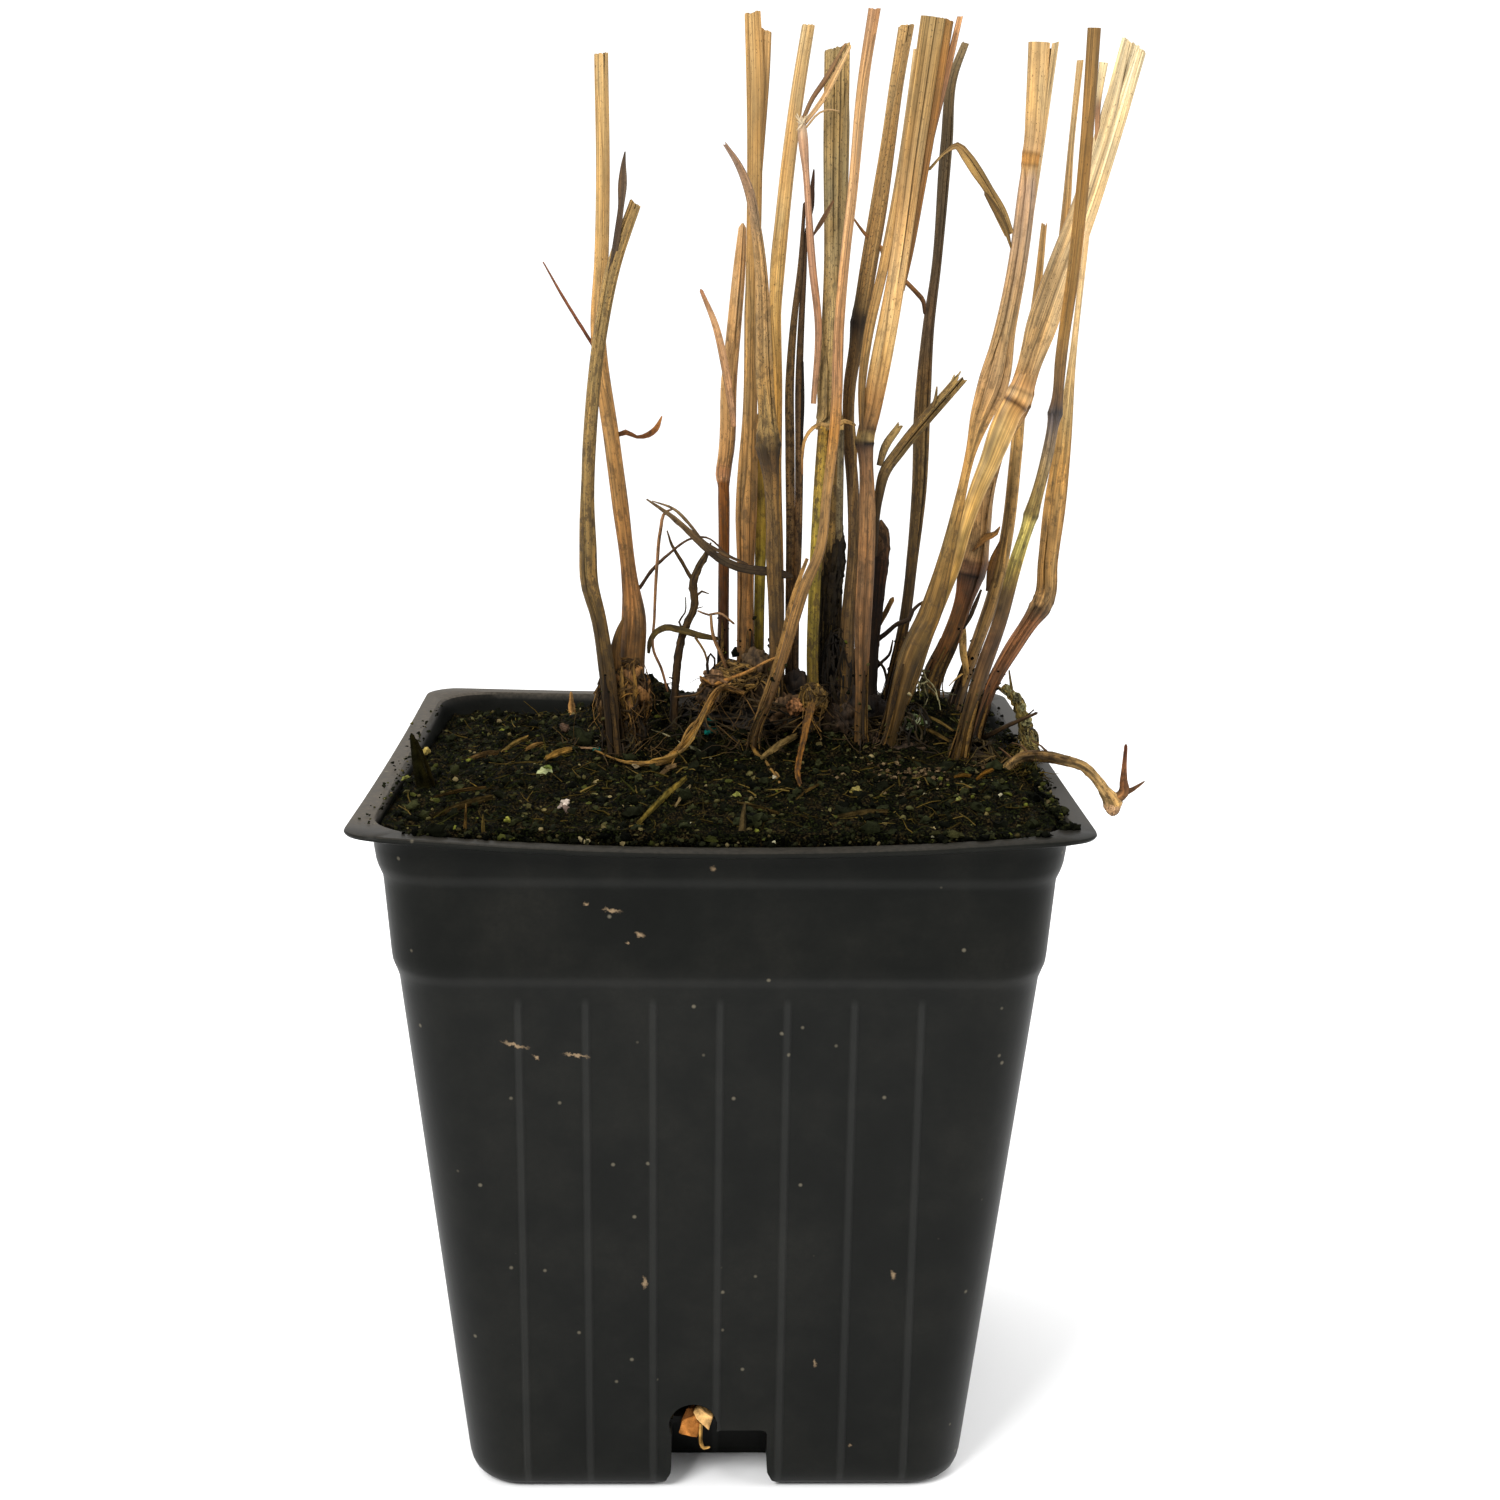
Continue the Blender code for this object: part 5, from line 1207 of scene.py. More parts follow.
# %% Knots and hairs
def knot(whole, centre, axes, dark, light, rough=0.3, fineness=2.0, subdivisions=4, seed=0):
    """A ball drawn out to its half axes in millimetres and roughened."""
    bm = begin()
    bmesh.ops.create_icosphere(bm, subdivisions=subdivisions, radius=1.0)
    tone_layer = bm.verts.layers.float_color["Tone"]
    grain = bm.loops.layers.uv["Grain"]
    dark, light = to_linear(dark), to_linear(light)
    for vert in bm.verts:
        push = noise.noise(vert.co * fineness + Vector((seed * 3.1, 0, 0)))
        push += 0.5 * noise.noise(vert.co * fineness * 2.7 + Vector((0, seed * 1.7, 0)))
        push += 0.4 * noise.noise(vert.co * fineness * 7 + Vector((0, 0, seed * 2.3)))
        vert[tone_layer] = (*dark.lerp(light, min(1.0, max(0.0, 0.45 + push))), 1.0)
        vert.co = Vector(centre) + vert.co * Vector(axes) * (1.0 + rough * push)
    for face in bm.faces:
        for loop in face.loops:
            loop[grain].uv = (loop.vert.co.x + seed, loop.vert.co.z)
    absorb(whole, bm)


def fibres(whole, rng, table, width=0.34):
    """Fibres laid over rough balls. A row is the ball's middle and half axes, the number of fibres, their
    dark and light colour, and how far they run up and down, from 0 to 1."""
    for x, y, z, wide, deep, high, count, dark, light, upright in rows(table):
        centre, axes = Vector((x, y, z)), Vector((wide, deep, high))
        dark, light = to_linear(dark), to_linear(light)
        stride = 1.3 * 3.0 / sum((wide, deep, high))
        for number in range(int(count)):
            spot = Vector((rng.gauss(0, 1), rng.gauss(0, 1), rng.gauss(0, 1))).normalized()
            level = spot.cross(Vector((0.0, 0.0, 1.0))).normalized()
            climb = level.cross(spot) * (upright + 0.2) * rng.choice((-1, 1))
            heading = climb + level * rng.gauss(0, 1.2 - upright)
            stand_off = rng.uniform(0.97, 1.1)
            points = []
            for step in range(rng.randint(4, 8)):
                bump = stand_off + 0.22 * noise.noise(spot * 2.2 + centre)
                points.append((*(centre + spot * axes * bump), width * rng.uniform(0.6, 1.4)))
                stray = Vector((rng.gauss(0, 0.3), rng.gauss(0, 0.3), rng.gauss(0, 0.3)))
                heading = (heading + stray).normalized()
                spot = (spot + heading * stride).normalized()
            tone = dark.lerp(light, rng.random() ** 1.3)
            strand(whole, points, tone, thick=0.7, sides=5, step=3.0, tip="point", seed=rng.randrange(1000))


def wander(rng, start, heading, length, width, wobble, droop=0.0, stride=1.5):
    """Points of a hair that strays from its heading and doesn't go under the peat."""
    point, heading = Vector(start), Vector(heading).normalized()
    count = max(2, round(length / stride))
    points = []
    for number in range(count + 1):
        points.append((*point, width * (1.0 - 0.55 * number / count)))
        push = Vector((rng.gauss(0, wobble), rng.gauss(0, wobble), rng.gauss(0, wobble) - droop))
        heading = (heading + push).normalized()
        point = point + heading * length / count
        ground = soil_top(point.x, point.y) + 0.15
        if point.z < ground:
            point.z = ground
            heading.z = abs(heading.z) * 0.3
    return points


test_hair = wander(random.Random(1), (0, 0, 130), (0, 0, -1), 20.0, 0.3, 0.2)
print("a hair that falls 10 mm on the peat ends at z =", round(test_hair[-1][2], 1))

# %% [markdown]
# ## Stubs
# Between the sound culms stand the feet of older ones: a black rotted one, a dark one with a rounded top,
# and one that broke off sideways and ends in splinters.

# %% Stubs
bm = begin()
stem(bm, """18.7 116 2.8, 18.4 130 3, 18.5 140 3.3, 19.3 147 3.9, 19.8 152 3.5,
    20.2 157.5 1.2""", 9, 9,
    "116 #15120a, 135 #1f1a10, 150 #2b2214, 158 #3a2e1a", thick=0.8, sides=24, step=0.6, tip="torn",
    bark=0.55, seed=33)
fibres(bm, random.Random(33), "18.3 8.6 136 1.6 1.2 12 70 #14100a #4a3e24 0.9", 0.24)
finish_piece(bm, "rotted_stub", rotted_straw, ["stub_decayed"])

bm = begin()
stem(bm, """26.8 115 1.9, 27 137 1.9, 27.6 146 2.3, 27.9 153 2.7, 27.8 155.6 2.2,
    27.7 156.6 1.2""", 8.5, 8.5,
    "115 #1a130d, 140 #241810, 150 #3a251a, 156 #54402f", sides=20, step=0.8, tip="point", bark=0.2,
    seed=34)
finish_piece(bm, "round_stub", rotted_straw, ["stub_dark_round"])

bm = begin()
stem(bm, "26.6 151 0.9, 27.1 161 1.5, 28.2 165.8 1.9, 30.4 169 2, 40.4 181.2 2", 4.9, 4.9,
    "151 #3a2d1f, 161 #5c4a33, 168 #8a7048, 176 #80683f, 181 #a38a5c", sides=20, ribs=0.05,
    grooves="0.2 0.4 166 184", tip="torn", seed=35)
for number, (x, z) in enumerate(rows("41 180.6, 40.5 182.6, 39.5 182, 40.9 181.6")):
    stem(bm, ((38.2, 178.2 + 0.3 * number, 0.5), (x, z, 0.3)), 4.4 + 0.3 * number, 4.6,
        "178 #8d744a, 183 #c0a878", sides=6, tip="point", seed=36 + number)
stem(bm, "36 176.6 0.7, 36.4 178 0.6, 36.6 180 0.3", 4.2, 4.2,
    "176 #6d5636, 180 #93794c", sides=8, tip="point", seed=40)
stem(bm, "27.1 166.6 1, 28 169.8 1.4, 30.4 173.4 1.2", 4.4, 5.6,
    "166 #5c4a33, 173 #b09464", thick=0.5, sides=14, ribs=0.04, tip="torn", seed=41)
finish_piece(bm, "broken_side_stub", grey_straw, ["stub_broken_side"])

# %% [markdown]
# ## Old leaves
# A dead blade dries to a narrow gutter and twists. The forked one hangs from a knot of fibres, with its upper
# half split into two strips.

# %% Leaves
KNOT_FIBRES = 9

bm = begin()
stem(bm, "2.1 173 0.8, 1.4 178 1.2, 0.4 183.5 1.3, -1.2 190 1.1, -3.6 195.6 0.6", 8.4, 8.4,
    "173 #bd8e6c, 185 #d0a27c, 191 #dcb088, 196 #b58060", thick=0.3, sides=12, ribs=0.04, tip="point",
    curl=0.3, seed=42)
finish_piece(bm, "pink_leaf_left", dry_straw, ["leaf_pink_left"])

bm = begin()
stem(bm, """15.6 177 0.9, 16.2 190 1.2, 15 200 1.3, 13.7 215 1.1, 12.9 222.4 1.4,
    12.8 223.6 1""", 4.2, 4.2,
    "177 #b48a6c, 195 #b98c70, 210 #bd9274, 220 #c8a083, 224 #e5d2b8", thick=0.4, sides=14, ribs=0.04,
    tip="point", seed=43)
stem(bm, "12.9 223.2 0.7, 14.6 227 0.8, 16.4 229.6 0.9, 19.8 235.5 0.5", 4.2, 4.2,
    "223 #8a6a4a, 229 #6f5238, 236 #93744e", thick=0.35, sides=10, tip="point", seed=44)
stem(bm, "13.2 222.8 0.7, 16.5 227.2 0.9, 18.2 230.4 1, 20.6 235.2 0.5", 4.4, 4.0,
    "223 #c2a078, 229 #c9a271, 236 #dcb887", thick=0.35, sides=10, tip="point", seed=45)
stem(bm, "13.6 222.3 0.35, 15.8 224.7 0.35, 17 225.2 0.3, 19 225 0.2", 4.0, 4.0,
    "222 #b99a70", sides=6, tip="point", seed=46)
for number in range(KNOT_FIBRES):
    rng = random.Random(number)
    end = (12.7 + rng.uniform(-1.2, 1.2), 223.2 + rng.uniform(-1.6, 1.4), 0.15)
    stem(bm, ((12.9, 222.8, 0.3), end), 3.8, 3.4, "220 #ded0b8", sides=5, tip="point", seed=number)
finish_piece(bm, "forked_leaf", dry_straw, ["leaf_forked"])

bm = begin()
blade = on_depth("33 212 0.7, 34.2 220 1.1, 36.4 230 1.2, 38.6 240.2 0.9", 5.6, 6.6)
strand(bm, ((30.9, 3.6, 206, 0.5), *blade), "212 #b58662, 230 #c28f68, 240 #cf9f72", thick=0.35, sides=12,
       ribs=0.04, slant=0.3, seed=47)
finish_piece(bm, "pink_leaf_right", dry_straw, ["leaf_pink_right"])

bm = begin()
stem(bm, """48 205.4 1.6, 46.3 209 2.1, 44.2 212.7 1.6, 42 215.8 1.9, 40.2 218.2 1.7,
    38.7 219.7 1.2, 37.3 219 0.6, 34.3 215.9 0.5""", 5.2, 5.2,
    "205 #c79f60, 209 #b8945a, 213 #8f7446, 217 #a98a54, 220 #7a6240", thick=0.35, sides=16, ribs=0.04,
    grooves="0.3 0.4 206 219", tip="point", curl=0.4, seed=48)
stem(bm, "48.4 203.2 0.3, 47.2 206.8 1, 45.6 209.4 1.2, 43.8 212 0.6", 4.4, 4.6,
    "203 #8a6b3c, 212 #6b5430", thick=0.4, sides=10, tip="point", seed=49)
finish_piece(bm, "folded_dry_leaf", dry_straw, ["leaf_folded_dry"])

# %% [markdown]
# ## Roots, twigs and the runner
# Roots come off in irregular curves with side roots, and their bark is wrinkled. The pale runner is a
# rhizome: it left the pot over the lip, where it swells to a bulb with next year's bud.

# %% Roots and twigs
bm = begin()
stem(bm, """-8 115 1.3, -7.7 128 1.4, -6.5 137 1.3, -4.4 142.5 1.3, -4.7 146 1.4, -2.3 151.5 0.8,
    -1.7 153 0.3""", 6, 6,
    "115 #2b1f13, 130 #3b2b1a, 145 #4c3a22, 153 #5d4a2e", sides=12, step=0.8, tip="point", bark=0.5,
    seed=50)
for number, route in enumerate((
        "-5 146.8 0.7, -7.2 150.6 0.6, -8.4 152.6 0.5, -9.2 155 0.3",
        "-4.6 143 0.6, -3.2 144.6 0.4, -2 144.2 0.2",
        "-6.2 137.6 0.4, -7.1 139.2 0.4, -6.1 140.8 0.3, -6 143.5 0.2",
        "-7.6 129 0.4, -8.8 129.4 0.2", "-4.6 141.4 0.3, -3 141.9 0.15")):
    stem(bm, route, 6, 5,
        "130 #3b2b1a, 155 #5a452b", sides=8, tip="point", bark=0.3, seed=51 + number)
finish_piece(bm, "forked_root", root_skin, ["root_dark_forked"])

bm = begin()
strand(bm, """4.2 1.2 127.4 0.8, 0.6 0.4 128.6 1, -2.5 -1.5 124.4 0.95, -5.9 -6 120.2 1.05,
    -10.7 -12 118 1.1, -12.6 -12.4 117.9 0.85, -15.5 -11 117.8 0.5, -21.5 -3.5 118.2 0.25""",
    "113 #94713c, 118.8 #8a683a, 127 #6b4e2c", sides=14, step=0.6, ribs=0.1, tip="point", bark=0.5,
    seed=56)
# A second strand twists along it.
strand(bm, """2 0.9 129.2 0.4, -0.9 0 127.4 0.5, -3 -2.6 123.6 0.55, -5 -6.9 120.5 0.55, -8 -11.2 119 0.5,
    -11.4 -12.4 118.6 0.3""",
    "113 #a8854c, 127 #7d5f38", sides=8, step=0.7, tip="point", bark=0.3, seed=72)
strand(bm, "-3.4 -2.4 123.6 0.5, -5.2 -5 122.6 0.5, -7 -9 119.6 0.3, -8.4 -12.6 117.2 0.2",
    "113 #7d5f38", sides=7, tip="point", bark=0.2, seed=57)
strand(bm, "1 0 129.2 0.5, -0.8 -1.6 128.4 0.4, -3.2 -3.4 124.8 0.3, -4.4 -4.6 122.8 0.2",
    "120 #a07848", sides=7, tip="point", seed=58)
finish_piece(bm, "arching_root", root_skin, ["root_arching"])

bm = begin()
strand(bm, """16.2 0.2 126.4 1.5, 15.2 -2.5 123.8 1.25, 14.3 -7 121 1, 13.3 -13.5 119 0.85,
    12.8 -19.5 117.9 0.85, 13.1 -24 117.2 0.6, 13.5 -27 116.6 0.3""",
    "108 #6b4a1e, 115 #7d5320, 121 #6b4a24, 126 #5d4526", sides=14, step=0.6, ribs=0.1, tip="point",
    bark=0.45, seed=59)
finish_piece(bm, "orange_root", root_skin, ["root_orange"])

bm = begin()
stem(bm, """49.9 128.2 1.1, 51.9 126.2 1.7, 53.4 123.2 1.9, 54.6 119.4 1.8,
    55.2 117.4 1.5""", 3.4, 5,
    "118 #4d4028, 123 #7d7048, 128 #94845c", sides=18, step=0.4, tip="point", bark=0.9, seed=60)
for number, (x, y, z, size) in enumerate(rows("""
        50.4 3.6 127.8 0.8, 52 3.4 126.4 0.9, 53 3.8 124.6 0.8, 54 4 122 0.9, 54.6 4.4 119.8 1,
        54.8 3 118.6 1.2, 54.2 -1 117.8 1.2""")):
    knot(bm, (x, y, z), (size, size, 1.1 * size), "#33301a", "#8a8458", rough=0.6, subdivisions=3,
         seed=30 + number)
fibres(bm, rng, "54.2 1.5 119.4 1.4 6.5 2 90 #2b2412 #8a7c50 0.4", 0.24)
stem(bm, "51.6 126.4 0.7, 51.2 128.6 0.5, 50.8 131 0.25", 3.4, 3.0,
    "126 #8f8260, 131 #6b5a3c", sides=8, step=0.6, tip="point", bark=0.4, seed=61)
finish_piece(bm, "mossy_twig", root_skin, ["twig_mossy"])

bm = begin()
stem(bm, "42.8 116.2 0.8, 46.4 118.6 1, 49.3 120.3 0.9, 55.9 123.4 0.5", 7, -1,
    "116 #2b2016, 121 #3c2d1f, 124 #4d3a28", sides=10, step=0.8, tip="point", bark=0.3, seed=62)
stem(bm, "53.6 122.3 0.4, 55.4 124 0.25", 1.6, -0.6,
    "122 #4a3826", sides=6, tip="point", seed=63)
finish_piece(bm, "dark_twig", root_skin, ["twig_dark"])

bm = begin()
strand(bm, """46.5 -4 111.5 1.8, 49.8 -6.2 116.2 2, 52.2 -7.8 118.4 2, 55 -9.7 119 2, 58.5 -12 118.8 1.9,
    61.5 -12 117.8 1.8, 63.8 -12 115.7 1.7, 65.4 -12 113.6 2, 66.6 -12 111.9 3, 67.1 -12 110.7 2.6,
    67.3 -12 110.1 1.2""",
    "105.6 #b09478, 108.4 #b09274, 112 #a4886a, 114.4 #957a5c, 115.5 #65503a", sides=20, step=0.5,
    tip="point", bark=0.3, seed=64)
strand(bm, "67 -12 112 1.7, 68.6 -12 113.2 1.9, 68.5 -12 115.6 1.3, 68.5 -12 117 1, 68.6 -12 121.4 0.6",
    "107.7 #9d7458, 109.8 #6b4a3a, 113 #8c5e48, 117.2 #6d4034", sides=12, step=0.6, tip="point",
    bark=0.15, seed=65)
strand(bm, "68.3 -12 113 1.4, 70.2 -12 113.9 0.8, 72 -12 115.2 0.3",
    "109 #7d5842", sides=8, tip="point", bark=0.2, seed=66)
knot(bm, (66.9, -12.0, 111.2), (1.5, 1.35, 1.9), "#7d5c3c", "#b8926a", rough=0.12, seed=9)
# Fine side roots at the side where it leaves the peat.
for number, (x, y, z) in enumerate(rows("52.5 -8 119.4, 55.5 -10.2 119.9, 50.5 -6.4 117.4")):
    end = (x - 2.4, y + 1.4, z + 1.2 + 0.4 * number, 0.2)
    strand(bm, ((x, y, z, 0.5), (x - 0.8, y + 0.6, z + 0.8, 0.35), end), "117 #5d432e", sides=7, tip="point",
           bark=0.2, seed=67 + number)
finish_piece(bm, "runner_root", root_skin, ["runner"])

# %% [markdown]
# ## The crown and the matted feet
# The crown is a knot of old stem feet, half rotted sheaths and root bark, black with humus at the back.
# Rotted sheath strips cling round the foot of every culm, and root hairs stray out between them.

# %% Crown
bm = begin()
rng = random.Random(7)
for number, (x, y, z, size_x, size_y, size_z, dark, light) in enumerate(rows("""
        8 10.5 121 14 8.2 5.6 #080705 #1e1910, 2.6 5.2 129 3.6 2.6 2.2 #231a0f #5d462a,
        -0.4 3.4 129.6 2.6 1.6 1.5 #3d2b1a #7d5c3c, 6.4 6.6 131.5 2.6 2.2 2.6 #2b2014 #5d482e,
        16.3 1.6 126.6 2.1 1.6 2.2 #3a2b18 #7a6034, 13.1 0.4 125.2 1.5 1.2 1.4 #4a311c #8f6038,
        11.6 4 123.4 3.4 2.4 3.4 #2b1f14 #6b5034, 20.5 5.5 121.5 4.5 3 3.6 #1d150e #4a3826,
        26.6 2.5 117.5 3.4 2.6 3 #1d150e #4a3826, -16.4 2.4 119.5 3.2 2.8 5.5 #120e08 #40301c,
        -16.2 1.4 127.4 4.1 2.7 4.6 #1a130b #80592f, -19.3 -0.6 125.6 1.6 1.4 3.2 #15110a #6b5030,
        32 1 116.5 4 3 2.4 #17110c #40301f, 44 0.5 114.5 4 3 3.2 #1a130d #4a3a26,
        19.4 8.5 126.5 2.2 2.4 5 #080604 #241a11, 22.6 7 123.5 3.2 2.6 5.2 #080604 #241a11,
        13.8 7.5 125.5 3 2.4 4.6 #0d0a07 #2e2216, 27.8 7.6 121 3.2 2.6 4.4 #0a0806 #241a11,
        8 6 127 2.4 2 3.6 #241a10 #5a452c, -1.6 4.6 126.4 2.2 1.8 2.4 #1d160e #54402a""")):
    knot(bm, (x, y, z), (size_x, size_y, size_z), dark, light, rough=0.35, fineness=2.4, seed=number,
         subdivisions=4 if number else 5)
fibres(bm, rng, """2.6 5.2 129.4 4.2 3.1 2.7 200 #33260f #8f7044 0.2,
    8.5 9 121.8 14 8.6 5.8 330 #0f0c06 #453720 0.3, 20.6 7.6 128 3.4 2.8 9.4 190 #070604 #2b2214 0.7,
    16.3 1.4 126.4 2.5 2 2.7 70 #33260f #8a6c3c 0.6, 28 4 118.2 5.4 4 4.4 110 #120f08 #4a3c22 0.4,
    44 0.6 115.6 4.8 3.6 3.8 110 #17130a #54462a 0.4, 8.6 4.6 126 3.2 2.4 4 70 #1d160b #6b5430 0.7,
    -1 4.6 126.6 2.6 2 3 60 #1d160b #6b5430 0.6, 33 4 120 4 4 4.6 90 #0f0d07 #403622 0.5""")
finish_piece(bm, "rhizome_crown", root_skin, ["crown"], smooth=70)

# %% Sheath shreds
SHREDS_PER_FOOT, SHRED_STEPS, SHRED_FLARE = 11, 16, 1.2
LEFT_BULB, LEFT_SHREDS = (-16.3, 1.2, 129.5), 40


def shreds(whole, frames, rng):
    """Rotted strips that cling round a culm's foot and stand off where they enter the peat."""
    in_air = [place for place in frames if place[0].z > soil_top(*place[0].xy) - 0.6]
    for number in range(SHREDS_PER_FOOT):
        angle = rng.uniform(0, 6.28)
        reach = max(4, int(rng.uniform(0.3, 1.0) * SHRED_STEPS))
        picked = in_air[:reach + 1]
        points = []
        for index, (middle, right, out, half) in enumerate(picked[::-1]):
            off = half + 0.12 + SHRED_FLARE * (index / len(picked)) ** 3 * rng.uniform(0.7, 1.2)
            spot = middle + right * math.cos(angle) * off + out.normalized() * math.sin(angle) * off
            points.append((*spot, rng.uniform(0.7, 1.0) * half * 0.75 * (0.3 + min(0.7, 0.2 * index))))
        tone = to_linear("#241a10").lerp(to_linear("#7d6038"), rng.random() ** 1.5)
        strand(whole, points[::2], tone, thick=0.2, sides=8, step=1.6, tip="point",
               turn=math.degrees(angle) - 90, bark=0.12, seed=rng.randrange(1000))


bm = begin()
rng = random.Random(13)
for frames in feet:
    shreds(bm, frames, rng)
# The left pair rises from one bulb of old sheaths, so that foot gets many long ones.
for number in range(LEFT_SHREDS):
    angle = rng.uniform(0, 6.28)
    reach_x, reach_y = rng.uniform(3.2, 4.6), rng.uniform(2.2, 3.4)
    tallest = rng.uniform(123, 134)
    points = []
    for step in range(8):
        z = tallest + (115.5 - tallest) * step / 7
        swell = 0.45 + 0.55 * math.exp(-((z - LEFT_BULB[2]) / 6.0) ** 2)
        x = LEFT_BULB[0] + reach_x * swell * math.cos(angle) + rng.gauss(0, 0.12)
        y = LEFT_BULB[1] + reach_y * swell * math.sin(angle)
        points.append((x, y, z, rng.uniform(0.7, 1.5) * min(1.0, 0.3 + 0.3 * step)))
    tone = to_linear("#2b1f12").lerp(to_linear("#94713f"), rng.random())
    strand(bm, points, tone, thick=0.3, sides=8, step=1.4, tip="point", turn=math.degrees(angle) - 90,
           bark=0.25, seed=200 + number)
fibres(bm, rng, """-16.3 1.4 127 4.5 3 5.6 170 #1d160b #7a5a30 0.6,
    -16.4 1.6 120 3.6 3 5 110 #120f08 #4a381e 0.5, -19.2 -0.8 125.4 2 1.8 3.8 100 #1a150b #644a28 0.6""", 0.3)
fibres(bm, rng, "-17 -1 118 3.4 2.8 2.6 80 #120f08 #403519 0.4", 0.28)
finish_piece(bm, "sheath_shreds", rotted_straw)

# %% Hair roots
# Places where hairs start: x, y, z, spread, count, longest, and the two colours.
HAIR_PLACES = rows("""-16.4 0 127 4.4 16 9 #4d3820 #8a683c, -15 -3 118 6 26 9 #2b2012 #6b5430,
    2 3.5 129 4 26 9 #3a2b1c #7d5f3e, 4 -1 120 8 40 9 #1d160d #5a4528, 16 0.5 126 3 18 8 #3d2e1a #8a6a3e,
    20 4 128 5 30 11 #0f0b08 #33271a, 28 1 120 6 26 9 #17110b #4a3a24, 43 -1 115.5 5 18 8 #221a10 #5d4a2e,
    49 -6 116.5 4 20 8 #2b2115 #6b5636, -4 6 121 8 34 10 #1d170d #4d4426,
    -24 4 117.5 7 22 8 #241c10 #5a482a, 54 -2 118 1.5 22 6 #2b2416 #6b6240""")
bm = begin()
rng = random.Random(11)
for x, y, z, spread, count, longest, dark, light in HAIR_PLACES:
    for number in range(int(count)):
        start = (x + rng.gauss(0, spread * 0.5), y + rng.gauss(0, spread * 0.35), z + rng.uniform(-3, 2))
        heading = (rng.gauss(0, 0.7), rng.gauss(-0.35, 0.6), rng.gauss(-0.8, 0.6))
        tone = to_linear(dark).lerp(to_linear(light), rng.random())
        length, width = longest * rng.uniform(0.35, 1.0), rng.choice((0.13, 0.18, 0.28))
        hair = wander(rng, start, heading, length, width, 0.26, 0.1)
        strand(bm, hair, tone, sides=5, step=3.0, tip="point", seed=rng.randrange(1000))
finish_piece(bm, "hair_roots", root_skin)

# %% [markdown]
# ## Fine pieces around the clump
# Many small dead things hang in the clump: split leaf tips, curled shreds, bare side roots and twigs. Each is
# one row: its depth at both ends, its dark and its light colour, thickness, bark, and its route on the sheet.

# %% Small twigs and shreds
MOSS_THREADS = 16
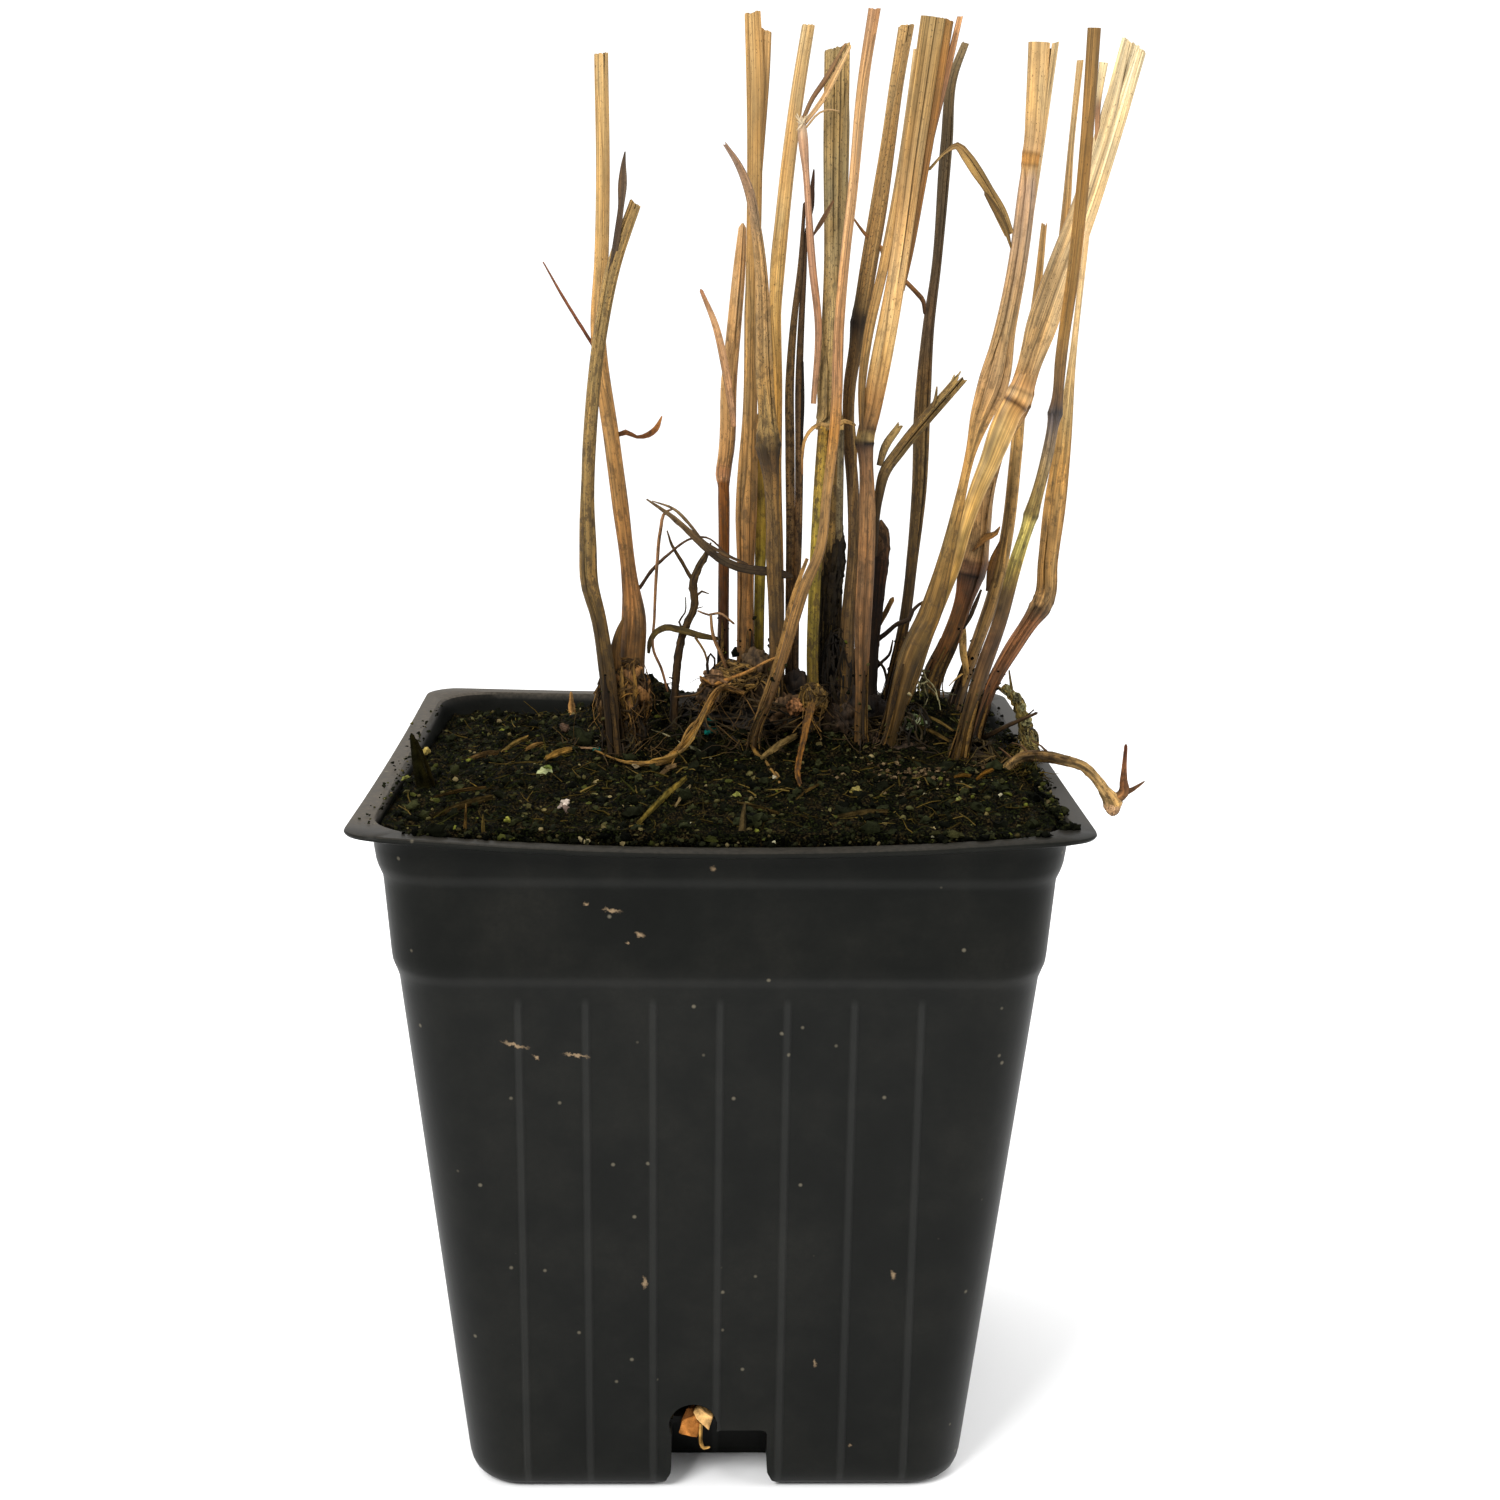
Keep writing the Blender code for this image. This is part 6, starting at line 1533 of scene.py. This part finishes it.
# Depth at the foot and at the top, dark, light, thickness and bark, and then the route: x, z, width.
SMALL = """
    8 6 #5a3424 #8a5a40 0.8 0.2, -21.9 186.5 0.6, -27 194.6 0.5, -30.1 200 0.25;
    7.2 5 #6b4226 #b07844 0.3 0, -18.4 171 0.4, -17.5 171.5 0.8, -16.3 171.9 1, -14.4 171.1 0.6,
        -12.5 171.5 1, -11.2 172.5 1, -10.2 174.6 0.25;
    5 3.2 #3d3024 #6f5b46 0.35 0.2, -12.8 160.5 0.3, -9.3 158.2 0.8, -5.5 155 1.1, -2.3 152 1.3,
        0.5 150 1.5, 3.5 148.8 1.5, 8 148.2 1.6, 11 147.7 1.4, 12.2 147.4 0.8;
    4.8 3.8 #4d3b2b #8a735a 0.35 0.2, -11.8 160.2 0.2, -8 158.8 0.5, -5.5 156.4 0.6, -3.2 153.6 0.5,
        0.6 151.2 0.6, 4.6 149.4 0.4;
    5 4 #5d4030 #a07a60 0.35 0, -8.2 158.9 0.3, -9.4 158.4 0.5, -10.4 155 0.6, -10.9 150 0.6, -11.4 140 0.5,
        -11.5 134 0.5, -10.2 131 0.5, -9.1 127 0.4;
    5 5 #33241a #5d4432 0.8 0.3, -14 145 0.6, -12 148 0.6, -9 151 0.5, -4.9 153.8 0.4, -2.5 154 0.35,
        0.2 152 0.3, 1.6 150.6 0.25;
    4.4 4.4 #2e2514 #5d4d28 0.4 0.1, -12.4 133.6 0.5, -12.2 135.5 0.9, -11 137.5 1.1, -9.5 138.2 1.2,
        -6.8 137.8 1.2, -4 137 1.2, -0.5 136.3 0.8;
    4 3 #5a4226 #8a6a40 0.9 0.2, -4.3 136.5 0.45, -2.6 133.8 0.4, -2 131 0.4, -2.1 128.5 0.35,
        -3.3 126.8 0.35, -7.8 125.8 0.3;
    4 4 #7d5b44 #a9836a 0.9 0.2, -3.9 141.2 0.3, -2 140.5 0.4, -0.3 140.8 0.45, 2.4 139 0.4;
    3.4 3.4 #6b4c34 #97745a 0.9 0.2, -1.6 140.5 0.5, -1.2 137 0.6, 0.2 133.5 0.6, 1.4 130.5 0.5;
    3 3 #17110d #2e2218 0.9 0.1, -1.9 129.6 0.4, -2.2 131.6 0.5, -1.6 133.6 0.5, -0.9 132.8 0.4, -1 131 0.3;
    2.6 2 #8a6238 #c08e58 0.9 0.2, 10.2 133.2 0.4, 7.6 132 0.5, 5.2 130.6 0.6, 2.2 129.4 0.7,
        -1.6 128.4 0.7, -3.4 129.6 0.3;
    0.5 -3 #7d5f3a #b0895a 0.8 0.2, 15 150.5 0.6, 12.6 143.5 0.9, 10.9 136 0.9, 9.2 130 0.8, 7.2 124 0.8,
        6.4 121.5 0.7;
    13 15 #4a3322 #a87a4c 0.8 0.1, 21.6 208 0.3, 24 205 0.6, 26.5 203 0.7, 27.2 201 0.6, 30.6 197.7 0.8,
        32.4 196 0.8, 33.9 194.2 0.8, 34.1 192.4 0.5;
    7.4 7.4 #2b1d14 #4d3424 0.5 0.2, 14 206.5 0.5, 14.6 209 0.9, 14.8 212.5 0.8, 15 215.5 0.3;
    4.6 4.6 #4a3423 #7a5a3c 0.4 0.1, 15 204.8 0.3, 16.2 206.8 0.8, 18.3 210.5 0.4;
    3 3 #7a5636 #b8935f 0.5 0.1, 13.9 165 0.3, 13.9 168.5 0.5, 14.4 171.3 0.6, 15.6 172.9 0.7, 17 173.6 0.7,
        19 173.1 0.8, 21 174.1 0.8, 22.7 173.5 0.5;
    2.8 2.8 #8a6a45 #b89562 0.5 0.1, 22.6 173.4 0.4, 23 169 0.5, 22.9 163 0.4, 22.6 158.4 0.2;
    10 10 #55391f #8d6a40 0.7 0.1, 27.3 138 0.6, 28.6 140.6 0.9, 29.9 143.4 0.9;
    9 9 #1d150f #3d2c1e 0.8 0.3, 26.6 135.6 0.9, 28.8 137.3 0.9, 31 139.2 0.8, 33 140 0.8, 33.6 141.5 0.7,
        35.3 143 0.5, 37 143.4 0.3;
    9 9 #15100b #2b2016 0.9 0.4, 25.6 127.5 0.5, 26.8 130.2 0.5, 28 132 0.6, 29.6 133.6 0.5, 30.2 136.2 0.3;
    8.6 8.6 #15100b #2b2016 0.9 0.4, 26.2 136.2 0.4, 27.2 133.2 0.5, 28.8 131.2 0.5, 29.4 128.6 0.4;
    19.8 19 #a37a48 #d6b07c 0.4 0, 42.3 140.5 0.4, 42.4 138 1.2, 42.6 134 1.3, 43.2 130.6 0.9,
        42.8 128.4 0.5;
    19 18.6 #a37a48 #c9a36e 0.9 0, 42.6 130.4 0.35, 41.4 129.4 0.25, 40.3 128.2 0.2;
    8 8 #3d2a1a #7d5a3a 0.6 0.2, 46.9 124 0.4, 48.3 128.5 0.6, 48.7 129.6 0.3;
    6 4 #6b5a40 #b0a07c 0.9 0.2, 48.3 128.5 0.5, 50 127.2 0.7, 52 126 0.8;
    17.2 17 #1d1612 #43342a 0.5 0.1, 45.4 145.3 0.4, 44.4 142.6 0.8, 43.5 140.2 0.7, 42.6 138.4 0.3;
    16.8 16.4 #6b4a2c #a3794a 0.5 0, 43.6 152 0.3, 46 154.4 1.2, 47.6 155.2 0.9, 48.2 156.2 0.3"""
bm = begin()
for number, block in enumerate(SMALL.split(";")):
    (low_depth, high_depth, dark, light, thick, bark), *route = rows(block)
    points = on_depth(route, low_depth, high_depth)
    heights = [point[2] for point in points]
    strand(bm, points, ((min(heights), dark), (max(heights) + 0.01, light)), thick=thick, sides=10, step=0.9,
           tip="point", bark=bark, foot_shade=0.0, curl=0.3 if thick < 0.5 else 0.0, seed=80 + number)
# Three that come forward over the peat, in space: x, y, z, width.
for number, (tone, route) in enumerate((
        ("#98794c", """6.3 -3.8 117.8 1.2, 6.9 -6 117.2 1.1, 8 -9.5 117 0.9, 9.4 -16 117 0.7,
         10.4 -22 116.8 0.35"""),
        ("#8d7c50", "26.2 4.8 120.7 0.4, 26.6 1.4 118.4 0.4, 27.6 -2.4 117.4 0.4, 28.6 -7.6 117 0.3"),
        ("#7d6a48", "54.3 12 120.4 1.3, 53.9 5 118.9 1.6, 53.2 -1 118.5 1.5, 51.6 -6.5 117.4 1.2"))):
    strand(bm, route, to_linear(tone), sides=10, step=0.7, tip="point", bark=0.35, seed=120 + number)
# Pale moss threads behind the split sheath's foot.
rng = random.Random(3)
for number in range(MOSS_THREADS):
    way = (rng.gauss(-0.3, 0.5), rng.gauss(-0.2, 0.4), -1.0)
    start = Vector((36.0, 9.0, 128.7)) + Vector((rng.gauss(0, 0.6), 0, rng.gauss(0, 0.8)))
    thread = wander(rng, start, way, rng.uniform(2.5, 7.5), 0.36, 0.45)
    tone = to_linear(rng.choice(("#b8b39c", "#8f8c74", "#5e5f48")))
    strand(bm, thread, tone, sides=5, step=2.0, tip="point", seed=number)
finish_piece(bm, "small_twigs", root_skin)

# %% [markdown]
# ## What lies on the peat
# The peat is full of crumbs. Ten crumb shapes are made once, each fine and coarse, then strewn with a random
# turn, size and tone. Most are almost black; a few are bark, wood, or the beads of slow fertiliser. Fibres
# lie about like spilled needles.

# %% Crumbs
CRUMBS, FRONT_CRUMBS, RIGHT_CRUMBS, LEFT_CRUMBS, GRAVEL, CRUMBS_PER_FOOT = 5500, 480, 520, 110, 130, 60
CRUMB_SHAPES = 10
# Each tone, and how many of a hundred or so crumbs have it.
CRUMB_TONES = rows("""#0b0c07 30, #13140b 24, #1e2012 18, #2a2b18 12, #37361e 8, #474226 5, #574d2e 3,
    #736645 1.4, #8c7f5c 0.4, #54561f 1, #3b3d1a 4, #aaa484 0.15""")


def crumb_shape(seed, subdivisions=2):
    """A mesh of one lumpy crumb, about 1 in radius."""
    bm = begin()
    bmesh.ops.create_icosphere(bm, subdivisions=subdivisions, radius=1.0)
    for vert in bm.verts:
        push = noise.noise(vert.co * 1.6 + Vector((seed * 5.3, 0, 0)))
        vert.co *= 1.0 + 0.75 * push
    mesh = bpy.data.meshes.new("crumb_shape")
    bm.to_mesh(mesh)
    bm.free()
    return mesh


def strew(whole, shape, place, size, tone, rng):
    """Add one copy of a shape, flattened and turned at random, in one tone."""
    copy = shape.copy()
    sizes = [size * rng.uniform(low, high) for low, high in ((0.7, 1.4), (0.7, 1.2), (0.5, 0.9))]
    flat = Matrix.Diagonal((*sizes, 1.0))
    turn = Matrix.Rotation(rng.uniform(0, 6.28), 4, "Z") @ Matrix.Rotation(rng.uniform(-0.9, 0.9), 4, "X")
    copy.transform(Matrix.Translation(place) @ turn @ flat)
    copy.attributes["Tone"].data.foreach_set("color", [*tone, 1.0] * len(copy.vertices))
    whole.from_mesh(copy)
    bpy.data.meshes.remove(copy)


def on_peat(rng, spread=50.6):
    """A random spot on the peat inside the pot's rounded square."""
    while True:
        x, y = rng.uniform(-spread, spread), rng.uniform(-spread, spread)
        corner = math.hypot(max(abs(x) - spread + 9, 0), max(abs(y) - spread + 9, 0))
        if corner < 9:
            return x, y


shapes = [crumb_shape(number) for number in range(CRUMB_SHAPES)]
small_shapes = [crumb_shape(number, 1) for number in range(CRUMB_SHAPES)]
bm = begin()
rng = random.Random(21)
tones = [to_linear(code) for code, share in CRUMB_TONES]
shares = [share for code, share in CRUMB_TONES]


def drop_crumb(x, y, z, size, shade=1.0):
    """One crumb. Pale ones are small, and the smallest are the coarsest shapes."""
    tone = rng.choices(tones, shares)[0] * rng.uniform(0.7, 1.4) * shade
    size = min(size, 1.7 if tone[0] < 0.03 else 0.55)
    strew(bm, rng.choice(shapes if size > 0.55 else small_shapes), (x, y, z + size * 0.25), size, tone, rng)


for number in range(CRUMBS):
    x, y = on_peat(rng, 51.2)
    drop_crumb(x, y, soil_top(x, y), 0.2 * math.exp(rng.gauss(0.3, 0.6)))
# The peat runs up to the lip in front, where the lip sags, and spills over it at the right.
# These crumbs are darkened to 0.55 of their tone: painted shade along the front edge of the peat.
for number in range(FRONT_CRUMBS):
    x, share = rng.uniform(-49, 49), rng.random() ** 0.7
    lip = 117.2 - LIP_SAG["front"] * (1.0 - (abs(x) / 53) ** 2)
    z = soil_top(x, -51.4) * (1 - share) + lip * share
    drop_crumb(x, -51.4 - 2.4 * share, z, 0.2 * math.exp(rng.gauss(0.3, 0.5)), 0.55)
# These are darkened to 0.6 of their tone: painted shade along the right lip.
for number in range(RIGHT_CRUMBS):
    out = abs(rng.gauss(0, 0.95))
    y = max(-50, min(46, rng.gauss(-16, 22)))
    z = 117.1 - 0.1 * out + rng.uniform(-0.6, 0.4) * (out < 1.5)
    drop_crumb(52.0 + out, y, z, 0.2 * math.exp(rng.gauss(0.3, 0.5)), 0.6)
for number in range(LEFT_CRUMBS):
    x, y, z = -52.4 - abs(rng.gauss(0, 1.4)), rng.uniform(-50, 40), 117.0 - rng.uniform(0, 0.5)
    drop_crumb(x, y, z, 0.18 * math.exp(rng.gauss(0, 0.4)))
# A pinkish gravelly patch right of the middle.
for number in range(GRAVEL):
    x, y = rng.gauss(30.5, 4.8), rng.gauss(-18, 6.0)
    tone = to_linear(rng.choice(("#54432e", "#403322", "#2e2516", "#65543c")))
    strew(bm, rng.choice(small_shapes), (x, y, soil_top(x, y) + 0.1), rng.uniform(0.18, 0.5), tone, rng)
finish_piece(bm, "peat_crumbs", debris, smooth=60)

# Soil and moss that cling to the foot of each culm, fewer the higher up.
bm = begin()
for frames in feet:
    low = [frame for frame in frames if frame[0].z < soil_top(frame[0].x, frame[0].y) + 16]
    for number in range(CRUMBS_PER_FOOT):
        middle, right, out, half = low[int(len(low) * rng.random() ** 1.6)]
        angle = rng.uniform(0, 2 * math.pi)
        place = middle + right * (math.cos(angle) * half) + out * (math.sin(angle) * half)
        shape, size = rng.choice(small_shapes), 0.16 * math.exp(rng.gauss(0.3, 0.5))
        strew(bm, shape, place, size, rng.choices(tones, shares)[0], rng)
finish_piece(bm, "clinging_soil", debris, smooth=60)

# %% Beads, chips and fibres
GRAINS, PEAT_FIBRES, LIP_THREADS = 34, 1000, 90
# Single lumps: x, y, size, tone, and how high above the peat.
LUMPS = rows("""-29 -19 1 #a3a878 0.5, -28.4 -19.8 0.5 #5d6830 0.9, -24.4 -37 0.8 #c9b8a8 1.3,
    -24.1 -38.2 1.05 #6b5a50 0.4, -24.9 -37.6 0.6 #8f8074 0.9, 22 -28.6 1.05 #9a8c50 0.7,
    21.6 -29.2 0.8 #6f6430 0.4, -51.4 4 0.8 #b09a54 1.2, -52.2 -17 0.6 #7d7e40 0.5,
    -32.8 -46.2 0.6 #7d7c34 0.5, -1.5 3 1.1 #0f5d52 0.8, -1.2 3.5 0.9 #0c4a42 2, -21.4 -1.4 0.6 #12594d 0.4,
    -20.6 -1.2 0.5 #0f4f46 0.4, 26.2 5.4 0.6 #a39f6a 3.4, -20 18 0.8 #7d7836 1.2,
    -19.2 15.5 0.6 #8f8542 0.8, -27.4 12 0.9 #6b5443 1, 45 -30 0.45 #b0a888 0.5, 38 -33 0.4 #7d7d42 0.4,
    -14 -12 0.6 #8c7a5c 0.4, 2.6 -33 0.45 #94944a 0.5, 9 -20 0.4 #a39a80 0.4""")
bm = begin()
bead = crumb_shape(3, 3)
rng = random.Random(5)
for x, y, size, code, above in LUMPS:
    strew(bm, bead, (x, y, soil_top(x, y) + above), size, to_linear(code) * 0.8, rng)
# The green glassy cluster is a heap of small grains.
for number in range(GRAINS):
    x, y = 34.6 + rng.gauss(0, 1.1), 5.6 + rng.gauss(0, 1.0)
    place = Vector((x, y, soil_top(34.6, 5.6) + rng.uniform(0.2, 3.0)))
    code = rng.choice(("#4d5d2e", "#76844a", "#a3ad80", "#33401c", "#23301a", "#c8ccb0"))
    strew(bm, rng.choice(shapes), place, rng.uniform(0.25, 0.65), to_linear(code), rng)
finish_piece(bm, "fertiliser_beads", debris, smooth=60)

# Splinters and chips: start x, y, end x, y, width, tone, and the rise of each end above the peat.
CHIPS = rows("""-12.9 -47.6 -5.6 -26.5 1 #6f6238 0.5 1.2, -7.2 -40 -4.9 -28.5 0.55 #8f7f6c 0.4 1,
    7 -11.4 13.5 0.8 1.2 #7d6a50 0.7 0.9, -29.4 -10.6 -25.4 -5.9 1.1 #8f7044 0.5 1.2,
    -43.2 -3.6 -38.4 1.6 1 #5d4a38 0.4 0.8, -38 2.4 -34 8.8 0.8 #7d6844 0.5 1.4,
    -33.8 1 -31 4 0.8 #8a6c4a 0.5 0.9, -26.8 -1 -19.6 -1.4 0.35 #b09080 0.5 0.7,
    -11.9 4.5 -6.6 0.5 0.3 #a8a498 0.6 0.4, -6.6 0.5 -1.4 -7 0.5 #8a8980 0.4 0.4,
    38.6 -21 41.6 -18.6 0.7 #5d4422 0.5 1.2, 42.6 -18.4 45.6 -15.8 0.7 #6b4c24 0.5 1.5,
    34 4 40 0.6 0.6 #54442c 2.6 1.6, 36 6.5 41 3 0.5 #645438 2.8 2, -20 -2 -13 4 0.4 #645432 0.6 1,
    -46 -30 -38 -27 0.6 #3d3020 0.4 0.9, 18 -44 26 -40 1.1 #403626 0.3 0.8, 0 -36 9 -41 0.6 #3d3220 0.4 0.6,
    -44.8 -42 -36 -36.5 1.1 #332a1c 0.4 0.7, 12 -33 16 -26 0.5 #483a24 0.4 0.7,
    -10 -16 -7.5 -13 0.9 #7d6858 0.4 0.6, -36 -14 -30 -12 0.3 #54482c 0.4 0.6""")
# Bits that stand up: x, y, height, width, lean to the right, tone.
UPRIGHT = rows("""-27.8 39.6 5.2 1.5 -0.2 #a07c5e, -48.4 -23 8 2.2 -1.8 #161509,
    -47.6 -20 7 1.8 -2.4 #1c190c, -38.9 -50.2 4 0.5 0.2 #4d3c26, -36.1 -50.6 2.6 0.6 0 #4d422a,
    3 -50.4 4 1.1 0.4 #453b2e, -49 -14 4 1 -0.8 #2b2414""")
bm = begin()
for number, (x, y, end_x, end_y, width, code, low, high) in enumerate(CHIPS):
    ends = Vector((x, y, soil_top(x, y) + low)), Vector((end_x, end_y, soil_top(end_x, end_y) + high))
    middle = ends[0].lerp(ends[1], 0.55) + Vector((0, 0, 0.25))
    strand(bm, ((*ends[0], width * 0.6), (*middle, width), (*ends[1], width * 0.75)),
        to_linear(code), thick=0.5, sides=12, step=0.6, ribs=0.1, tip="torn", bark=0.4, seed=140 + number)
for number, (x, y, height, width, lean, code) in enumerate(UPRIGHT):
    foot = Vector((x, y, soil_top(x, y) - 0.8))
    top = foot + Vector((lean, 0.3, height + 0.8))
    strand(bm, ((*foot, width), (*foot.lerp(top, 0.5), width * 0.85), (*top, width * 0.35)),
        to_linear(code), sides=12, step=0.8, tip="point", bark=0.35, seed=170 + number)
rng = random.Random(31)
FIBRE_TONES = "#17140a #221e0f #2e2815 #3a3519 #463c20 #28200f #5a4c2a #1c180d #33341a #6e5e3a".split()
for number in range(PEAT_FIBRES):
    x, y = on_peat(rng, 50.0)
    angle = rng.uniform(0, 6.28)
    start = (x, y, soil_top(x, y) + 0.2)
    heading = (math.cos(angle), math.sin(angle), rng.uniform(-0.1, 0.45))
    length, width = rng.uniform(0.8, 4.8), rng.choice((0.12, 0.16, 0.22, 0.34))
    points = wander(rng, start, heading, length, width, 0.22, 0.05)
    if max(abs(points[-1][0]), abs(points[-1][1])) < 51.5:
        strand(bm, points, to_linear(rng.choice(FIBRE_TONES)), sides=4, step=3.0, tip="point", seed=number)
# Threads of moss and root over the right lip, between the mossy twig and the runner.
for number in range(LIP_THREADS):
    start = (rng.gauss(52.4, 1.0), rng.uniform(-22, 6), 117.6 + rng.uniform(-0.4, 0.6))
    heading = (rng.gauss(0, 0.6), rng.gauss(0, 1), rng.gauss(0, 0.3))
    thread = wander(rng, start, heading, rng.uniform(1.5, 5.0), 0.2, 0.3, 0.1)
    strand(bm, thread, to_linear(rng.choice(FIBRE_TONES)), sides=4, step=3.0, tip="point", seed=number)
finish_piece(bm, "peat_chips_and_fibres", chip_wood, smooth=50)

# %% [markdown]
# ## The chip in the drain hole
# Peat would wash out through the holes, but this one is plugged: a fresh tan chip leans in it over a browner
# one, and a thin root hooks out below.

# %% Drain chip
def chip(whole, corners, y, depth, code, seed):
    """A flat chip: its outline on an upright plane, extruded, bevelled and a little roughened."""
    bm = begin()
    face = bm.faces.new([bm.verts.new((x, y, z)) for x, z in corners])
    grown = bmesh.ops.extrude_face_region(bm, geom=[face])["geom"]
    verts = [item for item in grown if isinstance(item, bmesh.types.BMVert)]
    bmesh.ops.translate(bm, verts=verts, vec=(0.3, depth, 0.2))
    bmesh.ops.bevel(bm, geom=list(bm.edges), offset=0.12, affect="EDGES", segments=2, profile=0.5,
                    material=-1)
    bmesh.ops.subdivide_edges(bm, edges=list(bm.edges), cuts=2, use_grid_fill=True)
    tone_layer = bm.verts.layers.float_color["Tone"]
    tone = to_linear(code)
    for vert in bm.verts:
        push = noise.noise(vert.co * 1.1 + Vector((seed * 9.0, 0, 0)))
        vert[tone_layer] = (*(tone * (1.0 + 0.7 * push)), 1.0)
        vert.co += Vector((0.12, 0.1, 0.12)) * push
    bmesh.ops.triangulate(bm, faces=list(bm.faces))
    absorb(whole, bm)


bm = begin()
chip(bm, ((-3.8, 14.6), (-2.8, 15.1), (-0.6, 13.5), (-1.2, 11.2), (-3.3, 13.2)), -42.0, 1.5, "#e0b070", 1)
chip(bm, ((-6.2, 10.4), (-5.7, 12.5), (-3.4, 13.4), (-2.8, 11.6), (-3.1, 9.6), (-4.8, 9.8)), -41.4, 1.1,
     "#a86c34", 2)
chip(bm, ((-5.9, 12.2), (-4.9, 14.6), (-3.9, 14.8), (-3.6, 13.6), (-5.0, 12.2)), -41.0, 0.8, "#6b4220", 3)
strand(bm, """-2.5 -41.6 12.2 0.6, -2.55 -42.2 10.4 0.6, -2.5 -42.4 9.3 0.6, -2 -42.6 8.35 0.55,
    -1.2 -42.6 8.5 0.4""",
    to_linear("#c9a070"), sides=10, step=0.4, tip="point", bark=0.1, seed=190)
finish_piece(bm, "drain_hole_chip", chip_wood, ["drain_chip"], smooth=35)

# %% Sizes and count of pieces
size = {"cad_box": [list(corner) for corner in cad_box], "visual_box": [list(corner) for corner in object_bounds()]}
print("pieces:", len(made), "triangles:", sum(made.values()))
